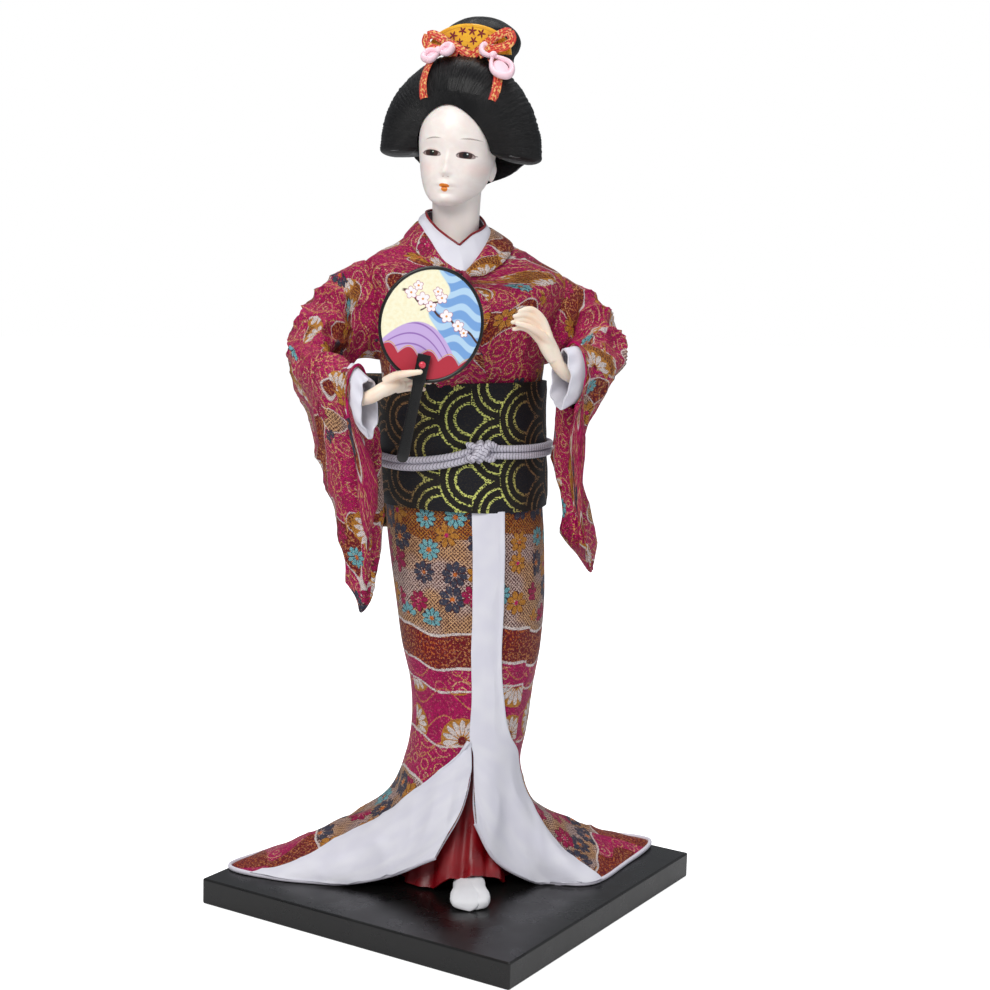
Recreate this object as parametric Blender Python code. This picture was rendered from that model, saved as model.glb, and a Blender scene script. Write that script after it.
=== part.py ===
"""A geisha doll on a square board: a stuffed body on a dowel, dressed in a brocade kimono.

Units are metres. +Z is up, the doll faces -Y, and the origin is the bottom centre of the board.
Heights of the doll are counted from the top of the board, and angles round it from the front.
"""

import math

import bmesh
import bpy
import numpy as np
from mathutils import Matrix, Vector

# Board and stand
BOARD_SIDE = 0.124
BOARD_THICK = 0.009
BOARD_BEVEL = 0.0006
DOWEL_RADIUS = 0.003
DOWEL_SEAT = 0.006
DOWEL_REACH = 0.110
GAP = 0.0003

# Cloth and layers
CLOTH = 0.0008
LINING = 0.0006
OBI_THICK = 0.0016
EASE = 0.0006
CORD_RADIUS = 0.00095
PIPING_RADIUS = 0.0004

# Heights of the clothes above the board
CORE_BOTTOM = 0.036
UNDERSKIRT_TOP = 0.098
OBI_BOTTOM = 0.1300
OBI_TOP = 0.1725
WAIST_SEAM = 0.1415
KNEE = 0.051
CORE_TOP = 0.210
SHOULDER = 0.203

# The dressed figure: height, half width, half depth, centre x, centre y
FIGURE = [
    (0.036, 0.0190, 0.0195, 0.0036, -0.0005),
    (0.051, 0.0202, 0.0203, 0.0044, -0.0005),
    (0.066, 0.0213, 0.0206, 0.0050, -0.0003),
    (0.081, 0.0243, 0.0209, 0.0045, 0.0000),
    (0.096, 0.0259, 0.0214, 0.0038, 0.0000),
    (0.109, 0.0266, 0.0215, 0.0027, 0.0000),
    (0.130, 0.0272, 0.0214, 0.0010, 0.0000),
    (0.151, 0.0271, 0.0210, -0.0003, 0.0000),
    (0.172, 0.0275, 0.0210, -0.0009, 0.0000),
    (0.190, 0.0310, 0.0218, -0.0010, -0.0006),
    (0.203, 0.0335, 0.0200, -0.0012, -0.0004),
]

# The front edge of the skirt, as an angle at a height, and the slit between its two panels
EDGE_ANGLE = [(0.036, -7.0), (0.062, -8.0), (0.131, -1.3), (0.150, -1.3)]
SLIT = 1.6

# The train below the knee: angle of the rib, then its points outwards to the hem
TRAIN = [
    (-7.0, (0.0019, -0.0215, 0.041), (0.0020, -0.0236, 0.032), (0.0021, -0.0248, 0.0275), (0.0023, -0.0255, 0.0235)),
    (8.0, (0.0065, -0.0216, 0.040), (0.0068, -0.0231, 0.030), (0.0076, -0.0243, 0.020), (0.0090, -0.0252, 0.0110)),
    (28.0, (0.0135, -0.0188, 0.039), (0.0150, -0.0206, 0.027), (0.0195, -0.0222, 0.013), (0.0260, -0.0234, 0.0004)),
    (55.0, (0.0195, -0.0126, 0.039), (0.0222, -0.0142, 0.027), (0.0315, -0.0190, 0.012), (0.0457, -0.0253, 0.0004)),
    (72.0, (0.0220, -0.0066, 0.039), (0.0256, -0.0068, 0.027), (0.0385, -0.0086, 0.013), (0.0602, -0.0102, 0.0004)),
    (90.0, (0.0225, 0.0008, 0.039), (0.0268, 0.0035, 0.0250), (0.0450, 0.0085, 0.0112), (0.0762, 0.0108, 0.0012)),
    (106.0, (0.0222, 0.0070, 0.038), (0.0265, 0.0120, 0.024), (0.0415, 0.0188, 0.0105), (0.0630, 0.0225, 0.0004)),
    (135.0, (0.0185, 0.0165, 0.038), (0.0215, 0.0218, 0.023), (0.0315, 0.0280, 0.010), (0.0455, 0.0345, 0.0004)),
    (180.0, (0.0042, 0.0222, 0.038), (0.0032, 0.0275, 0.023), (0.0022, 0.0350, 0.010), (0.0010, 0.0460, 0.0004)),
    (225.0, (-0.0115, 0.0165, 0.038), (-0.0160, 0.0218, 0.023), (-0.0270, 0.0280, 0.010), (-0.0420, 0.0345, 0.0004)),
    (254.0, (-0.0168, 0.0070, 0.038), (-0.0218, 0.0120, 0.0245), (-0.0400, 0.0188, 0.0110), (-0.0630, 0.0225, 0.0004)),
    (270.0, (-0.0180, 0.0000, 0.038), (-0.0218, 0.0035, 0.0262), (-0.0425, 0.0080, 0.0148), (-0.0776, 0.0088, 0.0006)),
    (288.0, (-0.0170, -0.0070, 0.037), (-0.0220, -0.0075, 0.0250), (-0.0390, -0.0068, 0.0110), (-0.0640, -0.0050, 0.0004)),
    (305.0, (-0.0145, -0.0132, 0.037), (-0.0190, -0.0146, 0.0255), (-0.0310, -0.0150, 0.0115), (-0.0470, -0.0126, 0.0004)),
    (330.0, (-0.0075, -0.0196, 0.038), (-0.0110, -0.0215, 0.0275), (-0.0170, -0.0226, 0.0155), (-0.0268, -0.0210, 0.0051)),
    (352.0, (0.0008, -0.0222, 0.041), (-0.0023, -0.0250, 0.0303), (-0.0080, -0.0270, 0.0207), (-0.0121, -0.0280, 0.0132)),
]
TRAIN_FLOOR = 0.0004
SKIRT_ROWS = (0.1412, 0.130, 0.109, 0.096, 0.081, 0.066)
TRAIN_ROWS = 7
LAPEL_COLUMNS = 8
RING_SIDES = 28
COLUMNS_PER_RIB = 2

# Outline of the white lapels on the skirt: row along a column from waist 0 to hem 1, and angle
BAND_EDGE = [(0.0, 13.5), (0.22, 13.0), (0.40, 17.0), (0.475, 25.5), (0.558, 46.0), (0.62, 57.0), (0.74, 60.0), (1.0, 57.0)]
LAPEL_EDGE = [(0.50, 349.0), (0.56, 337.0), (0.617, 316.0), (0.683, 292.0), (0.79, 282.0), (0.92, 284.0), (1.0, 281.0)]
BAND_TOP = 0.08
LAPEL_TOP = 0.50

# Red underskirt: height, half width, half depth, centre x, centre y
UNDERSKIRT_FLARE = [
    (0.0004, 0.0205, 0.0258, -0.0010, -0.0032),
    (0.010, 0.0190, 0.0236, 0.0000, -0.0018),
    (0.022, 0.0172, 0.0200, 0.0020, -0.0004),
]
HEM_LIFT = 0.0062
HEM_LIFT_SPREAD = 32.0
HEM_LIFT_ANGLE = 4.0

# Foot
FOOT_TIP = (-0.0032, -0.0445)
FOOT_HEEL = (0.0012, -0.0215)
FOOT_HALF_WIDTH = 0.0070
FOOT_HEIGHT = 0.0052
TOE_CLEFT = 0.0009

# Sash bow and knot
BOW_WIDTH = 0.075
BOW_HEIGHT = 0.054
BOW_DEPTH = 0.012
BOW_MIDDLE = 0.144
KNOT_ANGLE = 1.5
CORD_LINE = [(0.0, 0.1506), (25.0, 0.1500), (90.0, 0.1498), (180.0, 0.1480), (270.0, 0.1462), (325.0, 0.1460), (345.0, 0.1478), (362.0, 0.1506)]
KNOT_HALF = (0.0048, 0.0022, 0.0034)
STRAND_PITCH = 0.0024
OBI_REACH = 0.0271

# Neckline of the bodice and the inner edge of the collar, from the front round by +X
NECKLINE = [
    (-0.0056, -0.0213, 0.2082),
    (0.0005, -0.0160, 0.2146),
    (0.0048, -0.0090, 0.2196),
    (0.0066, -0.0010, 0.2227),
    (0.0050, 0.0090, 0.2240),
    (-0.0040, 0.0138, 0.2240),
    (-0.0136, 0.0100, 0.2250),
    (-0.0166, -0.0008, 0.2248),
    (-0.0150, -0.0100, 0.2198),
    (-0.0118, -0.0172, 0.2128),
]
COLLAR = [
    (-0.0062, -0.0156, 0.2174),
    (-0.0014, -0.0115, 0.2208),
    (0.0030, -0.0068, 0.2226),
    (0.0056, -0.0008, 0.2246),
    (0.0036, 0.0075, 0.2280),
    (-0.0040, 0.0112, 0.2290),
    (-0.0120, 0.0082, 0.2285),
    (-0.0147, -0.0008, 0.2268),
    (-0.0128, -0.0080, 0.2230),
    (-0.0100, -0.0128, 0.2202),
]
ARMHOLE_RISE = (0.0085, 0.0050)
SHOULDER_LINE = [(0.0, -0.0040, -0.0214, 0.2058), (90.0, 0.0185, 0.0, 0.2158),
                 (180.0, -0.0030, 0.0172, 0.2150), (270.0, -0.0250, 0.0, 0.2166)]

# Sleeves, one row per ring: arm axis and half width, height above it, then two points down the
# hanging part, each with its half width
LEFT_SLEEVE = [
    ((-0.0355, 0.0010, 0.1950), 0.0090, 0.0165, (-0.0355, 0.0005, 0.1870), 0.0085, (-0.0355, 0.0000, 0.1790), 0.0060),
    ((-0.0425, 0.0000, 0.1945), 0.0090, 0.0140, (-0.0428, -0.0010, 0.1850), 0.0086, (-0.0430, -0.0020, 0.1740), 0.0066),
    ((-0.0490, -0.0040, 0.1880), 0.0094, 0.0130, (-0.0495, -0.0050, 0.1760), 0.0086, (-0.0490, -0.0060, 0.1620), 0.0062),
    ((-0.0530, -0.0120, 0.1800), 0.0080, 0.0100, (-0.0515, -0.0115, 0.1650), 0.0066, (-0.0480, -0.0110, 0.1500), 0.0052),
    ((-0.0515, -0.0200, 0.1760), 0.0072, 0.0082, (-0.0455, -0.0175, 0.1500), 0.0060, (-0.0425, -0.0150, 0.1230), 0.0058),
    ((-0.0470, -0.0262, 0.1735), 0.0068, 0.0075, (-0.0385, -0.0210, 0.1400), 0.0062, (-0.0368, -0.0185, 0.0955), 0.0050),
    ((-0.0440, -0.0290, 0.1715), 0.0064, 0.0075, (-0.0340, -0.0235, 0.1400), 0.0055, (-0.0345, -0.0200, 0.1050), 0.0050),
]
LEFT_MOUTH = ((-0.0415, -0.0315, 0.1690), 0.0062, 0.0108)
RIGHT_SLEEVE = [
    ((0.0333, 0.0010, 0.1940), 0.0090, 0.0140, (0.0333, 0.0005, 0.1860), 0.0085, (0.0333, 0.0000, 0.1780), 0.0060),
    ((0.0400, 0.0000, 0.1925), 0.0092, 0.0128, (0.0400, -0.0010, 0.1830), 0.0086, (0.0390, -0.0020, 0.1740), 0.0060),
    ((0.0442, -0.0050, 0.1865), 0.0090, 0.0125, (0.0415, -0.0055, 0.1770), 0.0072, (0.0375, -0.0060, 0.1670), 0.0046),
    ((0.0440, -0.0130, 0.1810), 0.0076, 0.0098, (0.0390, -0.0128, 0.1680), 0.0058, (0.0335, -0.0125, 0.1520), 0.0040),
    ((0.0415, -0.0200, 0.1785), 0.0070, 0.0082, (0.0330, -0.0175, 0.1560), 0.0048, (0.0362, -0.0150, 0.1290), 0.0050),
    ((0.0376, -0.0245, 0.1780), 0.0066, 0.0080, (0.0312, -0.0205, 0.1480), 0.0052, (0.0410, -0.0165, 0.1095), 0.0066),
    ((0.0344, -0.0268, 0.1773), 0.0067, 0.0086, (0.0294, -0.0225, 0.1480), 0.0046, (0.0398, -0.0190, 0.1075), 0.0056),
]
RIGHT_MOUTH = ((0.0303, -0.0289, 0.1764), 0.0064, 0.0112)
SLEEVE_SIDES = 16
BLUNT = 0.7
CUFF_INSIDE = 0.0006
CUFF_OUTSIDE = 0.0058

# Armature wire and hands
WIRE_RADIUS = 0.0011
WIRE_PATH = [
    (-0.0416, -0.0318, 0.1702), (-0.0445, -0.0290, 0.1715), (-0.0520, -0.0200, 0.1760), (-0.0535, -0.0110, 0.1815),
    (-0.0480, -0.0030, 0.1895), (-0.0380, 0.0005, 0.1950), (-0.0200, 0.0010, 0.1925), (0.0000, 0.0010, 0.1895),
    (0.0200, 0.0010, 0.1915), (0.0360, 0.0005, 0.1940), (0.0445, -0.0035, 0.1880), (0.0470, -0.0120, 0.1815),
    (0.0430, -0.0200, 0.1785), (0.0370, -0.0255, 0.1775), (0.0322, -0.0281, 0.1772),
]
LEFT_ARM = [
    ((-0.0394, -0.0343, 0.1688), 0.0025, 0.0025),
    ((-0.0357, -0.0360, 0.1706), 0.0026, 0.0026),
    ((-0.0318, -0.0356, 0.1734), 0.0030, 0.0024),
    ((-0.0280, -0.0350, 0.1748), 0.0040, 0.0021),
    ((-0.0240, -0.0345, 0.1762), 0.0038, 0.0019),
    ((-0.0205, -0.0345, 0.1771), 0.0029, 0.0016),
    ((-0.0184, -0.0346, 0.1778), 0.0014, 0.0009),
]
LEFT_THUMB = [(-0.0318, -0.0358, 0.1752), (-0.0296, -0.0406, 0.1772), (-0.0270, -0.0437, 0.1782), (-0.0225, -0.0440, 0.1786)]
RIGHT_ARM = [
    ((0.0290, -0.0298, 0.1766), 0.0027, 0.0026),
    ((0.0254, -0.0313, 0.1788), 0.0029, 0.0027),
    ((0.0222, -0.0325, 0.1828), 0.0030, 0.0025),
    ((0.0188, -0.0338, 0.1880), 0.0038, 0.0022),
    ((0.0156, -0.0350, 0.1935), 0.0040, 0.0021),
    ((0.0123, -0.0362, 0.1965), 0.0035, 0.0020),
    ((0.0088, -0.0372, 0.1962), 0.0024, 0.0016),
    ((0.0066, -0.0376, 0.1954), 0.0012, 0.0010),
]
RIGHT_THUMB = [(0.0193, -0.0343, 0.1905), (0.0150, -0.0377, 0.1918), (0.0108, -0.0389, 0.1930), (0.0076, -0.0391, 0.1932)]
THUMB_RADIUS = 0.0013
HAND_SIDES = 12

# Fan
FAN_CENTRE = (-0.0197, -0.0396, 0.1928)
FAN_TURN = -12.0
FAN_TILT = 10.9
FAN_HALF_WIDTH = 0.0166
FAN_HALF_HEIGHT = 0.0185
FAN_LEAF = 0.0007
FAN_RIM = 0.0006
HANDLE_WIDTH = 0.0042
HANDLE_THICK = 0.0016
HANDLE_LENGTH = 0.0350
HANDLE_LAP = 0.0090
RIVET_RADIUS = 0.0011

# Head
HEAD_CENTRE = (-0.0044, -0.0005, 0.2473)
HEAD_TURN = -32.0
HEAD_LEAN = 2.3
HEAD = [
    (-0.0170, 0.0022, -0.0095, 0.0022, 0.0060),
    (-0.0158, 0.0050, -0.0080, 0.0048, 0.0110),
    (-0.0140, 0.0073, -0.0060, 0.0074, 0.0130),
    (-0.0115, 0.0094, -0.0030, 0.0108, 0.0118),
    (-0.0080, 0.0110, -0.0010, 0.0132, 0.0120),
    (-0.0040, 0.0121, 0.0000, 0.0138, 0.0122),
    (0.0000, 0.0127, 0.0000, 0.0136, 0.0128),
    (0.0050, 0.0130, 0.0000, 0.0140, 0.0132),
    (0.0100, 0.0124, 0.0000, 0.0134, 0.0130),
    (0.0150, 0.0104, 0.0000, 0.0112, 0.0112),
    (0.0190, 0.0072, 0.0000, 0.0076, 0.0078),
    (0.0212, 0.0034, 0.0000, 0.0036, 0.0036),
]
FACE_MARKS = [
    (0.0, -0.0066, 0.0017, 0.0022, 0.0030),
    (0.0, -0.0030, 0.0012, 0.0036, 0.0012),
    (0.0, -0.0112, 0.0026, 0.0014, 0.0008),
    (0.0, -0.0146, 0.0036, 0.0020, 0.0006),
    (-0.0054, 0.0002, 0.0030, 0.0018, -0.0010),
    (0.0054, 0.0002, 0.0030, 0.0018, -0.0010),
]
NECK_RADIUS = 0.0082
NECK_CENTRE = (-0.0042, 0.0008)
NECK_JOIN = 0.0055
PEG_RADIUS = 0.0028
PEG_LENGTH = 0.0120

# Hair, in the head's own frame: the round of the scalp, then the front roll
SCALP = (0.0142, 0.0152, 0.0206)
SCALP_CENTRE = 0.0026
ROLL_SPAN = 94.0
ROLL_THICK = [(-94.0, 0.0146), (-60.0, 0.0128), (-30.0, 0.0108), (0.0, 0.0094), (30.0, 0.0108), (60.0, 0.0128), (94.0, 0.0146)]
HAIRLINE = [(-94.0, -0.0046), (-60.0, -0.0085), (-30.0, -0.0108), (0.0, -0.0114), (30.0, -0.0108), (60.0, -0.0085), (94.0, -0.0046)]
ROLL_BACK = 0.0105
HAIR_BACK_DEPTH = 0.0245
HAIR_BACK_HALF = (0.0205, 0.0235)
HAIR_BACK_LOW = 0.50
WING_EDGE_THICK = 0.0010
WING_EDGE_INSET = (0.0006, 0.0036)
TOPKNOT_HALF = (0.0138, 0.0100, 0.0134)
TOPKNOT_SHIFT = (0.0020, 0.0110)
COMB_HALF_WIDTH = 0.0146
COMB_RISE = 0.0095
COMB_THICK = 0.0015
RIBBON_HALF_WIDTH = 3.6
RIBBON_ANGLES = {"hair_ribbon_left": (-33.0, -21.0), "hair_ribbon_right": (39.0, 29.0)}
BOW_PROFILE = [(-0.0054, 0.0007), (-0.0046, 0.0023), (-0.0027, 0.0029), (0.0, 0.0013), (0.0027, 0.0029), (0.0046, 0.0023), (0.0054, 0.0007)]
HAIR_BOWS = {"pink_bow_left": (-16.0, 0.28), "pink_bow_right": (27.0, 0.32)}

# Colour, roughness and metallic value of each finish
FINISHES = {
    "black_lacquer": ((0.012, 0.012, 0.013), 0.25, 0.0),
    "dowel_wood": ((0.55, 0.38, 0.22), 0.60, 0.0),
    "stuffing": ((0.75, 0.70, 0.60), 0.90, 0.0),
    "brocade": ((0.38, 0.01, 0.08), 0.55, 0.0),
    "white_satin": ((0.76, 0.74, 0.80), 0.45, 0.0),
    "red_satin": ((0.52, 0.005, 0.02), 0.45, 0.0),
    "obi_brocade": ((0.02, 0.02, 0.012), 0.50, 0.0),
    "silver_cord": ((0.48, 0.46, 0.50), 0.40, 0.0),
    "skin": ((0.88, 0.80, 0.76), 0.35, 0.0),
    "hair": ((0.006, 0.006, 0.007), 0.35, 0.0),
    "comb_yellow": ((0.85, 0.42, 0.04), 0.35, 0.0),
    "ribbon_red": ((0.60, 0.06, 0.02), 0.50, 0.0),
    "bow_pink": ((0.90, 0.50, 0.60), 0.50, 0.0),
    "fan_paper": ((0.80, 0.76, 0.55), 0.60, 0.0),
    "wire": ((0.45, 0.45, 0.45), 0.35, 1.0),
}


def finish(name):
    surface = bpy.data.materials.get(name)
    if surface is None:
        colour, roughness, metallic = FINISHES[name]
        surface = bpy.data.materials.new(name)
        surface.use_nodes = True
        shader = surface.node_tree.nodes["Principled BSDF"]
        shader.inputs["Base Color"].default_value = (*colour, 1.0)
        shader.inputs["Roughness"].default_value = roughness
        shader.inputs["Metallic"].default_value = metallic
    return surface


def add_mesh(name, points, faces, surface):
    """A mesh object whose faces all point outwards."""
    mesh = bpy.data.meshes.new(name)
    mesh.from_pydata([tuple(map(float, point)) for point in points], [], faces)
    work = bmesh.new()
    work.from_mesh(mesh)
    bmesh.ops.recalc_face_normals(work, faces=work.faces)
    work.to_mesh(mesh)
    work.free()
    mesh.materials.append(finish(surface))
    mesh.shade_smooth()
    mesh.set_sharp_from_angle(angle=math.radians(40))
    obj = bpy.data.objects.new(name, mesh)
    bpy.context.scene.collection.objects.link(obj)
    return obj


def spline(keys, values, places):
    """A smooth curve through one row of values at each key, read at the given places."""
    keys = np.asarray(keys, float)
    values = np.asarray(values, float).reshape(len(keys), -1)
    slopes = np.gradient(values, keys, axis=0)
    places = np.clip(np.asarray(places, float), keys[0], keys[-1])
    low = np.clip(np.searchsorted(keys, places, side="right") - 1, 0, len(keys) - 2)
    span = (keys[low + 1] - keys[low])[..., None]
    t = (places[..., None] - keys[low][..., None]) / span
    start = (1 + 2 * t) * (1 - t) ** 2 * values[low] + t * (1 - t) ** 2 * span * slopes[low]
    end = t * t * (3 - 2 * t) * values[low + 1] + t * t * (t - 1) * span * slopes[low + 1]
    return start + end


def table(rows, place):
    """The columns after the first of a table of rows, read at a place of the first column."""
    rows = np.asarray(rows, float)
    return spline(rows[:, 0], rows[:, 1:], np.asarray(place, float))


def closed_spline(points, count):
    """Count points round a smooth closed curve through the given ones."""
    points = np.asarray(points, float)
    wrapped = np.vstack([points[-2:], points, points[:3]])
    keys = np.arange(-2, len(points) + 3)
    return spline(keys, wrapped, np.arange(count) * len(points) / count)


def open_spline(points, count):
    points = np.asarray(points, float)
    return spline(np.arange(len(points)), points, np.linspace(0, len(points) - 1, count))


def stand(points):
    """Points whose heights are above the board, moved onto the board."""
    return np.asarray(points, float) + np.array([0.0, 0.0, BOARD_THICK])


def normals(grid, wrapped):
    """Unit normals of a grid, outwards where its columns run by +X and its rows run down."""
    if wrapped:
        padded = np.concatenate([grid[:, -1:], grid, grid[:, :1]], axis=1)
        across = padded[:, 2:] - padded[:, :-2]
    else:
        across = np.gradient(grid, axis=1)
    along = np.gradient(grid, axis=0)
    normal = np.cross(along, across)
    return normal / np.maximum(np.linalg.norm(normal, axis=2, keepdims=True), 1e-12)


def quads(rows, columns, wrapped_rows, wrapped_columns):
    faces = []
    for row in range(rows if wrapped_rows else rows - 1):
        for column in range(columns if wrapped_columns else columns - 1):
            below = (row + 1) % rows
            beside = (column + 1) % columns
            faces.append(
                (row * columns + column, row * columns + beside, below * columns + beside, below * columns + column)
            )
    return faces


def loft(name, rings, surface):
    """A solid through rings of points, closed by a fan at each end."""
    rings = np.asarray(rings, float)
    rows, columns = rings.shape[:2]
    points = [*rings.reshape(-1, 3), rings[0].mean(axis=0), rings[-1].mean(axis=0)]
    faces = quads(rows, columns, False, True)
    first, last = rows * columns, rows * columns + 1
    for column in range(columns):
        beside = (column + 1) % columns
        faces.append((first, beside, column))
        faces.append((last, (rows - 1) * columns + column, (rows - 1) * columns + beside))
    return add_mesh(name, points, faces, surface)


def tube_shell(name, outer, inner, surface):
    """A wall between two grids of rings, open at both ends."""
    rings = np.concatenate([outer, inner[::-1]])
    return add_mesh(name, rings.reshape(-1, 3), quads(len(rings), outer.shape[1], True, True), surface)


def sheet(name, outer, inner, surface):
    """A thick sheet between two open grids of points."""
    rows, columns = outer.shape[:2]
    points = np.concatenate([outer.reshape(-1, 3), inner.reshape(-1, 3)])
    faces = quads(rows, columns, False, False)
    under = rows * columns
    faces += [tuple(under + index for index in face[::-1]) for face in faces]
    border = [column for column in range(columns)]
    border += [row * columns + columns - 1 for row in range(1, rows)]
    border += [(rows - 1) * columns + column for column in range(columns - 2, -1, -1)]
    border += [row * columns for row in range(rows - 2, 0, -1)]
    for index, corner in enumerate(border):
        following = border[(index + 1) % len(border)]
        faces.append((corner, under + corner, under + following, following))
    return add_mesh(name, points, faces, surface)


def wire(name, points, radius, surface, closed=False):
    """A round wire along a smooth row of points."""
    curve = bpy.data.curves.new(name, "CURVE")
    curve.dimensions = "3D"
    curve.bevel_depth = radius
    curve.bevel_resolution = 2
    curve.use_fill_caps = True
    line = curve.splines.new("POLY")
    line.points.add(len(points) - 1)
    for point, place in zip(line.points, points):
        point.co = (*map(float, place), 1.0)
    line.use_cyclic_u = closed
    curve.materials.append(finish(surface))
    obj = bpy.data.objects.new(name, curve)
    bpy.context.scene.collection.objects.link(obj)
    return obj


def cutter(name, obj):
    """Marks an object as a helper that only cuts."""
    obj.name = name
    obj.hide_render = True
    obj.display_type = "WIRE"
    return obj


def boolean(target, tool, operation):
    change = target.modifiers.new(tool.name, "BOOLEAN")
    change.operation = operation
    change.object = tool
    change.solver = "EXACT"


def as_mesh(obj):
    """A mesh copy of a curve, in the curve's place."""
    graph = bpy.context.evaluated_depsgraph_get()
    mesh = bpy.data.meshes.new_from_object(obj.evaluated_get(graph))
    copy = bpy.data.objects.new(obj.name + "_mesh", mesh)
    bpy.context.scene.collection.objects.link(copy)
    bpy.data.objects.remove(obj)
    return copy


def cylinder_rings(centre, radius, bottom, top, sides):
    turn = np.linspace(0, 2 * np.pi, sides, endpoint=False)
    ring = np.stack([centre[0] + radius * np.cos(turn), centre[1] + radius * np.sin(turn)], axis=1)
    return [np.column_stack([ring, np.full(sides, height)]) for height in (bottom, top)]


def clear_scene():
    for obj in list(bpy.data.objects):
        bpy.data.objects.remove(obj)


def board():
    half = BOARD_SIDE / 2
    corners = [(-half, -half), (half, -half), (half, half), (-half, half)]
    points = [(x, y, z) for z in (0.0, BOARD_THICK) for x, y in corners]
    faces = [(0, 1, 2, 3), (4, 5, 6, 7), (0, 1, 5, 4), (1, 2, 6, 5), (2, 3, 7, 6), (3, 0, 4, 7)]
    base = add_mesh("base_board", points, faces, "black_lacquer")
    base.rotation_euler.z = math.radians(45)
    bevel = base.modifiers.new("edge", "BEVEL")
    bevel.width = BOARD_BEVEL
    bevel.segments = 2
    depth = BOARD_THICK - DOWEL_SEAT - GAP
    centre = figure(CORE_BOTTOM)[2:]
    hole = loft("hole", cylinder_rings(centre, DOWEL_RADIUS + GAP, depth, 2 * BOARD_THICK, 16), "dowel_wood")
    boolean(base, cutter("dowel_hole_in_board", hole), "DIFFERENCE")


def dowel():
    centre = figure(CORE_BOTTOM)[2:]
    bottom = BOARD_THICK - DOWEL_SEAT
    loft("support_dowel", cylinder_rings(centre, DOWEL_RADIUS, bottom, BOARD_THICK + DOWEL_REACH, 16), "dowel_wood")


def figure(height):
    """Half width, half depth and centre of the dressed figure at a height."""
    return table(FIGURE, height)


def figure_ring(height, offset, sides, start=0.0):
    """A ring round the figure, counted from the front by +X, that far outside the kimono."""
    half_width, half_depth, x, y = figure(height)
    turn = np.radians(start) + np.linspace(0, 2 * np.pi, sides, endpoint=False)
    return np.stack(
        [
            x + (half_width + offset) * np.sin(turn),
            y - (half_depth + offset) * np.cos(turn),
            np.full(sides, BOARD_THICK + height),
        ],
        axis=1,
    )


def skirt_point_rows(angle):
    """The points of one column of the skirt, from the waist to the hem."""
    rib_angles = [rib[0] for rib in TRAIN]
    low = np.array([rib[1:] for rib in TRAIN])
    train = stand(spline(rib_angles, low.reshape(len(TRAIN), -1), angle).reshape(-1, 3))
    share = (angle - TRAIN[0][0]) / (TRAIN[-1][0] - TRAIN[0][0])
    body = []
    for height in (*SKIRT_ROWS, KNEE):
        half_width, half_depth, x, y = figure(height)
        turn = math.radians(table(EDGE_ANGLE, height)[0] + share * (360.0 - SLIT))
        body.append((x + half_width * math.sin(turn), y - half_depth * math.cos(turn), BOARD_THICK + height))
    return np.array(body), train


def skirt_column(angle):
    body, train = skirt_point_rows(angle)
    points = np.concatenate([body, train])
    steps = np.linalg.norm(np.diff(points, axis=0), axis=1)
    keys = np.concatenate([[0.0], np.cumsum(steps)])
    knee = keys[len(SKIRT_ROWS)]
    places = np.concatenate([keys[: len(SKIRT_ROWS)], np.linspace(knee, keys[-1], TRAIN_ROWS)])
    column = spline(keys, points, places)
    column[:, 2] = np.maximum(column[:, 2], BOARD_THICK + TRAIN_FLOOR)
    return column


def skirt_angles():
    angles = [rib[0] for rib in TRAIN]
    steps = np.arange(len(angles) - 1)[:, None] + np.linspace(0, 1, COLUMNS_PER_RIB, endpoint=False)
    return np.append(np.interp(steps.ravel(), np.arange(len(angles)), angles), angles[-1])


def skirt_grid():
    return np.stack([skirt_column(angle) for angle in skirt_angles()], axis=1)


def skirt():
    outer = skirt_grid()
    inner = outer - CLOTH * normals(outer, False)
    inner[:, :, 2] = np.maximum(inner[:, :, 2], BOARD_THICK + GAP)
    sheet("kimono_skirt", outer, inner, "brocade")


def on_skirt(grid, row, angle):
    """The point of one row of the skirt at an angle, on the flat facets between its columns."""
    angles = skirt_angles()
    return [np.interp(angle, angles, grid[row, :, axis]) for axis in range(3)]


def skirt_patch(name, starts, ends, top):
    """A white lapel on the skirt, between two lines of angles that change from waist to hem."""
    skirt_points = skirt_grid()
    rows = len(skirt_points)
    grid = []
    for row in range(math.ceil(top * (rows - 1)), rows):
        low = table(starts, row / (rows - 1))[0]
        high = table(ends, row / (rows - 1))[0]
        grid.append([on_skirt(skirt_points, row, angle) for angle in np.linspace(low, high, LAPEL_COLUMNS)])
    grid = np.array(grid)
    grid[:, :, 2] = np.minimum(grid[:, :, 2], BOARD_THICK + OBI_BOTTOM - 2 * GAP)
    normal = normals(grid, False)
    low_face = grid + 2 * EASE * normal
    low_face[:, :, 2] = np.maximum(low_face[:, :, 2], BOARD_THICK + TRAIN_FLOOR)
    high_face = low_face + LINING * normal
    high_face[:, :, 2] = np.maximum(high_face[:, :, 2], BOARD_THICK + TRAIN_FLOOR)
    sheet(name, high_face, low_face, "white_satin")


def lapels():
    edge = TRAIN[0][0]
    skirt_patch("front_band", [(0.0, edge), (1.0, edge)], BAND_EDGE, BAND_TOP)
    far = TRAIN[-1][0]
    skirt_patch("left_lapel", LAPEL_EDGE, [(0.0, far), (1.0, far)], LAPEL_TOP)


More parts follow.
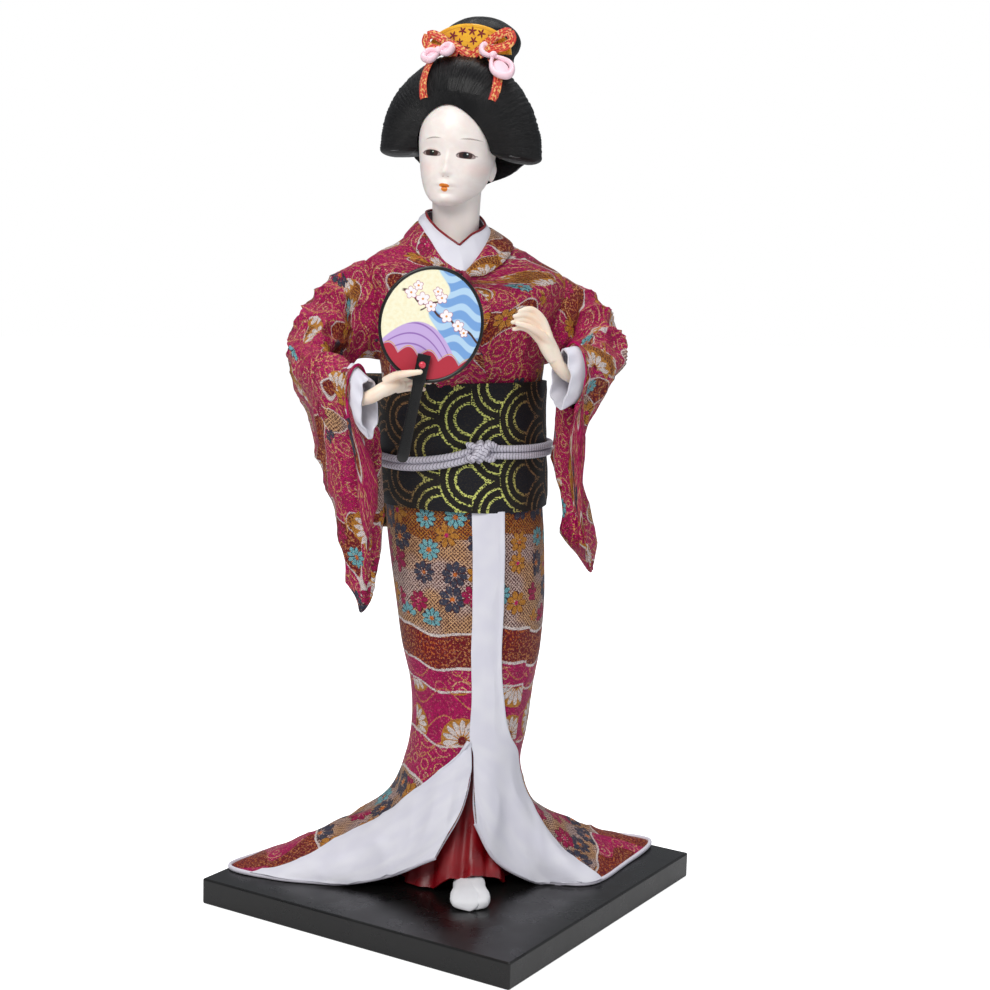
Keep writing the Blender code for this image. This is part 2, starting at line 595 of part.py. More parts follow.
def underskirt():
    offset = -CLOTH - EASE
    sides = RING_SIDES
    rings = [figure_ring(height, offset, sides) for height in (UNDERSKIRT_TOP, 0.081, 0.066, 0.051, 0.036)]
    turn = np.linspace(0, 2 * np.pi, sides, endpoint=False)
    away = (np.degrees(turn) - HEM_LIFT_ANGLE + 180) % 360 - 180
    lift = HEM_LIFT * np.exp(-((away / HEM_LIFT_SPREAD) ** 4))
    for height, half_width, half_depth, x, y in UNDERSKIRT_FLARE[::-1]:
        share = max(0.0, 1 - height / HEM_LIFT)
        ring = np.stack([x + half_width * np.sin(turn), y - half_depth * np.cos(turn),
                         BOARD_THICK + height + lift * share], axis=1)
        rings.append(ring)
    outer = np.array(rings)
    inner = outer - CLOTH * normals(outer, True)
    inner[:, :, 2] = np.maximum(inner[:, :, 2], BOARD_THICK + GAP)
    tube_shell("red_underskirt", outer, inner, "red_satin")


def foot():
    tip = np.array([*FOOT_TIP, 0.0])
    heel = np.array([*FOOT_HEEL, 0.0])
    forward = (tip - heel) / np.linalg.norm(tip - heel)
    aside = np.array([-forward[1], forward[0], 0.0])
    rings = []
    sides = 16
    turn = np.linspace(0, 2 * np.pi, sides, endpoint=False)
    for share, width, height in ((0.0, 0.55, 0.85), (0.1, 0.72, 1.0), (0.4, 0.82, 1.0), (0.65, 0.95, 0.92),
                                 (0.85, 0.90, 0.72), (0.96, 0.62, 0.48), (1.0, 0.25, 0.25)):
        across = FOOT_HALF_WIDTH * width * np.cos(turn)
        up = FOOT_HEIGHT * height * (0.5 + 0.5 * np.sign(np.sin(turn)) * np.abs(np.sin(turn)) ** 0.7)
        ring = heel + share * (tip - heel) + across[:, None] * aside
        ring[:, 2] = BOARD_THICK + GAP + up
        rings.append(ring)
    body = loft("tabi_foot", rings, "white_satin")
    cleft_start = tip + 0.004 * forward
    cleft_end = tip - 0.007 * forward
    side = aside * FOOT_HALF_WIDTH * 0.30
    slot = []
    for place in (cleft_start, cleft_end):
        for across, up in ((-1, -1), (1, -1), (1, 1), (-1, 1)):
            slot.append(place + side + across * aside * TOE_CLEFT / 2 + np.array([0, 0, BOARD_THICK + (1 + up) * FOOT_HEIGHT]))
    tool = loft("slot", np.array(slot).reshape(2, 4, 3), "white_satin")
    boolean(body, cutter("toe_cleft", tool), "DIFFERENCE")


def core():
    offset = -2 * CLOTH - EASE - GAP
    heights = (CORE_BOTTOM, 0.051, 0.066, 0.081, UNDERSKIRT_TOP, 0.130, 0.151, 0.172, 0.190, SHOULDER)
    rings = [figure_ring(height, offset, RING_SIDES) for height in heights]
    top = figure_ring(SHOULDER, offset, RING_SIDES)
    centre = top.mean(axis=0)
    top = centre + (top - centre) * np.array([0.74, 0.70, 1.0])
    top[:, 2] = BOARD_THICK + CORE_TOP
    body = loft("body_core", [*rings, top], "stuffing")
    centre = figure(CORE_BOTTOM)[2:]
    hole = cylinder_rings(centre, DOWEL_RADIUS + GAP, BOARD_THICK, BOARD_THICK + DOWEL_REACH + GAP, 16)
    boolean(body, cutter("dowel_hole_in_core", loft("hole", hole, "stuffing")), "DIFFERENCE")
    peg_bottom = BOARD_THICK + CORE_TOP + GAP - PEG_LENGTH - GAP
    hole = cylinder_rings(NECK_CENTRE, PEG_RADIUS + GAP, peg_bottom, 2 * CORE_TOP, 16)
    boolean(body, cutter("peg_hole_in_core", loft("hole", hole, "stuffing")), "DIFFERENCE")
    return body


def shoulder_ring(sides):
    rows = np.array(SHOULDER_LINE)
    keys = np.concatenate([rows[:, 0] - 360, rows[:, 0], rows[:, 0] + 360])
    values = np.tile(rows[:, 1:], (3, 1))
    turn = np.linspace(0, 2 * np.pi, sides, endpoint=False)
    middle = (values[len(rows)] + values[len(rows) + 2]) / 2
    half_x = (rows[1, 1] - rows[3, 1]) / 2
    heights = spline(keys, values[:, 2:3], np.degrees(turn))[:, 0]
    x = (rows[1, 1] + rows[3, 1]) / 2 + half_x * np.sin(turn)
    y = middle[1] - (rows[2, 2] - rows[0, 2]) / 2 * np.cos(turn)
    return stand(np.stack([x, y, heights], axis=1))


def bodice():
    sides = RING_SIDES
    rings = [figure_ring(height, 0.0, sides) for height in (WAIST_SEAM + 2 * GAP, 0.151, 0.172, 0.181, 0.190, SHOULDER)]
    turn = np.linspace(0, 2 * np.pi, sides, endpoint=False)
    rings[-1][:, 2] += np.where(np.sin(turn) > 0, ARMHOLE_RISE[1], ARMHOLE_RISE[0]) * np.sin(turn) ** 2
    rings.append(shoulder_ring(sides))
    rings.append(stand(closed_spline(NECKLINE, sides)))
    rings = np.array(rings)
    outer = np.concatenate([rings[:5], spline(np.arange(3), rings[5:].reshape(3, -1), np.linspace(0, 2, 5)).reshape(5, sides, 3)])
    inner = outer + CLOTH * normals(outer, True)
    return tube_shell("kimono_bodice", outer, inner, "brocade")


def collar():
    sides = RING_SIDES
    low = stand(closed_spline(NECKLINE, sides))
    high = stand(closed_spline(COLLAR, sides))
    rise = (high - low) / np.linalg.norm(high - low, axis=1, keepdims=True)
    low = low + rise * 2 * GAP
    outer = np.array([low, (low + high) / 2, high])
    inner = outer + LINING * normals(outer, True)
    tube_shell("white_collar", outer, inner, "white_satin")
    lift = rise * (PIPING_RADIUS + GAP)
    wire("collar_piping", high + lift, PIPING_RADIUS, "red_satin", closed=True)


def obi():
    sides = RING_SIDES
    heights = (OBI_TOP, (OBI_TOP + OBI_BOTTOM) / 2, OBI_BOTTOM)
    outer = np.array([figure_ring(height, GAP + OBI_THICK, sides) for height in heights])
    inner = np.array([figure_ring(height, GAP, sides) for height in heights])
    tube_shell("obi_sash", outer, inner, "obi_brocade")


def obi_bow():
    depth = BOW_DEPTH / 2
    back = figure(BOW_MIDDLE)[1] + 3 * GAP + OBI_THICK + 2 * CORD_RADIUS
    centre = np.array([figure(BOW_MIDDLE)[2], back + depth, BOARD_THICK + BOW_MIDDLE])
    sides = 20
    turn = np.linspace(0, 2 * np.pi, sides, endpoint=False)
    square = 0.45
    across = np.sign(np.cos(turn)) * np.abs(np.cos(turn)) ** square * BOW_WIDTH / 2
    up = np.sign(np.sin(turn)) * np.abs(np.sin(turn)) ** square * BOW_HEIGHT / 2
    rings = []
    for share, size in ((-1.0, 0.80), (-0.75, 0.95), (0.0, 1.0), (0.75, 0.95), (1.0, 0.80)):
        rings.append(centre + np.stack([across * size, np.full(sides, share * depth), up * size], axis=1))
    loft("obi_bow", rings, "obi_brocade")


def cords():
    offset = GAP + OBI_THICK + GAP + CORD_RADIUS
    clear = math.degrees((KNOT_HALF[0] + CORD_RADIUS + GAP) / (OBI_REACH + offset))
    angles = np.linspace(KNOT_ANGLE + clear, KNOT_ANGLE + 360 - clear, 36)
    for name, side in (("cord_upper", 1), ("cord_lower", -1)):
        points = [on_sash(angle, offset, side * STRAND_PITCH / 2) for angle in angles]
        wire(name, points, CORD_RADIUS, "silver_cord")
    middle = on_sash(KNOT_ANGLE, KNOT_HALF[1] + GAP + OBI_THICK + GAP, 0.0)
    ball("cord_knot", middle, KNOT_HALF, "silver_cord", 12, 8)


def on_sash(angle, offset, rise):
    """A point of the cord's path round the sash, that far outside the kimono."""
    height = table(CORD_LINE, angle)[0] + rise
    half_width, half_depth, x, y = figure(height)
    turn = math.radians(angle)
    return stand((x + (half_width + offset) * math.sin(turn), y - (half_depth + offset) * math.cos(turn), height))


def ball(name, centre, half, surface, sides, rows):
    rings = []
    turn = np.linspace(0, 2 * np.pi, sides, endpoint=False)
    for rise in np.linspace(-80, 80, rows):
        level = math.radians(rise)
        ring = np.stack([half[0] * math.cos(level) * np.cos(turn), half[1] * math.cos(level) * np.sin(turn),
                         np.full(sides, half[2] * math.sin(level))], axis=1)
        rings.append(centre + ring)
    return loft(name, rings, surface)


def sleeve_grid(stations, mouth):
    """Rings of a sleeve from its armhole to its mouth: round above the arm, drawn down below it."""
    axes = np.array([station[0] for station in stations] + [mouth[0]])
    turn = np.radians(90) - np.linspace(0, 2 * np.pi, SLEEVE_SIDES, endpoint=False)
    up = np.maximum(np.sin(turn), 0.0)
    down = np.maximum(-np.sin(turn), 0.0)
    blunt = np.sign(np.cos(turn)) * np.abs(np.cos(turn)) ** np.where(down > 0, BLUNT, 1.0)
    rings = []
    for index, (axis, half_width, top, middle, middle_width, bottom, low_width) in enumerate(stations):
        ahead = axes[index + 1] - axes[max(index - 1, 0)]
        aside = np.array([-ahead[1], ahead[0], 0.0])
        aside = aside / np.linalg.norm(aside)
        hang = table([(0.0, *axis, half_width), (0.5, *middle, middle_width), (1.0, *bottom, low_width)], down)
        ring = hang[:, :3] + (blunt * hang[:, 3])[:, None] * aside
        ring[:, 2] += up * top
        rings.append(ring)
    ahead = axes[-1] - axes[-2]
    aside = np.array([-ahead[1], ahead[0], 0.0])
    aside = aside / np.linalg.norm(aside)
    ring = np.array(mouth[0]) + mouth[1] * np.cos(turn)[:, None] * aside
    ring[:, 2] += mouth[2] * np.sin(turn)
    rings.append(ring)
    return stand(rings)


def mouth_ring(mouth, previous, along, shrink):
    """A ring of the cuff, along the arm from the mouth and inside the sleeve's outline."""
    centre = np.array(mouth[0])
    ahead = centre - np.array(previous)
    ahead = ahead / np.linalg.norm(ahead)
    aside = np.array([-ahead[1], ahead[0], 0.0])
    aside = aside / np.linalg.norm(aside)
    turn = np.radians(90) - np.linspace(0, 2 * np.pi, SLEEVE_SIDES, endpoint=False)
    ring = centre + along * ahead + (mouth[1] - shrink) * np.cos(turn)[:, None] * aside
    ring[:, 2] += (mouth[2] - shrink) * np.sin(turn)
    return stand(ring)


def sleeve(side, stations, mouth):
    outer = sleeve_grid(stations, mouth)
    normal = normals(outer, True)
    middle = outer.mean(axis=1, keepdims=True)
    if ((outer - middle) * normal).sum() < 0:
        normal = -normal
    inner = outer - CLOTH * normal
    tube_shell(f"kimono_sleeve_{side}", outer, inner, "brocade")
    shrink = 2 * CLOTH
    previous = stations[-1][0]
    places = (-CUFF_INSIDE, CUFF_OUTSIDE / 2, CUFF_OUTSIDE)
    cuff = np.array([mouth_ring(mouth, previous, place, shrink) for place in places])
    lining = np.array([mouth_ring(mouth, previous, place, shrink + LINING) for place in places])
    tube_shell(f"white_cuff_{side}", cuff, lining, "white_satin")


def armature():
    points = stand(open_spline(WIRE_PATH, 40))
    wire("armature_wire", points, WIRE_RADIUS, "wire")
    channel = as_mesh(wire("channel", points, WIRE_RADIUS + GAP, "wire"))
    return cutter("wire_channel", channel)


def limb_rings(stations):
    centres = stand([station[0] for station in stations])
    turn = np.linspace(0, 2 * np.pi, HAND_SIDES, endpoint=False)
    rings = []
    for index, (_, tall, thick) in enumerate(stations):
        ahead = centres[min(index + 1, len(centres) - 1)] - centres[max(index - 1, 0)]
        ahead = ahead / np.linalg.norm(ahead)
        aside = np.array([-ahead[1], ahead[0], 0.0])
        aside = aside / np.linalg.norm(aside)
        up = np.cross(aside, ahead)
        up = up if up[2] > 0 else -up
        rings.append(centres[index] + tall * np.sin(turn)[:, None] * up + thick * np.cos(turn)[:, None] * aside)
    return rings


def hand(side, stations, thumb):
    body = loft(f"hand_{side}", limb_rings(stations), "skin")
    points = open_spline(thumb, 8)
    radii = THUMB_RADIUS * np.array([1.1, 1.15, 1.1, 1.0, 1.0, 0.95, 0.8, 0.4])
    thumb_rings = limb_rings([(point, radius, radius) for point, radius in zip(points, radii)])
    tool = loft("thumb", thumb_rings, "skin")
    boolean(body, cutter(f"thumb_{side}", tool), "UNION")


def fan_frame():
    turn = math.radians(FAN_TURN)
    right = np.array([math.cos(turn), math.sin(turn), 0.0])
    front = np.array([math.sin(turn), -math.cos(turn), 0.0])
    tilt = math.radians(FAN_TILT)
    up = np.array([0.0, 0.0, 1.0])
    return (right * math.cos(tilt) - up * math.sin(tilt), up * math.cos(tilt) + right * math.sin(tilt), front)


def fan():
    right, up, front = fan_frame()
    centre = stand(FAN_CENTRE)
    sides = RING_SIDES
    turn = np.linspace(0, 2 * np.pi, sides, endpoint=False)

    def oval(size, forward):
        return (centre + forward * front + (FAN_HALF_WIDTH + size) * np.cos(turn)[:, None] * right
                + (FAN_HALF_HEIGHT + size) * np.sin(turn)[:, None] * up)

    leaf_edge = -2 * FAN_RIM - GAP
    loft("fan_leaf", [oval(leaf_edge, -FAN_LEAF / 2), oval(leaf_edge, FAN_LEAF / 2)], "fan_paper")
    wire("fan_rim", oval(-FAN_RIM, 0.0), FAN_RIM, "black_lacquer", closed=True)
    top = -FAN_HALF_HEIGHT + HANDLE_LAP
    bottom = top - HANDLE_LENGTH
    near = FAN_RIM + GAP
    rings = []
    for along, width in ((top, 0.75), (top - 0.001, 0.95), (top - 0.010, 1.0), (bottom + 0.012, 0.72),
                         (bottom + 0.002, 0.95), (bottom, 0.70)):
        half = HANDLE_WIDTH / 2 * width
        rings.append([centre + along * up + across * right + forward * front
                      for across, forward in ((-half, near), (half, near), (half, near + HANDLE_THICK), (-half, near + HANDLE_THICK))])
    loft("fan_handle", rings, "black_lacquer")
    rivet = centre + (top - 0.003) * up
    turn = np.linspace(0, 2 * np.pi, 12, endpoint=False)
    rings = []
    for forward, size in ((near + HANDLE_THICK + GAP, 1.0), (near + HANDLE_THICK + GAP + RIVET_RADIUS / 2, 0.7)):
        rings.append(rivet + forward * front + RIVET_RADIUS * size * (np.cos(turn)[:, None] * right + np.sin(turn)[:, None] * up))
    loft("fan_rivet", rings, "comb_yellow")


def head_matrix():
    place = Matrix.Translation(Vector((HEAD_CENTRE[0], HEAD_CENTRE[1], HEAD_CENTRE[2] + BOARD_THICK)))
    return place @ Matrix.Rotation(math.radians(HEAD_TURN), 4, "Z") @ Matrix.Rotation(math.radians(HEAD_LEAN), 4, "Y")


def in_head(points):
    matrix = np.array(head_matrix())
    points = np.asarray(points, float)
    return points @ matrix[:3, :3].T + matrix[:3, 3]


def head():
    sides = 24
    turn = np.linspace(0, 2 * np.pi, sides, endpoint=False)
    rings = []
    for height in np.linspace(HEAD[0][0], HEAD[-1][0], 18):
        half_width, middle, front, back = table(HEAD, height)
        x = half_width * np.sin(turn)
        y = middle - np.where(np.cos(turn) > 0, front, back) * np.cos(turn)
        for mark_x, mark_z, wide, tall, rise in FACE_MARKS:
            bump = rise * np.exp(-(((x - mark_x) / wide) ** 2) - ((height - mark_z) / tall) ** 2)
            y = y - np.where(np.cos(turn) > 0, bump, 0.0)
        rings.append(np.stack([x, y, np.full(sides, height)], axis=1))
    body = loft("head", [in_head(ring) for ring in rings], "skin")
    bottom = BOARD_THICK + CORE_TOP + GAP
    top = BOARD_THICK + HEAD_CENTRE[2] - NECK_JOIN
    turn = np.linspace(0, 2 * np.pi, 20, endpoint=False)
    rings = []
    for height, radius in ((bottom - PEG_LENGTH, PEG_RADIUS), (bottom, PEG_RADIUS), (bottom, NECK_RADIUS * 0.98),
                           ((bottom + top) / 2, NECK_RADIUS), (top, NECK_RADIUS * 0.95)):
        rings.append(np.stack([NECK_CENTRE[0] + radius * np.cos(turn), NECK_CENTRE[1] + radius * np.sin(turn),
                               np.full(len(turn), height)], axis=1))
    neck = loft("neck", rings, "skin")
    boolean(body, cutter("neck_and_peg", neck), "UNION")


def roll_point(angle, share, lift=0.0):
    """A point on the front roll of the hair: share runs 0 to 1 from the hairline over to the back."""
    turn = math.radians(angle)
    front = table(HAIRLINE, angle)[0]
    y = front + (ROLL_BACK - front) * (0.5 - 0.5 * math.cos(math.pi * share))
    scalp = scalp_radius(turn, y)
    radius = scalp + table(ROLL_THICK, angle)[0] * math.sin(math.pi * share) ** 0.6 + lift
    return (radius * math.sin(turn), y, SCALP_CENTRE + radius * math.cos(turn))


def scalp_radius(turn, y):
    spread = max(0.0, 1 - (y / SCALP[1]) ** 2)
    return math.sqrt(spread / ((math.sin(turn) / SCALP[0]) ** 2 + (math.cos(turn) / SCALP[2]) ** 2))


def hair_roll():
    rings = []
    for angle in np.linspace(-ROLL_SPAN, ROLL_SPAN, 19):
        turn = math.radians(angle)
        ring = [roll_point(angle, share) for share in np.linspace(0.04, 0.96, 10)]
        front = table(HAIRLINE, angle)[0]
        for y in np.linspace(ROLL_BACK, front, 6):
            radius = scalp_radius(turn, y)
            ring.append((radius * math.sin(turn), y, SCALP_CENTRE + radius * math.cos(turn)))
        rings.append(in_head(ring))
    loft("hair_roll", rings, "hair")


def wing_edges():
    shares = np.linspace(0.15, 0.85, 8)
    for name, side in (("wing_edge_left", -1), ("wing_edge_right", 1)):
        angle = side * ROLL_SPAN
        turn = math.radians(angle)
        away = np.array([math.cos(turn) * side, 0.0, -math.sin(turn) * side])
        faces = []
        for drop in (GAP, GAP + WING_EDGE_THICK):
            rows = [[roll_point(angle, share, -inset) for inset in WING_EDGE_INSET] for share in shares]
            faces.append(in_head(np.array(rows) + drop * away))
        sheet(name, faces[0], faces[1], "black_lacquer")


def hair_back():
    rim = ROLL_BACK + GAP
    sides = 24
    turn = np.linspace(0, 2 * np.pi, sides, endpoint=False)
    rings = []
    for y in (SCALP[1] * 0.995, SCALP[1] * 0.95, rim):
        spread = math.sqrt(1 - (y / SCALP[1]) ** 2)
        rings.append(np.stack([SCALP[0] * spread * np.sin(turn), np.full(sides, y), SCALP_CENTRE + SCALP[2] * spread * np.cos(turn)], axis=1))
    for rise in (0, 20, 40, 60, 80):
        level = math.radians(rise)
        y = rim + (HAIR_BACK_DEPTH - rim) * math.sin(level)
        size = math.cos(level)
        low = np.where(np.cos(turn) < 0, HAIR_BACK_LOW, 1.0)
        rings.append(np.stack([HAIR_BACK_HALF[0] * size * np.sin(turn), np.full(sides, y),
                               SCALP_CENTRE + HAIR_BACK_HALF[1] * size * low * np.cos(turn)], axis=1))
    loft("hair_back", [in_head(ring) for ring in rings], "hair")


def crest_height():
    return max(roll_point(0.0, share)[2] for share in np.linspace(0.3, 0.7, 21))


def topknot():
    base = crest_height() + GAP
    sides = 20
    turn = np.linspace(0, 2 * np.pi, sides, endpoint=False)
    rings = []
    for share, size in ((0.0, 0.80), (0.18, 0.95), (0.42, 1.0), (0.68, 0.86), (0.88, 0.55), (0.98, 0.22)):
        rings.append(np.stack([TOPKNOT_SHIFT[0] + TOPKNOT_HALF[0] * size * np.cos(turn),
                               TOPKNOT_SHIFT[1] + TOPKNOT_HALF[1] * size * np.sin(turn),
                               np.full(sides, base + TOPKNOT_HALF[2] * share)], axis=1))
    loft("hair_topknot", [in_head(ring) for ring in rings], "hair")


def comb():
    base = crest_height() + GAP
    front = TOPKNOT_SHIFT[1] - TOPKNOT_HALF[1] - GAP - COMB_THICK
    sides = 15
    turn = np.linspace(0, math.pi, sides)
    outline = [(COMB_HALF_WIDTH * math.cos(angle), COMB_RISE * math.sin(angle)) for angle in turn]
    rings = []
    for y in (front, front + COMB_THICK):
        rings.append([(TOPKNOT_SHIFT[0] + x, y, base + z) for x, z in outline])
    loft("hair_comb", [in_head(ring) for ring in rings], "comb_yellow")


def ribbons():
    shares = np.linspace(0.09, 0.38, 8)
    for name, (low, high) in RIBBON_ANGLES.items():
        faces = []
        for lift in (GAP + CLOTH, GAP):
            rows = []
            for share, middle in zip(shares, np.linspace(low, high, len(shares))):
                across = np.linspace(middle - RIBBON_HALF_WIDTH, middle + RIBBON_HALF_WIDTH, 3)
                rows.append([roll_point(angle, share, lift) for angle in across])
            faces.append(np.array(rows))
        outer, inner = faces
        sheet(name, in_head(outer), in_head(inner), "ribbon_red")


def hair_bows():
    turn = np.linspace(0, 2 * np.pi, 10, endpoint=False)
    lift = 3 * CLOTH + max(radius for _, radius in BOW_PROFILE)
    for name, (angle, share) in HAIR_BOWS.items():
        centre = np.array(roll_point(angle, share, lift))
        across = np.array([math.cos(math.radians(angle)), 0.0, -math.sin(math.radians(angle))])
        out = np.array([math.sin(math.radians(angle)), 0.0, math.cos(math.radians(angle))])
        ahead = np.array([0.0, 1.0, 0.0])
        rings = [centre + along * across + radius * (np.cos(turn)[:, None] * out + np.sin(turn)[:, None] * ahead)
                 for along, radius in BOW_PROFILE]
        loft(name, [in_head(ring) for ring in rings], "bow_pink")


def main():
    clear_scene()
    board()
    dowel()
    skirt()
    lapels()
    underskirt()
    foot()
    body = core()
    dress = bodice()
    channel = armature()
    boolean(body, channel, "DIFFERENCE")
    boolean(dress, channel, "DIFFERENCE")
    collar()
    obi()
    obi_bow()
    cords()
    sleeve("left", LEFT_SLEEVE, LEFT_MOUTH)
    sleeve("right", RIGHT_SLEEVE, RIGHT_MOUTH)
    hand("left", LEFT_ARM, LEFT_THUMB)
    hand("right", RIGHT_ARM, RIGHT_THUMB)
    fan()
    head()
    hair_roll()
    wing_edges()
    hair_back()
    topknot()
    comb()
    ribbons()
    hair_bows()


main()
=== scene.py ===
"""Looks of a geisha doll in a brocade kimono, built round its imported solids.

Units are metres, +Z is up, the doll faces -Y and the origin is the bottom centre of the board. Heights of
the doll are counted from the top of the board, and angles round it from the front, by +X.
"""

import math

import bmesh
import bpy
import numpy as np
from mathutils.bvhtree import BVHTree
from mathutils import Matrix, Vector, noise


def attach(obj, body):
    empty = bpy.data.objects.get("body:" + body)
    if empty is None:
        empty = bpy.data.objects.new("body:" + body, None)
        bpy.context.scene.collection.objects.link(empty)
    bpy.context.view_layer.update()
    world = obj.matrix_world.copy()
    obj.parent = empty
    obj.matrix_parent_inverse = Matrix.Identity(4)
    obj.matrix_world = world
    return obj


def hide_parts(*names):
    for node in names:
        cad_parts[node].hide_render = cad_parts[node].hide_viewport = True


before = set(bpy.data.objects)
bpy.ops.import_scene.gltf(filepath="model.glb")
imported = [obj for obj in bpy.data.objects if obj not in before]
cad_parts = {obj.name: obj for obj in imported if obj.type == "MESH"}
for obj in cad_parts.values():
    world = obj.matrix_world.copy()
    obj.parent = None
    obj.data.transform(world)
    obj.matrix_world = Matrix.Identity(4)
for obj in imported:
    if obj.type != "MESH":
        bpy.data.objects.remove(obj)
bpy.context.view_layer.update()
MM = 0.001

# Board, layers and heights above the board, as the solids have them
BOARD_TOP = 0.009
GAP = 0.0003
CLOTH = 0.0008
LINING = 0.0006
OBI_THICK = 0.0016
UNDERSKIRT_TOP = 0.098
OBI_BOTTOM = 0.1300
OBI_TOP = 0.1725
WAIST_SEAM = 0.1415
KNEE = 0.051
SHOULDER = 0.203

# Camera of the photograph: place in metres, angles in degrees, lens and sensor in millimetres
CAMERA_PLACE = (-0.12796, -0.60102, 0.23249)
CAMERA_YAW = -13.081
CAMERA_PITCH = 8.398
CAMERA_ROLL = 1.572
CAMERA_LENS = 65.76
CAMERA_SENSOR = 36.0

# Sizes and shapes that the solids have too
CORD_RADIUS = 0.00095
PIPING_RADIUS = 0.0004
CORE_TOP = 0.210
FIGURE = [
    (0.036, 0.0190, 0.0195, 0.0036, -0.0005),
    (0.051, 0.0202, 0.0203, 0.0044, -0.0005),
    (0.066, 0.0213, 0.0206, 0.0050, -0.0003),
    (0.081, 0.0243, 0.0209, 0.0045, 0.0000),
    (0.096, 0.0259, 0.0214, 0.0038, 0.0000),
    (0.109, 0.0266, 0.0215, 0.0027, 0.0000),
    (0.130, 0.0272, 0.0214, 0.0010, 0.0000),
    (0.151, 0.0271, 0.0210, -0.0003, 0.0000),
    (0.172, 0.0275, 0.0210, -0.0009, 0.0000),
    (0.190, 0.0310, 0.0218, -0.0010, -0.0006),
    (0.203, 0.0335, 0.0200, -0.0012, -0.0004),
]
EDGE_ANGLE = [(0.036, -7.0), (0.062, -8.0), (0.131, -1.3), (0.150, -1.3)]
SLIT = 1.6
TRAIN = [
    (-7.0, (0.0019, -0.0215, 0.041), (0.0020, -0.0236, 0.032), (0.0021, -0.0248, 0.0275),
     (0.0023, -0.0255, 0.0235)),
    (8.0, (0.0065, -0.0216, 0.040), (0.0068, -0.0231, 0.030), (0.0076, -0.0243, 0.020),
     (0.0090, -0.0252, 0.0110)),
    (28.0, (0.0135, -0.0188, 0.039), (0.0150, -0.0206, 0.027), (0.0195, -0.0222, 0.013),
     (0.0260, -0.0234, 0.0004)),
    (55.0, (0.0195, -0.0126, 0.039), (0.0222, -0.0142, 0.027), (0.0315, -0.0190, 0.012),
     (0.0457, -0.0253, 0.0004)),
    (72.0, (0.0220, -0.0066, 0.039), (0.0256, -0.0068, 0.027), (0.0385, -0.0086, 0.013),
     (0.0602, -0.0102, 0.0004)),
    (90.0, (0.0225, 0.0008, 0.039), (0.0268, 0.0035, 0.0250), (0.0450, 0.0085, 0.0112),
     (0.0762, 0.0108, 0.0012)),
    (106.0, (0.0222, 0.0070, 0.038), (0.0265, 0.0120, 0.024), (0.0415, 0.0188, 0.0105),
     (0.0630, 0.0225, 0.0004)),
    (135.0, (0.0185, 0.0165, 0.038), (0.0215, 0.0218, 0.023), (0.0315, 0.0280, 0.010),
     (0.0455, 0.0345, 0.0004)),
    (180.0, (0.0042, 0.0222, 0.038), (0.0032, 0.0275, 0.023), (0.0022, 0.0350, 0.010),
     (0.0010, 0.0460, 0.0004)),
    (225.0, (-0.0115, 0.0165, 0.038), (-0.0160, 0.0218, 0.023), (-0.0270, 0.0280, 0.010),
     (-0.0420, 0.0345, 0.0004)),
    (254.0, (-0.0168, 0.0070, 0.038), (-0.0218, 0.0120, 0.0245), (-0.0400, 0.0188, 0.0110),
     (-0.0630, 0.0225, 0.0004)),
    (270.0, (-0.0180, 0.0000, 0.038), (-0.0218, 0.0035, 0.0262), (-0.0425, 0.0080, 0.0148),
     (-0.0776, 0.0088, 0.0006)),
    (288.0, (-0.0170, -0.0070, 0.037), (-0.0220, -0.0075, 0.0250), (-0.0390, -0.0068, 0.0110),
     (-0.0640, -0.0050, 0.0004)),
    (305.0, (-0.0145, -0.0132, 0.037), (-0.0190, -0.0146, 0.0255), (-0.0310, -0.0150, 0.0115),
     (-0.0470, -0.0126, 0.0004)),
    (330.0, (-0.0075, -0.0196, 0.038), (-0.0110, -0.0215, 0.0275), (-0.0170, -0.0226, 0.0155),
     (-0.0268, -0.0210, 0.0051)),
    (352.0, (0.0008, -0.0222, 0.041), (-0.0023, -0.0250, 0.0303), (-0.0080, -0.0270, 0.0207),
     (-0.0121, -0.0280, 0.0132)),
]
TRAIN_FLOOR = 0.0004
SKIRT_ROWS = (0.1412, 0.130, 0.109, 0.096, 0.081, 0.066)
TRAIN_ROWS = 7
BAND_EDGE = [(0.0, 13.5), (0.22, 13.0), (0.40, 17.0), (0.475, 25.5), (0.558, 46.0), (0.62, 57.0),
             (0.74, 60.0), (1.0, 57.0)]
LAPEL_EDGE = [(0.50, 349.0), (0.56, 337.0), (0.617, 316.0), (0.683, 292.0), (0.79, 282.0), (0.92, 284.0),
              (1.0, 281.0)]
BAND_TOP = 0.08
LAPEL_TOP = 0.50
UNDERSKIRT_FLARE = [
    (0.0004, 0.0205, 0.0258, -0.0010, -0.0032),
    (0.010, 0.0190, 0.0236, 0.0000, -0.0018),
    (0.022, 0.0172, 0.0200, 0.0020, -0.0004),
]
HEM_LIFT = 0.0062
HEM_LIFT_SPREAD = 32.0
HEM_LIFT_ANGLE = 4.0
FOOT_TIP = (-0.0032, -0.0445)
FOOT_HEEL = (0.0012, -0.0215)
FOOT_HALF_WIDTH = 0.0070
FOOT_HEIGHT = 0.0052
BOW_WIDTH = 0.075
BOW_HEIGHT = 0.054
BOW_DEPTH = 0.012
BOW_MIDDLE = 0.144
KNOT_ANGLE = 1.5
CORD_LINE = [(0.0, 0.1506), (25.0, 0.1500), (90.0, 0.1498), (180.0, 0.1480), (270.0, 0.1462),
             (325.0, 0.1460), (345.0, 0.1478), (362.0, 0.1506)]
KNOT_HALF = (0.0048, 0.0022, 0.0034)
STRAND_PITCH = 0.0024
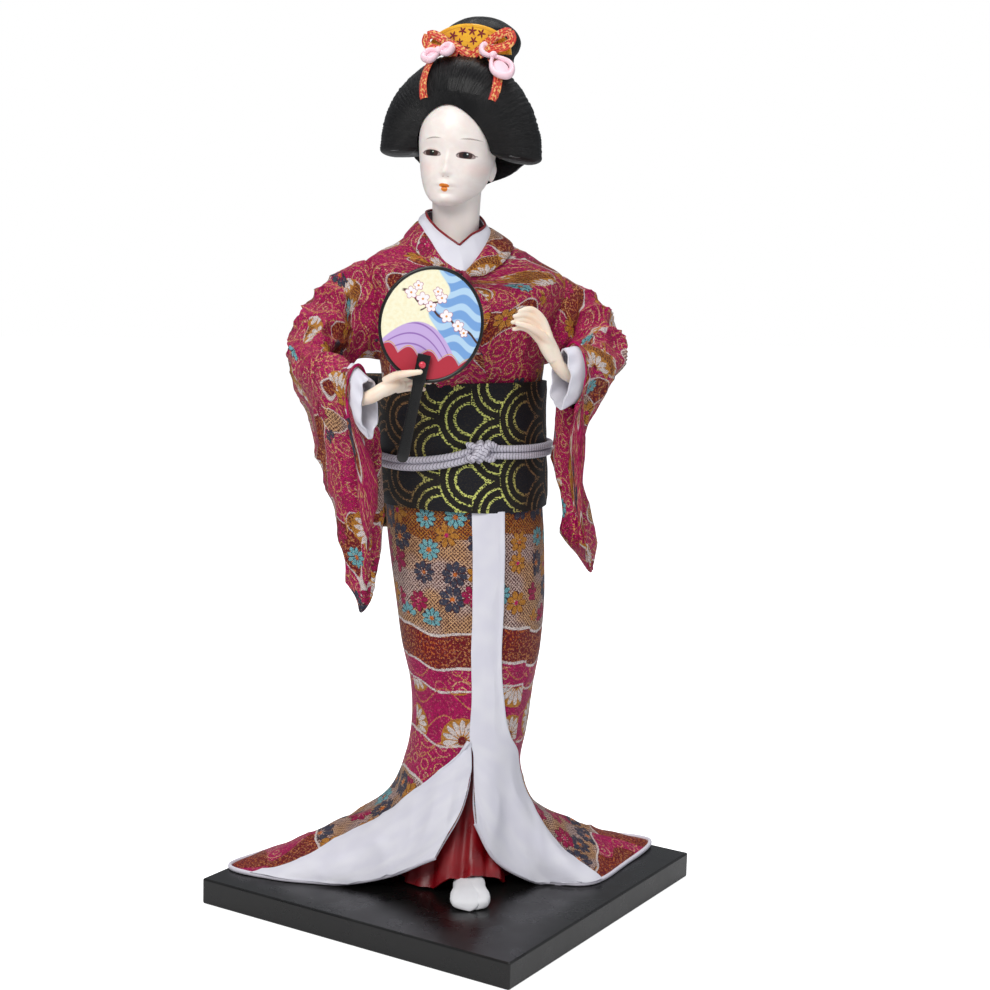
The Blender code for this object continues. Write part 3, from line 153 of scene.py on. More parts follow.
NECKLINE = [
    (-0.0056, -0.0213, 0.2082),
    (0.0005, -0.0160, 0.2146),
    (0.0048, -0.0090, 0.2196),
    (0.0066, -0.0010, 0.2227),
    (0.0050, 0.0090, 0.2240),
    (-0.0040, 0.0138, 0.2240),
    (-0.0136, 0.0100, 0.2250),
    (-0.0166, -0.0008, 0.2248),
    (-0.0150, -0.0100, 0.2198),
    (-0.0118, -0.0172, 0.2128),
]
COLLAR = [
    (-0.0062, -0.0156, 0.2174),
    (-0.0014, -0.0115, 0.2208),
    (0.0030, -0.0068, 0.2226),
    (0.0056, -0.0008, 0.2246),
    (0.0036, 0.0075, 0.2280),
    (-0.0040, 0.0112, 0.2290),
    (-0.0120, 0.0082, 0.2285),
    (-0.0147, -0.0008, 0.2268),
    (-0.0128, -0.0080, 0.2230),
    (-0.0100, -0.0128, 0.2202),
]
ARMHOLE_RISE = (0.0085, 0.0050)
SHOULDER_LINE = [(0.0, -0.0040, -0.0214, 0.2058), (90.0, 0.0185, 0.0, 0.2158),
                 (180.0, -0.0030, 0.0172, 0.2150), (270.0, -0.0250, 0.0, 0.2166)]
LEFT_SLEEVE = [
    ((-0.0355, 0.0010, 0.1950), 0.0090, 0.0165, (-0.0355, 0.0005, 0.1870), 0.0085,
     (-0.0355, 0.0000, 0.1790), 0.0060),
    ((-0.0425, 0.0000, 0.1945), 0.0090, 0.0140, (-0.0428, -0.0010, 0.1850), 0.0086,
     (-0.0430, -0.0020, 0.1740), 0.0066),
    ((-0.0490, -0.0040, 0.1880), 0.0094, 0.0130, (-0.0495, -0.0050, 0.1760), 0.0086,
     (-0.0490, -0.0060, 0.1620), 0.0062),
    ((-0.0530, -0.0120, 0.1800), 0.0080, 0.0100, (-0.0515, -0.0115, 0.1650), 0.0066,
     (-0.0480, -0.0110, 0.1500), 0.0052),
    ((-0.0515, -0.0200, 0.1760), 0.0072, 0.0082, (-0.0455, -0.0175, 0.1500), 0.0060,
     (-0.0425, -0.0150, 0.1230), 0.0058),
    ((-0.0470, -0.0262, 0.1735), 0.0068, 0.0075, (-0.0385, -0.0210, 0.1400), 0.0062,
     (-0.0368, -0.0185, 0.0955), 0.0050),
    ((-0.0440, -0.0290, 0.1715), 0.0064, 0.0075, (-0.0340, -0.0235, 0.1400), 0.0055,
     (-0.0345, -0.0200, 0.1050), 0.0050),
]
LEFT_MOUTH = ((-0.0415, -0.0315, 0.1690), 0.0062, 0.0108)
RIGHT_SLEEVE = [
    ((0.0333, 0.0010, 0.1940), 0.0090, 0.0140, (0.0333, 0.0005, 0.1860), 0.0085, (0.0333, 0.0000, 0.1780),
     0.0060),
    ((0.0400, 0.0000, 0.1925), 0.0092, 0.0128, (0.0400, -0.0010, 0.1830), 0.0086, (0.0390, -0.0020, 0.1740),
     0.0060),
    ((0.0442, -0.0050, 0.1865), 0.0090, 0.0125, (0.0415, -0.0055, 0.1770), 0.0072,
     (0.0375, -0.0060, 0.1670), 0.0046),
    ((0.0440, -0.0130, 0.1810), 0.0076, 0.0098, (0.0390, -0.0128, 0.1680), 0.0058,
     (0.0335, -0.0125, 0.1520), 0.0040),
    ((0.0415, -0.0200, 0.1785), 0.0070, 0.0082, (0.0330, -0.0175, 0.1560), 0.0048,
     (0.0362, -0.0150, 0.1290), 0.0050),
    ((0.0376, -0.0245, 0.1780), 0.0066, 0.0080, (0.0312, -0.0205, 0.1480), 0.0052,
     (0.0410, -0.0165, 0.1095), 0.0066),
    ((0.0344, -0.0268, 0.1773), 0.0067, 0.0086, (0.0294, -0.0225, 0.1480), 0.0046,
     (0.0398, -0.0190, 0.1075), 0.0056),
]
RIGHT_MOUTH = ((0.0303, -0.0289, 0.1764), 0.0064, 0.0112)
BLUNT = 0.7
CUFF_OUTSIDE = 0.0058
FAN_CENTRE = (-0.0197, -0.0396, 0.1928)
FAN_TURN = -12.0
FAN_TILT = 10.9
FAN_HALF_WIDTH = 0.0166
FAN_HALF_HEIGHT = 0.0185
FAN_LEAF = 0.0007
FAN_RIM = 0.0006
HANDLE_WIDTH = 0.0042
HANDLE_THICK = 0.0016
HANDLE_LENGTH = 0.0350
HANDLE_LAP = 0.0090
RIVET_RADIUS = 0.0011
HEAD_CENTRE = (-0.0044, -0.0005, 0.2473)
HEAD_TURN = -32.0
HEAD_LEAN = 2.3
HEAD = [
    (-0.0170, 0.0022, -0.0095, 0.0022, 0.0060),
    (-0.0158, 0.0050, -0.0080, 0.0048, 0.0110),
    (-0.0140, 0.0073, -0.0060, 0.0074, 0.0130),
    (-0.0115, 0.0094, -0.0030, 0.0108, 0.0118),
    (-0.0080, 0.0110, -0.0010, 0.0132, 0.0120),
    (-0.0040, 0.0121, 0.0000, 0.0138, 0.0122),
    (0.0000, 0.0127, 0.0000, 0.0136, 0.0128),
    (0.0050, 0.0130, 0.0000, 0.0140, 0.0132),
    (0.0100, 0.0124, 0.0000, 0.0134, 0.0130),
    (0.0150, 0.0104, 0.0000, 0.0112, 0.0112),
    (0.0190, 0.0072, 0.0000, 0.0076, 0.0078),
    (0.0212, 0.0034, 0.0000, 0.0036, 0.0036),
]
NECK_CENTRE = (-0.0042, 0.0008)
SCALP = (0.0142, 0.0152, 0.0206)
SCALP_CENTRE = 0.0026
ROLL_SPAN = 94.0
ROLL_THICK = [(-94.0, 0.0146), (-60.0, 0.0128), (-30.0, 0.0108), (0.0, 0.0094), (30.0, 0.0108),
              (60.0, 0.0128), (94.0, 0.0146)]
HAIRLINE = [(-94.0, -0.0046), (-60.0, -0.0085), (-30.0, -0.0108), (0.0, -0.0114), (30.0, -0.0108),
            (60.0, -0.0085), (94.0, -0.0046)]
ROLL_BACK = 0.0105
HAIR_BACK_DEPTH = 0.0245
HAIR_BACK_HALF = (0.0205, 0.0235)
HAIR_BACK_LOW = 0.50
WING_EDGE_THICK = 0.0010
WING_EDGE_INSET = (0.0006, 0.0036)
TOPKNOT_HALF = (0.0138, 0.0100, 0.0134)
TOPKNOT_SHIFT = (0.0020, 0.0110)
COMB_HALF_WIDTH = 0.0146
COMB_RISE = 0.0095
COMB_THICK = 0.0015


def srgb(red, green, blue):
    """A colour as seen on screen, 0 to 255, as a linear one."""
    values = []
    for value in (red, green, blue):
        value /= 255
        values.append(value / 12.92 if value <= 0.04045 else ((value + 0.055) / 1.055) ** 2.4)
    return (*values, 1.0)


MAGENTA = srgb(210, 3, 106)
DEEP_RED = srgb(124, 6, 26)
GOLD = srgb(206, 140, 48)
ORANGE = srgb(225, 120, 45)
IVORY = srgb(222, 196, 184)
SLATE = srgb(62, 68, 88)
WHITE_THREAD = srgb(240, 230, 225)
SATIN_WHITE = srgb(228, 227, 234)
SKIN = srgb(241, 230, 224)
HAND_SKIN = srgb(248, 232, 214)


class Wire:
    """A number in a shader graph that takes part in arithmetic."""

    def __init__(self, graph, socket):
        self.graph = graph
        self.socket = socket

    def __add__(self, other):
        return self.graph.math("ADD", self, other)

    def __radd__(self, other):
        return self.graph.math("ADD", self, other)

    def __sub__(self, other):
        return self.graph.math("SUBTRACT", self, other)

    def __rsub__(self, other):
        return self.graph.math("SUBTRACT", other, self)

    def __mul__(self, other):
        return self.graph.math("MULTIPLY", self, other)

    def __rmul__(self, other):
        return self.graph.math("MULTIPLY", self, other)

    def __truediv__(self, other):
        return self.graph.math("DIVIDE", self, other)


class Graph:
    """A material's node tree, written as formulas."""

    def __init__(self, name):
        self.surface = bpy.data.materials.new(name)
        self.surface.use_nodes = True
        self.tree = self.surface.node_tree
        self.shader = self.tree.nodes["Principled BSDF"]

    def node(self, kind, **settings):
        made = self.tree.nodes.new(kind)
        for key, value in settings.items():
            setattr(made, key, value)
        return made

    def plug(self, socket, value):
        if isinstance(value, Wire):
            self.tree.links.new(value.socket, socket)
        else:
            socket.default_value = value

    def math(self, operation, *values):
        made = self.node("ShaderNodeMath", operation=operation)
        for socket, value in zip(made.inputs, values):
            self.plug(socket, value)
        return Wire(self, made.outputs[0])

    def sin(self, value):
        return self.math("SINE", value)

    def length(self, x, y):
        return self.math("SQRT", x * x + y * y)

    def size(self, value):
        return self.math("ABSOLUTE", value)

    def most(self, one, other):
        return self.math("MAXIMUM", one, other)

    def least(self, one, other):
        return self.math("MINIMUM", one, other)

    def wrap(self, value):
        return self.math("FRACT", value)

    def ramp(self, value, low, high):
        """0 below low, 1 above high, smooth between; low may be the larger, which turns it round."""
        made = self.node("ShaderNodeMapRange", interpolation_type="SMOOTHSTEP")
        self.plug(made.inputs["Value"], value)
        flipped = low > high
        made.inputs["From Min"].default_value = min(low, high)
        made.inputs["From Max"].default_value = max(low, high)
        made.inputs["To Min"].default_value = 1.0 if flipped else 0.0
        made.inputs["To Max"].default_value = 0.0 if flipped else 1.0
        return Wire(self, made.outputs["Result"])

    def mix(self, share, low, high):
        made = self.node("ShaderNodeMix", data_type="RGBA")
        self.plug(made.inputs[0], share)
        self.plug(made.inputs[6], low)
        self.plug(made.inputs[7], high)
        return Wire(self, made.outputs[2])

    def vector(self, x, y, z=0.0):
        made = self.node("ShaderNodeCombineXYZ")
        for socket, value in zip(made.inputs, (x, y, z)):
            self.plug(socket, value)
        return Wire(self, made.outputs[0])

    def parts(self, vector):
        made = self.node("ShaderNodeSeparateXYZ")
        self.plug(made.inputs[0], vector)
        return [Wire(self, socket) for socket in made.outputs]

    def cloth(self):
        """The two cloth coordinates of a piece, in millimetres."""
        made = self.node("ShaderNodeUVMap", uv_map="cloth")
        u, v, _ = self.parts(Wire(self, made.outputs[0]))
        return u, v

    def place(self):
        made = self.node("ShaderNodeTexCoord")
        return Wire(self, made.outputs["Object"])

    def noise(self, vector, scale, detail=2.0, roughness=0.5):
        made = self.node("ShaderNodeTexNoise")
        self.plug(made.inputs["Vector"], vector)
        made.inputs["Scale"].default_value = scale
        made.inputs["Detail"].default_value = detail
        made.inputs["Roughness"].default_value = roughness
        return Wire(self, made.outputs[0])

    def cells(self, vector, scale, jitter):
        """The centre of the nearest cell, and a random number that belongs to it."""
        made = self.node("ShaderNodeTexVoronoi", voronoi_dimensions="2D")
        self.plug(made.inputs["Vector"], vector)
        made.inputs["Scale"].default_value = scale
        made.inputs["Randomness"].default_value = jitter
        chance = self.parts(Wire(self, made.outputs["Color"]))[0]
        x, y, _ = self.parts(Wire(self, made.outputs["Position"]))
        return x, y, chance

    def bump(self, height, strength, distance):
        made = self.node("ShaderNodeBump")
        made.inputs["Strength"].default_value = strength
        made.inputs["Distance"].default_value = distance
        self.plug(made.inputs["Height"], height)
        self.plug(self.shader.inputs["Normal"], Wire(self, made.outputs[0]))

    def paint(self, colour, roughness, **constants):
        self.plug(self.shader.inputs["Base Color"], colour)
        self.plug(self.shader.inputs["Roughness"], roughness)
        for key, value in constants.items():
            self.shader.inputs[key.replace("_", " ")].default_value = value
        return self.surface


def net(graph, u, v, period):
    """1 in the holes of a slanted net of threads."""
    one = graph.size(graph.sin((u + v) * (math.pi / period)))
    other = graph.size(graph.sin((u - v) * (math.pi / period)))
    return one * other


def speckle(graph, u, v, seed):
    """Short bright stitches scattered on a dark ground."""
    grain = graph.noise(graph.vector(u + seed, v * 0.8), 1.35, 1.0)
    return graph.ramp(grain, 0.53, 0.60)


def dashed(graph, u, v, period=0.75):
    """Threads that break a woven line into short stitches."""
    return graph.ramp(graph.sin((u * 1.1 + v) * (2 * math.pi / period)), -0.75, -0.2)


def stitched(graph, u, v, size=0.34):
    """Cloth coordinates stepped to the stitches of the weave, which gives a pattern its toothed edges."""
    row = graph.math("FLOOR", v / size)
    shift = graph.wrap(row * 0.5) * size
    column = graph.math("FLOOR", (u + shift) / size) + 0.5
    return column * size - shift, (row + 0.5) * size


def brocade_parts(graph, u, v):
    """The grounds that the brocade is made of, each a colour."""
    holes = net(graph, u, v, 1.25)
    slant = graph.noise(graph.vector(u, v), 0.07, 1.0)
    thread = graph.noise(graph.vector(u * 3.1, v), 2.3, 0.0)
    magenta = graph.mix(graph.ramp(thread, 0.35, 0.68), srgb(168, 2, 84), MAGENTA)
    bright = graph.mix(graph.ramp(slant, 0.42, 0.58), IVORY, srgb(226, 178, 128))
    ivory = graph.mix(graph.ramp(holes, 0.38, 0.52), bright, srgb(78, 20, 30))
    hue = graph.mix(graph.ramp(thread, 0.42, 0.6), GOLD, srgb(176, 92, 30))
    gold = graph.mix(graph.ramp(holes, 0.34, 0.52), hue, srgb(84, 18, 22))
    bits = speckle(graph, u, v, 7.0)
    hue = graph.mix(graph.ramp(slant, 0.4, 0.6), ORANGE, srgb(226, 150, 84))
    speckled = graph.mix(bits * 0.75, DEEP_RED, hue)
    return magenta, ivory, gold, speckled


def scrolls(graph, u, v, size, ground):
    """Small rings in dotted gold on a ground."""
    x, y, chance = graph.cells(graph.vector(u, v), 1 / size, 0.55)
    rings = graph.sin(graph.length(u - x, v - y) * (2 * math.pi / 2.1) + chance * 6)
    line = graph.ramp(rings, 0.72, 0.85) * dashed(graph, u, v, 0.9) * graph.ramp(chance, 0.25, 0.35)
    hue = graph.mix(chance, srgb(236, 176, 70), srgb(240, 204, 160))
    return graph.mix(line * 0.9, ground, hue)


def weave_finish(graph, colour, u, v, stitch_u, stitch_v, sheen=0.0):
    """Thread relief, uneven threads, painted shade and glints on the weave, and the shader of a woven
    brocade.
    """
    warp = graph.sin(u * (2 * math.pi / 0.68))
    weft = graph.sin(v * (2 * math.pi / 0.68))
    threads = warp * weft
    chance = graph.node("ShaderNodeTexWhiteNoise", noise_dimensions="2D")
    graph.plug(chance.inputs["Vector"], graph.vector(stitch_u, stitch_v))
    glint = Wire(graph, chance.outputs["Value"])
    # Painted light on single stitches: random ones darkened as painted shade, a few brightened to pale gold
    # as painted glints.
    colour = graph.mix(graph.ramp(glint, 0.46, 0.0) * 0.52, colour, srgb(40, 4, 18))
    colour = graph.mix(graph.ramp(glint, 0.88, 1.0) * 0.30, colour, srgb(250, 206, 160))
    slub = graph.noise(graph.vector(u * 2.6, v * 3), 1.0, 1.0)
    worn = graph.noise(graph.vector(u, v), 0.11, 2.0)
    # Painted shade of the weave: the colour is multiplied darker where the threads dip, and along uneven
    # threads and in broad random patches.
    shade = graph.ramp(threads * 0.5 + slub * 1.4 + worn * 0.7, 0.35, 1.75)
    node = graph.node("ShaderNodeMix", data_type="RGBA", blend_type="MULTIPLY")
    node.inputs[0].default_value = 1.0
    graph.plug(node.inputs[6], colour)
    graph.plug(node.inputs[7], graph.mix(shade, srgb(186, 176, 180), srgb(255, 255, 255)))
    graph.bump(threads * 0.7 + slub * 0.9, 0.55, 0.0002)
    rough = graph.ramp(slub, 0.3, 0.7) * 0.18 + 0.40
    return graph.paint(Wire(graph, node.outputs[2]), rough, Sheen_Weight=sheen, Sheen_Roughness=0.4,
                       Specular_IOR_Level=0.22)


# Thinnest layer of air kept between cloth and board
FLOOR_CLEARANCE = 0.0001


def circle(count):
    """Angles evenly spaced over one full turn."""
    return np.linspace(0, 2 * np.pi, count, endpoint=False)


def unit(vectors):
    return vectors / np.linalg.norm(vectors, axis=-1, keepdims=True)


def level_aside(ahead):
    """The level direction square to a heading."""
    return unit(np.array([-ahead[1], ahead[0], 0.0]))


def turned(one, other, angle):
    """Two square directions, turned in their plane."""
    return one * math.cos(angle) + other * math.sin(angle), other * math.cos(angle) - one * math.sin(angle)


def squared_off(value, power):
    """A sine or cosine pushed towards its ends, which gives a round outline flatter sides."""
    return np.sign(value) * np.abs(value) ** power


def spline(keys, values, places):
    """A smooth curve through one row of values at each key, read at the given places."""
    keys = np.asarray(keys, float)
    values = np.asarray(values, float).reshape(len(keys), -1)
    slopes = np.gradient(values, keys, axis=0)
    places = np.clip(np.asarray(places, float), keys[0], keys[-1])
    low = np.clip(np.searchsorted(keys, places, side="right") - 1, 0, len(keys) - 2)
    span = (keys[low + 1] - keys[low])[..., None]
    t = (places[..., None] - keys[low][..., None]) / span
    start = (1 + 2 * t) * (1 - t) ** 2 * values[low] + t * (1 - t) ** 2 * span * slopes[low]
    end = t * t * (3 - 2 * t) * values[low + 1] + t * t * (t - 1) * span * slopes[low + 1]
    return start + end


def table(rows, place):
    """The columns after the first of a table of rows, read at a place of the first column."""
    rows = np.asarray(rows, float)
    return spline(rows[:, 0], rows[:, 1:], np.asarray(place, float))


def closed_spline(points, count):
    """Count points round a smooth closed curve through the given ones."""
    points = np.asarray(points, float)
    wrapped = np.vstack([points[-2:], points, points[:3]])
    keys = np.arange(-2, len(points) + 3)
    return spline(keys, wrapped, np.arange(count) * len(points) / count)


def open_spline(points, count):
    points = np.asarray(points, float)
    return spline(np.arange(len(points)), points, np.linspace(0, len(points) - 1, count))


def stand(points):
    """Points whose heights are above the board, moved onto the board."""
    return np.asarray(points, float) + np.array([0.0, 0.0, BOARD_TOP])


def normals(grid, wrapped):
    """Unit normals of a grid, outwards where its columns run by +X and its rows run down."""
    if wrapped:
        padded = np.concatenate([grid[:, -1:], grid, grid[:, :1]], axis=1)
        across = padded[:, 2:] - padded[:, :-2]
    else:
        across = np.gradient(grid, axis=1)
    along = np.gradient(grid, axis=0)
    normal = np.cross(along, across)
    return normal / np.maximum(np.linalg.norm(normal, axis=2, keepdims=True), 1e-12)


def outward_normals(grid, wrapped, middle):
    """Unit normals of a grid, turned away from its middle."""
    out = normals(grid, wrapped)
    return -out if (out * (grid - middle)).sum() < 0 else out


def figure(height):
    """Half width, half depth and centre of the dressed figure at a height."""
    return table(FIGURE, height)


def figure_ring(height, offset, sides, start=0.0):
    """A ring round the figure, counted from the front by +X, that far outside the kimono."""
    half_width, half_depth, x, y = figure(height)
    turn = np.radians(start) + circle(sides)
    return np.stack([x + (half_width + offset) * np.sin(turn), y - (half_depth + offset) * np.cos(turn),
                     np.full(sides, BOARD_TOP + height)], axis=1)


def skirt_point_rows(angle):
    """The points of one column of the skirt, from the waist to the hem."""
    rib_angles = [rib[0] for rib in TRAIN]
    low = np.array([rib[1:] for rib in TRAIN])
    train = stand(spline(rib_angles, low.reshape(len(TRAIN), -1), angle).reshape(-1, 3))
    share = (angle - TRAIN[0][0]) / (TRAIN[-1][0] - TRAIN[0][0])
    body = []
    for height in (*SKIRT_ROWS, KNEE):
        half_width, half_depth, x, y = figure(height)
        turn = math.radians(table(EDGE_ANGLE, height)[0] + share * (360.0 - SLIT))
        body.append((x + half_width * math.sin(turn), y - half_depth * math.cos(turn), BOARD_TOP + height))
    return np.array(body), train


def shoulder_ring(sides):
    """The ring over the shoulders, where the bodice turns in to the neck."""
    rows = np.array(SHOULDER_LINE)
    keys = np.concatenate([rows[:, 0] - 360, rows[:, 0], rows[:, 0] + 360])
    values = np.tile(rows[:, 1:], (3, 1))
    turn = circle(sides)
    middle = (rows[0, 1:] + rows[2, 1:]) / 2
    half_x = (rows[1, 1] - rows[3, 1]) / 2
    heights = spline(keys, values[:, 2:3], np.degrees(turn))[:, 0]
    x = (rows[1, 1] + rows[3, 1]) / 2 + half_x * np.sin(turn)
    y = middle[1] - (rows[2, 2] - rows[0, 2]) / 2 * np.cos(turn)
    return stand(np.stack([x, y, heights], axis=1))


def on_sash(angle, offset, rise):
    """A point of the cord's path round the sash, that far outside the kimono."""
    height = table(CORD_LINE, angle)[0] + rise
    half_width, half_depth, x, y = figure(height)
    turn = math.radians(angle)
    x += (half_width + offset) * math.sin(turn)
    y -= (half_depth + offset) * math.cos(turn)
    return stand((x, y, height))


def fan_frame():
    """The fan's directions across, up and forward."""
    turn = math.radians(FAN_TURN)
    right = np.array([math.cos(turn), math.sin(turn), 0.0])
    front = np.array([math.sin(turn), -math.cos(turn), 0.0])
    return (*turned(right, np.array([0.0, 0.0, 1.0]), -math.radians(FAN_TILT)), front)


def on_fan(across, up, forward):
    """Points given in the fan's own directions from its centre."""
    values = np.stack(np.broadcast_arrays(across, up, forward), axis=-1)
    return stand(FAN_CENTRE) + values @ np.array(fan_frame())


def head_matrix():
    """The head's place on the doll, turned and leaning."""
    place = Matrix.Translation(Vector((HEAD_CENTRE[0], HEAD_CENTRE[1], HEAD_CENTRE[2] + BOARD_TOP)))
    turn = Matrix.Rotation(math.radians(HEAD_TURN), 4, "Z")
    return place @ turn @ Matrix.Rotation(math.radians(HEAD_LEAN), 4, "Y")


def in_head(points):
    """Points of the head's own frame, in a grid of any shape, moved onto the doll."""
    matrix = np.array(head_matrix())
    points = np.asarray(points, float)
    return (points.reshape(-1, 3) @ matrix[:3, :3].T + matrix[:3, 3]).reshape(points.shape)


def roll_point(angle, share, lift=0.0):
    """A point on the front roll of the hair: share runs 0 to 1 from the hairline over to the back."""
    turn = math.radians(angle)
    front = table(HAIRLINE, angle)[0]
    y = front + (ROLL_BACK - front) * (0.5 - 0.5 * math.cos(math.pi * share))
    scalp = scalp_radius(turn, y)
    radius = scalp + table(ROLL_THICK, angle)[0] * math.sin(math.pi * share) ** 0.6 + lift
    return (radius * math.sin(turn), y, SCALP_CENTRE + radius * math.cos(turn))


def scalp_radius(turn, y):
    spread = max(0.0, 1 - (y / SCALP[1]) ** 2)
    return math.sqrt(spread / ((math.sin(turn) / SCALP[0]) ** 2 + (math.cos(turn) / SCALP[2]) ** 2))


def crest_height():
    return max(roll_point(0.0, share)[2] for share in np.linspace(0.3, 0.7, 21))


def corner_table(table_of_uv):
    """The cloth coordinates of each quad's corners, from one row of coordinates per grid point."""
    uv = np.asarray(table_of_uv, float)
    return np.stack([uv[:-1, :-1], uv[:-1, 1:], uv[1:, 1:], uv[1:, :-1]], axis=2)


def flat_uv(grid, wrapped=False):
    """Cloth coordinates in millimetres: along each row from its middle, and down the columns."""
    if wrapped:
        grid = np.concatenate([grid, grid[:, :1]], axis=1)
    across = np.linalg.norm(np.diff(grid, axis=1), axis=2)
    u = np.concatenate([np.zeros((len(grid), 1)), np.cumsum(across, axis=1)], axis=1)
    u = u - u[:, -1:] / 2
    down = np.linalg.norm(np.diff(grid, axis=0), axis=2).mean(axis=1)
    v = np.concatenate([[0.0], np.cumsum(down)])
    return np.stack([u, np.broadcast_to(v[:, None], u.shape)], axis=2) / MM


def grid_faces(rows, columns, wrapped):
    row, column = np.meshgrid(np.arange(rows - 1), np.arange(columns if wrapped else columns - 1),
                              indexing="ij")
    beside = (column + 1) % columns
    faces = np.stack([row * columns + column, row * columns + beside,
                      (row + 1) * columns + beside, (row + 1) * columns + column], axis=2)
    return faces.reshape(-1, 4)


def make_mesh(name, points, faces, corners, slots, surfaces, sharp=60.0):
    """A smooth mesh object with cloth coordinates at its corners, riding on the doll."""
    mesh = bpy.data.meshes.new(name)
    mesh.from_pydata(np.asarray(points, float).tolist(), [], faces)
    layer = mesh.uv_layers.new(name="cloth")
    layer.data.foreach_set("uv", np.asarray(corners, np.float32).ravel())
    for surface in surfaces:
        mesh.materials.append(surface)
    mesh.polygons.foreach_set("material_index", np.asarray(slots, np.int32))
    mesh.shade_smooth()
    mesh.set_sharp_from_angle(angle=math.radians(sharp))
    mesh.update()
    piece = bpy.data.objects.new(name, mesh)
    bpy.context.scene.collection.objects.link(piece)
    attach(piece, "root")
    return piece


def closed_corners(uv):
    """The same for a grid whose last column joins its first."""
    return corner_table(np.concatenate([uv, uv[:, :1]], axis=1))


class Shape:
    """Grids and fans of points gathered into one mesh."""

    def __init__(self):
        self.points = []
        self.faces = []
        self.corners = []
        self.slots = []
        self.count = 0

    def add_points(self, points):
        points = np.asarray(points, float).reshape(-1, 3)
        start = self.count
        self.points.append(points)
        self.count += len(points)
        return start

    def add_faces(self, faces, corners, slot):
        self.faces.extend([tuple(map(int, face)) for face in faces])
        for corner in corners:
            self.corners.extend(np.asarray(corner, float).reshape(-1, 2).tolist())
        self.slots.extend([slot] * len(faces))

    def grid(self, grid, corners=None, slot=0, wrapped=False, flip=False):
        rows, columns = grid.shape[:2]
        if corners is None:
            corners = corner_table(flat_uv(grid, wrapped))
        faces = grid_faces(rows, columns, wrapped)
        corners = np.asarray(corners).reshape(-1, 4, 2)
        if flip:
            faces = faces[:, ::-1]
            corners = corners[:, ::-1]
        start = self.add_points(grid)
        self.add_faces(faces + start, corners, slot)
        return start

    def strip(self, one, other, slot, wrapped):
        """Joins two rows of point numbers by quads."""
        count = len(one)
        faces = []
        for index in range(count if wrapped else count - 1):
            following = (index + 1) % count
            faces.append((one[index], one[following], other[following], other[index]))
        self.add_faces(faces, np.zeros((len(faces), 4, 2)), slot)

    def join_edges(self, first, second, rows, columns, slot, wrapped=False):
        """Joins the edges of two like grids that start at these point numbers."""
        last = (rows - 1) * columns
        lines = [range(columns), range(last, last + columns)]
        if not wrapped:
            lines += [range(0, last + 1, columns), range(columns - 1, last + columns, columns)]
        for line in lines:
            self.strip([first + index for index in line], [second + index for index in line], slot, wrapped)

    def fan(self, row, slot, flip=False):
        """Closes a ring of point numbers with a middle point."""
        ring = np.concatenate(self.points)[list(row)]
        middle = self.add_points(ring.mean(axis=0))
        faces = []
        for index in range(len(row)):
            following = row[(index + 1) % len(row)]
            faces.append((following, row[index], middle) if flip else (row[index], following, middle))
        self.add_faces(faces, np.zeros((len(faces), 3, 2)), slot)

    def build(self, name, surfaces, sharp=60.0):
        piece = make_mesh(name, np.concatenate(self.points), self.faces, self.corners, self.slots, surfaces,
                          sharp)
        work = bmesh.new()
        work.from_mesh(piece.data)
        bmesh.ops.recalc_face_normals(work, faces=work.faces)
        work.to_mesh(piece.data)
        work.free()
        return piece


def thick_cloth(name, outer, thickness, surfaces, corners=None, wrapped=False, inward=None):
    """A sheet with a right side, a lining and edges; inward points from the right side to the lining."""
    normal = normals(outer, wrapped) if inward is None else -inward
    inner = outer - thickness * normal
    inner[:, :, 2] = np.maximum(inner[:, :, 2], BOARD_TOP + FLOOR_CLEARANCE)
    shape = Shape()
    first = shape.grid(outer, corners, 0, wrapped)
    second = shape.grid(inner, None, 1, wrapped, flip=True)
    shape.join_edges(first, second, *outer.shape[:2], 1, wrapped)
    return shape.build(name, surfaces)


def tube_grid(points, radii, sides, flat=1.0):
    """Rings round a path; flat squeezes each ring along its second axis."""
    points = np.asarray(points, float)
    radii = np.broadcast_to(np.asarray(radii, float), (len(points),))
    ahead = np.gradient(points, axis=0)
    ahead /= np.maximum(np.linalg.norm(ahead, axis=1, keepdims=True), 1e-12)
    turn = circle(sides)
    guide = np.array([0.0, 0.0, 1.0]) if abs(ahead[0, 2]) < 0.8 else np.array([0.0, 1.0, 0.0])
    aside = np.cross(ahead[0], guide)
    rings = []
    for point, forward, radius in zip(points, ahead, radii):
        aside = unit(aside - forward * (aside @ forward))
        up = np.cross(aside, forward)
        rings.append(point + radius * (np.cos(turn)[:, None] * aside + flat * np.sin(turn)[:, None] * up))
    return np.array(rings)


def capped(shape, grid, corners=None):
    """Adds rings to a shape and closes both ends."""
    rows, columns = grid.shape[:2]
    start = shape.grid(grid, corners, 0, wrapped=True)
    shape.fan(range(start, start + columns), 0, flip=True)
    last = start + (rows - 1) * columns
    shape.fan(range(last, last + columns), 0)


def tube(name, points, radii, sides, surface, flat=1.0):
    shape = Shape()
    capped(shape, tube_grid(points, radii, sides, flat))
    return shape.build(name, [surface])


def resample(rings, rows):
    """The same surface with more rows, evenly spaced along it."""
    rings = np.asarray(rings, float)
    steps = np.linalg.norm(np.diff(rings, axis=0), axis=2).mean(axis=1)
    keys = np.concatenate([[0.0], np.cumsum(steps)])
    flat = spline(keys, rings.reshape(len(rings), -1), np.linspace(0, keys[-1], rows))
    return flat.reshape(rows, *rings.shape[1:])


def ripple(grid, scale, seed, stretch=(1.0, 1.0, 1.0)):
    """Smooth noise over a grid, about -1 to 1; a larger stretch makes longer folds along that axis."""
    out = np.empty(grid.shape[:2])
    for row in range(grid.shape[0]):
        for column in range(grid.shape[1]):
            x, y, z = grid[row, column] / scale / np.array(stretch)
            out[row, column] = noise.noise(Vector((x + seed, y - seed, z + 2 * seed)))
    return out


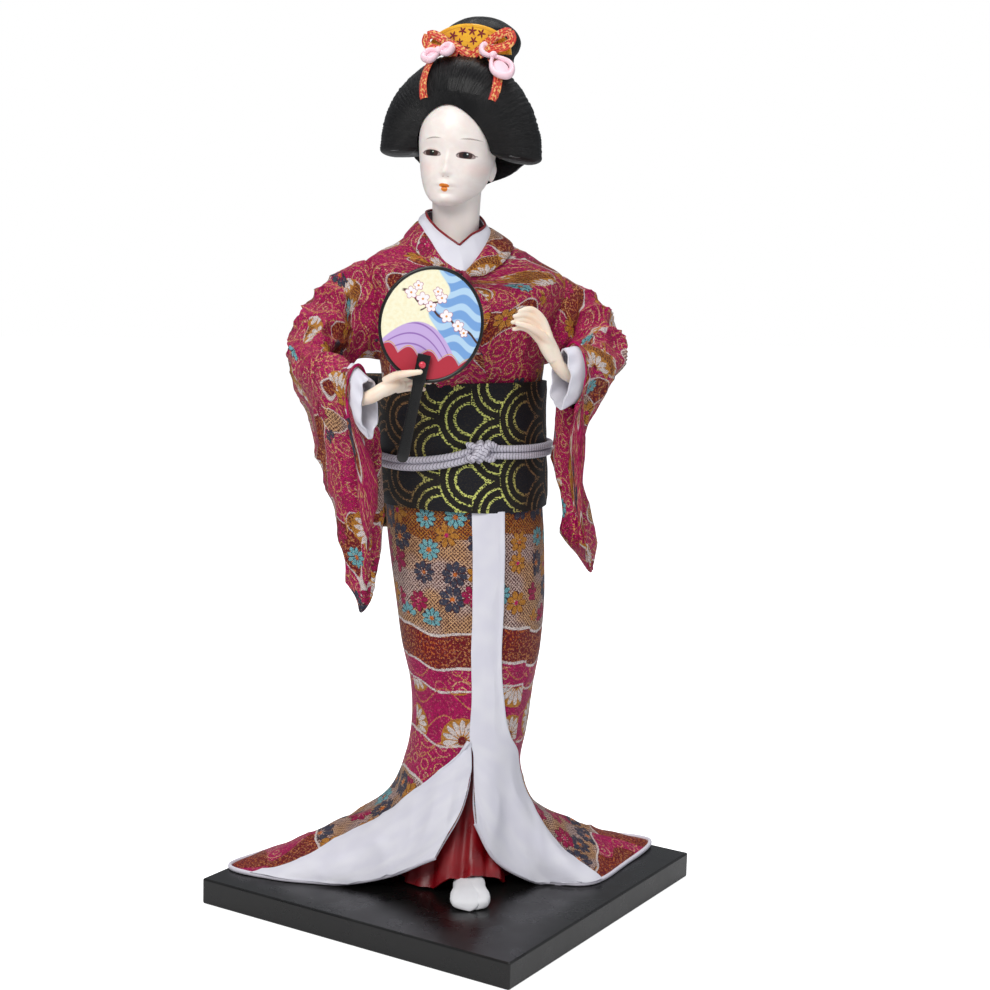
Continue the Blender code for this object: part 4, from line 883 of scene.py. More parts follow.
def folds(grid, scale, seed, stretch=(1.0, 1.0, 1.0)):
    """Creases with sharp crests, 0 to 1."""
    return 1 - np.abs(2 * ripple(grid, scale, seed, stretch)) ** 0.7


def smooth_step(value, low, high):
    share = np.clip((value - low) / (high - low), 0.0, 1.0)
    return share * share * (3 - 2 * share)


# Skirt

SKIRT_FINE_ROWS = 97
SKIRT_STEPS = 12
HEM_RISE = 0.0002
HEM_RADIUS = 0.0009
# Millimetres that the pattern moves on for each degree between two panels
PANEL_SHIFT = 0.47
PANEL_EDGES = (-7.0, 44.0, 84.0, 124.0, 164.0, 204.0, 244.0, 284.0, 352.0)


def fine_column(angle):
    """One column of the skirt: half of its rows above the knee and half below it."""
    body, train = skirt_point_rows(angle)
    points = np.concatenate([body, train])
    steps = np.linalg.norm(np.diff(points, axis=0), axis=1)
    keys = np.concatenate([[0.0], np.cumsum(steps)])
    knee = keys[len(SKIRT_ROWS)]
    coarse = np.concatenate([keys[: len(SKIRT_ROWS)], np.linspace(knee, keys[-1], TRAIN_ROWS)])
    places = np.interp(np.linspace(0, len(coarse) - 1, SKIRT_FINE_ROWS), np.arange(len(coarse)), coarse)
    column = spline(keys, points, places)
    column[:, 2] = np.maximum(column[:, 2], BOARD_TOP + TRAIN_FLOOR)
    return column


def fine_angles():
    angles = [rib[0] for rib in TRAIN]
    steps = np.arange(len(angles) - 1)[:, None] + np.linspace(0, 1, SKIRT_STEPS, endpoint=False)
    return np.append(np.interp(steps.ravel(), np.arange(len(angles)), angles), angles[-1])


def skirt_surface():
    """The skirt's right side with its folds, as rows from waist to hem."""
    angles = fine_angles()
    grid = np.stack([fine_column(angle) for angle in angles], axis=1)
    share = np.linspace(0, 1, SKIRT_FINE_ROWS)[:, None]
    turn = np.radians(angles)[None, :]
    away = smooth_step(share, 0.5, 0.85)
    soft = folds(grid, 0.012, 3.0, (1.0, 1.0, 3.5)) - 0.5
    train = np.sin(turn * 9 + 1.2 * np.sin(turn * 2)) * away * smooth_step(1 - share, -0.02, 0.25)
    push = 0.0009 * soft * (0.5 + 0.6 * away) + 0.0009 * train
    push = push * np.where(grid[:, :, 2] < BOARD_TOP + 0.002, 0.25, 1.0)
    grid = grid + push[..., None] * normals(grid, False)
    grid[:, :, 2] = np.maximum(grid[:, :, 2], BOARD_TOP + TRAIN_FLOOR)
    return angles, grid


def closed_tube(name, line, radius, sides, surface, sharp=60.0):
    """A round edge along a line that ends where it starts."""
    rings = tube_grid(np.vstack([line, line[:1]]), radius, sides)
    rings[-1] = rings[0]
    shape = Shape()
    shape.grid(rings, None, 0, wrapped=True)
    return shape.build(name, [surface], sharp)


def panel_corners(angles, grid):
    """Cloth coordinates of the skirt's sewn panels, from each one's middle line and down from the waist."""
    across = np.linalg.norm(np.diff(grid, axis=1), axis=2)
    along = np.concatenate([np.zeros((len(grid), 1)), np.cumsum(across, axis=1)], axis=1)
    down = np.linalg.norm(np.diff(grid, axis=0), axis=2)
    depth = np.concatenate([np.zeros((1, len(angles))), np.cumsum(down, axis=0)]) / MM
    corners = np.empty((len(grid) - 1, len(angles) - 1, 4, 2))
    for column in range(len(angles) - 1):
        middle = (angles[column] + angles[column + 1]) / 2
        panel = int(np.clip(np.searchsorted(PANEL_EDGES, middle) - 1, 0, len(PANEL_EDGES) - 2))
        centre = (PANEL_EDGES[panel] + PANEL_EDGES[panel + 1]) / 2
        at = np.array([np.interp(centre, angles, row) for row in along])
        left = (along[:, column] - at) / MM + centre * PANEL_SHIFT
        right = (along[:, column + 1] - at) / MM + centre * PANEL_SHIFT
        one = np.stack([left, depth[:, column]], axis=1)
        other = np.stack([right, depth[:, column + 1]], axis=1)
        corners[:, column] = np.stack([one[:-1], other[:-1], other[1:], one[1:]], axis=1)
    return corners


def build_skirt(brocade, lining):
    angles, grid = skirt_surface()
    piece = thick_cloth("skirt_cloth", grid, CLOTH, [brocade, lining], panel_corners(angles, grid))
    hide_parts("kimono_skirt")
    roll = tube("skirt_hem", grid[-1] + np.array([0.0, 0.0, HEM_RISE]), HEM_RADIUS, 10, lining, 0.8)
    for vertex in roll.data.vertices:
        vertex.co.z = max(vertex.co.z, BOARD_TOP + FLOOR_CLEARANCE)
    return angles, grid


LAPEL_LIFT = 0.0007


def lapel(name, node, angles, grid, starts, ends, top, columns, surface, puff, rolled_side, cover=0.0):
    """A white lining turned back over the skirt, between two lines of angles."""
    rows = len(grid)
    normal = normals(grid, False)
    first = math.ceil(top * (rows - 1))
    places = []
    for row in range(first, rows):
        low = table(starts, row / (rows - 1))[0]
        high = table(ends, row / (rows - 1))[0]
        line = []
        for share in np.linspace(0, 1, columns):
            angle = low + share * (high - low)
            point = np.array([np.interp(angle, angles, grid[row, :, axis]) for axis in range(3)])
            out = np.array([np.interp(angle, angles, normal[row, :, axis]) for axis in range(3)])
            swell = puff * math.sin(math.pi * share) ** 0.5
            near = share if rolled_side < 0 else 1 - share
            roll = 0.0007 * math.exp(-((near / 0.12) ** 2))
            line.append(point + (LAPEL_LIFT + swell + roll) * unit(out))
        places.append(line)
    surface_grid = np.array(places)
    aside = unit(surface_grid[:, 1] - surface_grid[:, 3])
    upper = 1 - smooth_step(np.linspace(0, 1, len(surface_grid)), 0.42, 0.56)
    near_edge = np.clip(1 - np.linspace(0, 1, columns) / 0.3, 0, 1)
    surface_grid = surface_grid + (cover * upper[:, None] * near_edge[None, :])[..., None] * aside[:, None]
    crease = folds(surface_grid, 0.011, 9.0, (0.8, 0.8, 2.6)) - 0.5
    surface_grid = surface_grid + (0.0006 * crease)[..., None] * normals(surface_grid, False)
    surface_grid[:, :, 2] = np.clip(surface_grid[:, :, 2], BOARD_TOP + 0.0012, BOARD_TOP + OBI_BOTTOM + 0.002)
    piece = thick_cloth(name, surface_grid, LINING, [surface, surface])
    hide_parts(node)
    return piece


def build_lapels(angles, grid, satin):
    edge = TRAIN[0][0]
    far = TRAIN[-1][0]
    band = lapel("front_band_cloth", "front_band", angles, grid, [(0.0, edge), (1.0, edge)], BAND_EDGE,
                 BAND_TOP, 40, satin, 0.0005, 1, 0.0015)
    side = lapel("left_lapel_cloth", "left_lapel", angles, grid, LAPEL_EDGE, [(0.0, far), (1.0, far)],
                 LAPEL_TOP, 40, satin, 0.0006, -1)


def build_underskirt(satin):
    sides = 168
    heights = (UNDERSKIRT_TOP, 0.081, 0.066, 0.051, 0.036)
    rings = [figure_ring(height, -CLOTH - 0.0006, sides) for height in heights]
    turn = circle(sides)
    away = (np.degrees(turn) - HEM_LIFT_ANGLE + 180) % 360 - 180
    lift = HEM_LIFT * np.exp(-((away / HEM_LIFT_SPREAD) ** 4))
    for height, half_width, half_depth, x, y in UNDERSKIRT_FLARE[::-1]:
        share = max(0.0, 1 - height / HEM_LIFT)
        rings.append(np.stack([x + half_width * np.sin(turn), y - half_depth * np.cos(turn),
                               BOARD_TOP + height + lift * share], axis=1))
    grid = resample(rings, 64)
    low = smooth_step(np.linspace(0, 1, len(grid))[:, None], 0.5, 1.0)
    pleat = 0.0011 * np.sin(turn * 11 + 0.8 * np.sin(3 * turn)) + 0.0004 * np.sin(turn * 23 + 1.0)
    grid = grid + (pleat * low)[..., None] * normals(grid, True)
    grid[:, :, 2] = np.maximum(grid[:, :, 2], BOARD_TOP + 0.0009)
    piece = thick_cloth("underskirt_cloth", grid, CLOTH * 0.8, [satin, satin], wrapped=True)
    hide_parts("red_underskirt")


# The foot at shares of its length from the heel: width and height against the largest
FOOT_PROFILE = [(0.0, 0.60, 0.86), (0.15, 0.76, 1.0), (0.45, 0.82, 1.0), (0.70, 0.96, 0.90),
                (0.88, 0.90, 0.70), (0.96, 0.70, 0.52), (1.0, 0.18, 0.16)]
# The two parts of the sock: middle and width against the half width, and reach against the length
TOES = [(-0.24, 0.74, 1.0), (0.66, 0.34, 0.96)]


def build_foot(satin):
    """A tabi sock: a big toe and the rest of the foot, parted by a cleft."""
    tip = np.array([*FOOT_TIP, 0.0])
    heel = np.array([*FOOT_HEEL, 0.0])
    aside = level_aside(tip - heel)
    turn = circle(40)
    arch = squared_off(np.sin(turn), 0.75)
    shape = Shape()
    for middle, width, reach in TOES:
        rings = []
        for share in np.linspace(0, 1, 36):
            open_up = smooth_step(share, 0.5, 0.8)
            wide, high = table(FOOT_PROFILE, share)
            across = FOOT_HALF_WIDTH * wide * np.cos(turn) * (width + (1 - width) * (1 - open_up) * 0.6)
            shift = FOOT_HALF_WIDTH * middle * (0.35 + 0.65 * open_up) * wide
            ring = heel + reach * share * (tip - heel) + (across + shift)[:, None] * aside
            ring[:, 2] = BOARD_TOP + GAP + FOOT_HEIGHT * high * (0.5 + 0.5 * arch)
            rings.append(ring)
        capped(shape, np.array(rings))
    piece = shape.build("tabi_sock", [satin])
    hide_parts("tabi_foot")


# Bodice, collar and sleeves

BODICE_SIDES = 132


def bodice_rings(sides):
    """Rings of the bodice from the sash up over the shoulders to the neckline."""
    heights = (WAIST_SEAM + 2 * GAP, 0.151, 0.162, 0.172, 0.181, 0.190, SHOULDER)
    rings = [figure_ring(height, 0.0, sides) for height in heights]
    turn = circle(sides)
    rings[-1][:, 2] += np.where(np.sin(turn) > 0, ARMHOLE_RISE[1], ARMHOLE_RISE[0]) * np.sin(turn) ** 2
    rings.append(shoulder_ring(sides))
    rings.append(stand(crossed_ring(NECKLINE, sides)))
    return rings


def build_bodice(brocade, lining):
    grid = resample(bodice_rings(BODICE_SIDES), 66)
    share = np.linspace(0, 1, len(grid))[:, None]
    middle = smooth_step(share, 0.30, 0.5) * smooth_step(1 - share, 0.03, 0.15)
    crease = folds(grid, 0.010, 5.0, (1.2, 1.2, 1.0)) - 0.5
    swell = ripple(grid, 0.016, 2.0)
    grid = grid - ((0.0010 * crease + 0.0008 * swell) * middle)[..., None] * normals(grid, True)
    corners = corner_table(flat_uv(grid, True) + np.array([40.0, -60.0]))
    piece = thick_cloth("bodice_cloth", grid, CLOTH, [brocade, lining], corners, wrapped=True,
                        inward=normals(grid, True))
    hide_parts("kimono_bodice")
    return piece, grid


def build_neck_bands(bodice, grid, brocade, lining):
    snap = Snap(bodice)
    for name, (way, lift, seed, tail) in NECK_BANDS.items():
        band, out = neck_band(snap, grid, way, lift, tail)
        corners = corner_table(flat_uv(band) + seed)
        piece = thick_cloth(name, band, NECK_BAND_THICK, [brocade, lining], corners, inward=-out)


class Snap:
    """Finds places on a built piece."""

    def __init__(self, piece):
        mesh = piece.data
        self.tree = BVHTree.FromPolygons([vertex.co.copy() for vertex in mesh.vertices],
                                         [tuple(face.vertices) for face in mesh.polygons])

    def front(self, x, z):
        return np.array(self.tree.ray_cast(Vector((x, -0.2, z)), Vector((0, 1, 0)))[0])

    def near(self, point, lift, outward):
        hit, normal, _, _ = self.tree.find_nearest(Vector(point))
        if normal.dot(Vector(outward)) < 0:
            normal.negate()
        return np.array(hit + normal * lift)


# Collar bands: way round the neck, lift, shift of the pattern, and the front's inner and outer edge points
NECK_BANDS = {
    "neck_band_under": (1, 0.0002, 12.0, [((-0.0030, 0.200), (-0.0145, 0.1975)),
                                          ((0.0000, 0.188), (-0.0110, 0.1860)),
                                          ((0.0040, 0.168), (-0.0060, 0.1680))]),
    "neck_band_over": (-1, 0.0008, 70.0, [((-0.0085, 0.200), (0.0035, 0.1975)),
                                          ((-0.0120, 0.188), (0.0000, 0.1870)),
                                          ((-0.0160, 0.168), (-0.0060, 0.1680))]),
}
NECK_BAND_ROWS = 5
NECK_BAND_STEP = 6
NECK_BAND_THICK = 0.0009


def neck_band(snap, grid, way, lift, tail):
    """The right side of a collar band: round the back of the neck and down one side of the front."""
    back = BODICE_SIDES // 2
    columns = [(back + way * step) % BODICE_SIDES for step in range(0, back + 1, NECK_BAND_STEP)]
    inner = [grid[-1, column] for column in columns]
    outer = [grid[-1 - NECK_BAND_ROWS, column] for column in columns]
    for (inner_x, inner_z), (outer_x, outer_z) in tail:
        inner.append(snap.front(inner_x, BOARD_TOP + inner_z))
        outer.append(snap.front(outer_x, BOARD_TOP + outer_z))
    centre = grid.reshape(-1, 3).mean(axis=0)
    rows = []
    for share in np.linspace(0, 1, 18):
        line = []
        for one, other in zip(open_spline(inner, 90), open_spline(outer, 90)):
            point = one + (other - one) * share
            if share == 0.0:
                line.append(one + 0.35 * lift * unit(point - centre))
            else:
                rise = lift + 0.0006 * math.sin(math.pi * share) ** 0.4
                line.append(snap.near(point, rise, point - centre))
        rows.append(line)
    band = np.array(rows)
    for _ in range(2):
        band[1:-1, 1:-1] = (band[1:-1, 1:-1] * 2 + band[:-2, 1:-1] + band[2:, 1:-1] + band[1:-1, :-2]
                            + band[1:-1, 2:]) / 6
    return band, outward_normals(band, False, centre)


def crossed_ring(points, count):
    """A smooth ring whose first point is a sharp corner, as where a collar crosses."""
    points = np.asarray(points, float)
    ring = closed_spline(points, count)
    straight = np.vstack([points, points[:1]])
    places = np.arange(count) * len(points) / count
    away = np.minimum(places, len(points) - places)
    share = smooth_step(away, 0.4, 1.6)[:, None]
    lines = np.stack([np.interp(places, np.arange(len(straight)), straight[:, axis]) for axis in range(3)],
                     axis=1)
    return lines + (ring - lines) * share


def build_collar(satin, piping):
    """The white under-collar and the thin red piping along its upper edge."""
    sides = 160
    low = stand(crossed_ring(NECKLINE, sides))
    high = stand(crossed_ring(COLLAR, sides))
    rise = unit(high - low)
    low = low - rise * 0.0012
    share = np.linspace(0, 1, 18)
    grid = np.array([low + (high - low) * place for place in share])
    out = outward_normals(grid, True, grid.mean(axis=(0, 1)))
    swell = 0.0007 * np.sin(math.pi * share[:, None]) + 0.0002 * ripple(grid, 0.006, 4.0)
    grid = grid + swell[..., None] * out
    piece = thick_cloth("collar_cloth", grid, LINING, [satin, satin], wrapped=True, inward=-out)
    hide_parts("white_collar")
    edge = closed_tube("collar_edge", grid[-1] + rise * 0.0003, PIPING_RADIUS, 10, piping)
    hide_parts("collar_piping")


def sleeve_rings(stations, mouth, sides):
    """Rings of a sleeve from the armhole to its mouth, each with its pouch hanging below the arm."""
    axes = np.array([station[0] for station in stations] + [mouth[0]])
    turn = np.radians(90) - circle(sides)
    up = np.maximum(np.sin(turn), 0.0)
    down = np.maximum(-np.sin(turn), 0.0)
    blunt = squared_off(np.cos(turn), np.where(down > 0, BLUNT, 1.0))
    rings = []
    for index, (axis, half_width, top, middle, middle_width, bottom, low_width) in enumerate(stations):
        aside = level_aside(axes[index + 1] - axes[max(index - 1, 0)])
        hang = table([(0.0, *axis, half_width), (0.5, *middle, middle_width), (1.0, *bottom, low_width)],
                     down)
        ring = hang[:, :3] + (blunt * hang[:, 3])[:, None] * aside
        ring[:, 2] += up * top
        rings.append(ring)
    centre, half_width, half_height = mouth
    ring = np.array(centre) + half_width * np.cos(turn)[:, None] * level_aside(axes[-1] - axes[-2])
    ring[:, 2] += half_height * np.sin(turn)
    rings.append(ring)
    return stand(rings)


def hanging_corners(grid, seed):
    """Cloth coordinates of a sleeve, true to its girth at every place, with the join under the arm."""
    rows, columns = grid.shape[:2]
    closed = np.concatenate([grid, grid[:, :1]], axis=1)
    steps = np.linalg.norm(np.diff(closed, axis=1), axis=2)
    around = np.concatenate([np.zeros((rows, 1)), np.cumsum(steps, axis=1)], axis=1) / MM
    down = np.linalg.norm(np.diff(grid, axis=0), axis=2).mean(axis=1)
    along = np.concatenate([[0.0], np.cumsum(down)])[:, None] / MM + np.zeros_like(around)
    corners = corner_table(np.stack([along + seed * 9, around + seed * 5], axis=2))
    girth = around[:, -1:]
    half = columns // 2
    corners[:, half:, :2, 1] -= girth[:-1, :, None]
    corners[:, half:, 2:, 1] -= girth[1:, :, None]
    return corners


SLEEVE_SIDES = 96
SLEEVE_SEAT = 0.0060
CUFF_START = -0.0030


def sleeve_surface(side, stations, mouth, seed):
    """The right side of a sleeve with its crumples and long folds, and its outward normals."""
    rings = sleeve_rings(stations, mouth, SLEEVE_SIDES)
    inward = np.array([SLEEVE_SEAT if side == "left" else -SLEEVE_SEAT, 0.0, -0.0020])
    start = rings[0].mean(axis=0)
    grid = resample([(rings[0] - start) * 0.90 + start + inward, *rings], SLEEVE_SIDES)
    normal = outward_normals(grid, True, grid.mean(axis=1, keepdims=True))
    share = np.linspace(0, 1, len(grid))[:, None]
    low = smooth_step(-np.cos(circle(SLEEVE_SIDES)), -0.2, 0.6) * np.ones_like(share)
    elbow = np.exp(-(((share - 0.42) / 0.20) ** 2)) * (1 - low)
    crumple = folds(grid, 0.0125, seed, (1.0, 1.0, 0.7)) + 0.25 * folds(grid, 0.0050, seed + 2) - 0.68
    long_folds = folds(grid, 0.0085, seed + 4, (1.0, 1.0, 4.0)) - 0.5
    ends = smooth_step(share, 0.0, 0.12) * smooth_step(1 - share, 0.0, 0.08)
    push = 0.0027 * crumple * (0.50 + elbow) * (1 - 0.6 * low) + 0.0024 * long_folds * low
    grid = grid + (push * ends)[..., None] * normal
    if side == "right":
        depth = grid[:, :, 2] - grid[:, :, 2].min()
        pouch = grid[depth < 0.020].mean(axis=0)
        widen = 0.75 * np.exp(-(((depth - 0.006) / 0.011) ** 2))
        grid[:, :, :2] += (grid[:, :, :2] - pouch[:2]) * widen[..., None]
    return grid, normal


def build_cuff(side, stations, mouth, satin, seed):
    """The white cuff that shows a little way out of a sleeve's mouth."""
    centre, half_width, half_height = np.array(mouth[0]), mouth[1] - 2 * CLOTH, mouth[2] - 2 * CLOTH
    ahead = unit(centre - np.array(stations[-1][0]))
    aside = level_aside(ahead)
    around = np.radians(90) - circle(SLEEVE_SIDES)
    rings = []
    for place in np.linspace(CUFF_START, CUFF_OUTSIDE, 22):
        open_up = smooth_step(place, 0.0, CUFF_OUTSIDE)
        wave = (0.0005 * np.sin(around * 5 + seed) + 0.0003 * np.sin(around * 9)) * open_up
        reach = place * (1 - 0.10 * np.sin(around))
        ring = centre + reach[:, None] * ahead + ((half_width + wave) * np.cos(around))[:, None] * aside
        ring[:, 2] += (half_height + wave) * np.sin(around)
        rings.append(ring)
    cuff = stand(rings)
    out = outward_normals(cuff, True, cuff.mean(axis=1, keepdims=True))
    piece = thick_cloth(f"cuff_{side}_cloth", cuff, LINING, [satin, satin], wrapped=True, inward=-out)
    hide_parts(f"white_cuff_{side}")
    return piece


def build_sleeve(side, stations, mouth, brocade, satin, seed):
    """A sleeve of brocade inside and out, with its cuff."""
    grid, normal = sleeve_surface(side, stations, mouth, seed)
    piece = thick_cloth(f"sleeve_{side}_cloth", grid, CLOTH, [brocade, brocade],
                        hanging_corners(grid, seed), wrapped=True, inward=-normal)
    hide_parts(f"kimono_sleeve_{side}")
    cuff = build_cuff(side, stations, mouth, satin, seed)


# Head, hair and hands

HEAD_SIDES = 160
HEAD_ROWS = 150

# Soft swellings of the face: x, z, half width, half height, rise, in millimetres of the head's own frame
FACE_SHAPES = [
    (1.6, -2.6, 1.3, 3.4, 1.00),
    (1.6, -5.9, 1.30, 1.25, 1.60),
    (0.55, -6.6, 0.8, 0.8, 0.40),
    (2.65, -6.6, 0.8, 0.8, 0.40),
    (1.6, -9.8, 3.2, 1.0, 0.75),
    (0.9, -10.1, 0.9, 0.55, 0.25),
    (2.3, -10.1, 0.9, 0.55, 0.25),
    (1.6, -11.6, 1.9, 0.70, 0.65),
    (1.6, -10.85, 2.6, 0.26, -0.34),
    (1.6, -13.2, 2.2, 0.7, -0.35),
    (1.5, -15.0, 3.0, 1.8, 0.95),
    (-4.3, 0.2, 3.6, 1.9, -0.85),
    (7.9, 0.2, 3.6, 1.9, -0.85),
    (-4.3, 0.0, 2.9, 1.15, 0.62),
    (8.0, -0.1, 2.9, 1.15, 0.62),
    (-4.0, 4.6, 3.4, 1.2, 0.35),
    (8.2, 4.6, 3.4, 1.2, 0.35),
    (-5.6, -6.2, 3.2, 3.4, 0.55),
    (9.4, -6.2, 3.2, 3.4, 0.55),
]


def head_surface():
    turn = circle(HEAD_SIDES)
    level = np.linspace(0, np.pi, HEAD_ROWS)
    low, high = HEAD[0][0], HEAD[-1][0]
    heights = (low + high) / 2 - (high - low) / 2 * np.cos(level)
    rings = []
    for height in heights:
        half_width, middle, front, back = table(HEAD, height)
        x = half_width * np.sin(turn)
        facing = np.cos(turn) > 0
        y = middle - np.where(facing, front, back) * np.cos(turn)
        for mark_x, mark_z, wide, tall, rise in FACE_SHAPES:
            near = np.exp(-(((x / MM - mark_x) / wide) ** 2) - ((height / MM - mark_z) / tall) ** 2)
            y = y - np.where(facing, rise * MM * near * np.clip(np.cos(turn) * 3, 0, 1), 0.0)
        rings.append(np.stack([x, y, np.full(HEAD_SIDES, height)], axis=1))
    return np.array(rings)


# Height above the core's top and radius of the neck
NECK_RINGS = [(-0.004, 0.0088), (0.004, 0.0083), (0.012, 0.0078), (0.020, 0.0080), (0.030, 0.0086)]
EAR_PLACE = (0.0097, 0.0028, -0.0043)
# Height on the face's paint, in millimetres, that is clear of every mark
UNPAINTED = 200.0


def plain_corners(rows, sides):
    """Cloth coordinates of skin that has no painted marks."""
    return np.tile(np.array([0.0, UNPAINTED]), (rows - 1, sides, 4, 1))


def add_neck(shape):
    turn = circle(64)
    rings = [np.stack([NECK_CENTRE[0] + radius * np.cos(turn), NECK_CENTRE[1] + radius * np.sin(turn),
                       np.full(64, CORE_TOP + rise)], axis=1) for rise, radius in NECK_RINGS]
    capped(shape, resample(stand(rings), 24), plain_corners(24, 64))


def add_ear(shape):
    """The one ear that shows below the hair."""
    turn = circle(32)
    rings = []
    for share in np.linspace(0, 1, 20):
        size = math.sin(math.pi * min(0.97, max(0.03, share))) ** 0.6
        rim = 0.82 + 0.18 * abs(2 * share - 1)
        rings.append(np.stack([np.full(32, 0.0028 * share),
                               0.0022 * size * rim * np.cos(turn) + 0.0012 * share,
                               0.0040 * size * np.sin(turn)], axis=1))
    capped(shape, in_head(np.array(EAR_PLACE) + np.array(rings)), plain_corners(20, 32))


def build_head(skin):
    local = head_surface()
    uv = np.stack([local[:, :, 0], local[:, :, 2]], axis=2) / MM
    uv[:, np.cos(circle(HEAD_SIDES)) < 0.05, 1] += UNPAINTED
    shape = Shape()
    capped(shape, in_head(local), closed_corners(uv))
    add_neck(shape)
    add_ear(shape)
    piece = shape.build("face", [skin], 75.0)
    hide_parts("head")


def lock_uv(rows, columns, width, length):
    u, v = np.meshgrid(np.linspace(0, width, columns), np.linspace(0, length, rows))
    return corner_table(np.stack([u, v], axis=2))


def strand_relief(turn, count, seed):
    """Uneven strands round a knot of hair, about -1 to 1."""
    return np.array([noise.noise(Vector((math.cos(t) * count, math.sin(t) * count, seed))) for t in turn])


def domed_end(ring, neighbour):
    """Rings that round off the end of a roll."""
    middle = ring.mean(axis=0)
    out = unit(middle - neighbour.mean(axis=0))
    return [middle + out * 0.0032 * share + (ring - middle) * math.sqrt(1 - share * share)
            for share in (0.2, 0.4, 0.6, 0.78, 0.9, 0.97)]


def build_hair_roll(hair):
    """The roll round the face with its combed strands."""
    rings = []
    for angle in np.linspace(-ROLL_SPAN, ROLL_SPAN, 330):
        strand = noise.noise(Vector((angle * 0.55, 0.0, 1.0)))
        strand += 0.6 * noise.noise(Vector((angle * 1.6, 3.0, 0.0)))
        ring = []
        for share in np.linspace(0.02, 0.98, 56):
            lift = 0.00030 * strand + 0.00020 * noise.noise(Vector((angle * 0.12, share * 3, 7.0)))
            lift += 0.0005 * noise.noise(Vector((angle * 0.03, share * 1.4, 2.0)))
            ring.append(roll_point(angle, share, lift))
        turn = math.radians(angle)
        for y in np.linspace(ROLL_BACK, table(HAIRLINE, angle)[0], 16):
            radius = scalp_radius(turn, y) - 0.0006
            ring.append((radius * math.sin(turn), y, SCALP_CENTRE + radius * math.cos(turn)))
        rings.append(np.array(ring))
    ends = domed_end(rings[0], rings[2])[::-1], domed_end(rings[-1], rings[-3])
    rings = np.array([*ends[0], *rings, *ends[1]])
    shape = Shape()
    capped(shape, in_head(rings), lock_uv(len(rings), rings.shape[1] + 1, 30.0, 90.0))
    piece = shape.build("hair_roll_strands", [hair], 80.0)
    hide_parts("hair_roll")


def build_hair_back(hair):
    """The back of the head, flatter towards the neck."""
    sides = 200
    rim = ROLL_BACK + GAP
    turn = circle(sides)
    strand = strand_relief(turn, 14, 5.0)
    low = 1 - (1 - HAIR_BACK_LOW) * smooth_step(-np.cos(turn), -0.15, 0.5)
    rings = []
    for y in (SCALP[1] * 0.995, SCALP[1] * 0.95, rim):
        spread = math.sqrt(1 - (y / SCALP[1]) ** 2)
        rings.append(np.stack([SCALP[0] * spread * np.sin(turn), np.full(sides, y),
                               SCALP_CENTRE + SCALP[2] * spread * np.cos(turn)], axis=1))
    for rise in np.linspace(0, 86, 34):
        level = math.radians(rise)
        y = rim + (HAIR_BACK_DEPTH - rim) * math.sin(level)
        size = math.cos(level) * (1 + 0.016 * strand * math.sin(math.radians(min(90, rise * 2))))
        rings.append(np.stack([HAIR_BACK_HALF[0] * size * np.sin(turn), np.full(sides, y),
                               SCALP_CENTRE + HAIR_BACK_HALF[1] * size * low * np.cos(turn)], axis=1))
    shape = Shape()
    capped(shape, in_head(rings), lock_uv(len(rings), sides + 1, 120.0, 30.0)[..., ::-1])
    piece = shape.build("hair_back_strands", [hair], 80.0)
    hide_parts("hair_back")


# The knot on top: height and width at each step up its side, against its half height and half width
TOPKNOT_PROFILE = [(-1.15, 0.50), (-0.75, 0.70), (-0.35, 0.82), (0.0, 0.84), (0.18, 0.95), (0.42, 1.0),
                   (0.68, 0.86), (0.88, 0.55), (0.96, 0.30), (0.985, 0.10)]


def build_topknot(hair):
    base = crest_height() + GAP
    turn = circle(180)
    strand = strand_relief(turn, 11, 2.0)
    rings = []
    for share, size in open_spline(TOPKNOT_PROFILE, 44):
        grow = size * (1 + 0.014 * strand)
        dent = 1 - 0.05 * np.cos(2 * turn) * share
        rings.append(np.stack([TOPKNOT_SHIFT[0] + TOPKNOT_HALF[0] * grow * dent * np.cos(turn),
                               TOPKNOT_SHIFT[1] + TOPKNOT_HALF[1] * grow * np.sin(turn),
                               np.full(len(turn), base + TOPKNOT_HALF[2] * share)], axis=1))
    shape = Shape()
    capped(shape, in_head(rings), lock_uv(len(rings), len(turn) + 1, 100.0, 25.0)[..., ::-1])
    piece = shape.build("hair_topknot_strands", [hair], 80.0)
    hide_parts("hair_topknot")


def build_wing_edges(gloss):
    """The lacquered strip under each wing of the roll."""
    middle = sum(WING_EDGE_INSET) / 2
    half = (WING_EDGE_INSET[1] - WING_EDGE_INSET[0]) / 2
    for name, side in (("wing_edge_left", -1), ("wing_edge_right", 1)):
        angle = side * ROLL_SPAN
        turn = math.radians(angle)
        away = np.array([math.cos(turn) * side, 0.0, -math.sin(turn) * side])
        rings = []
        for share in np.linspace(0.12, 0.88, 34):
            size = math.sin(math.pi * min(0.96, max(0.04, (share - 0.10) / 0.80))) ** 0.35
            ring = []
            for place in circle(18):
                point = np.array(roll_point(angle, share, -(middle + half * math.cos(place) * size)))
                ring.append(point + (GAP + WING_EDGE_THICK * (0.5 + 0.5 * math.sin(place) * size)) * away)
            rings.append(ring)
        shape = Shape()
        capped(shape, in_head(rings))
        edge = shape.build(name + "_lacquer", [gloss], 70.0)
        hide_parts(name)


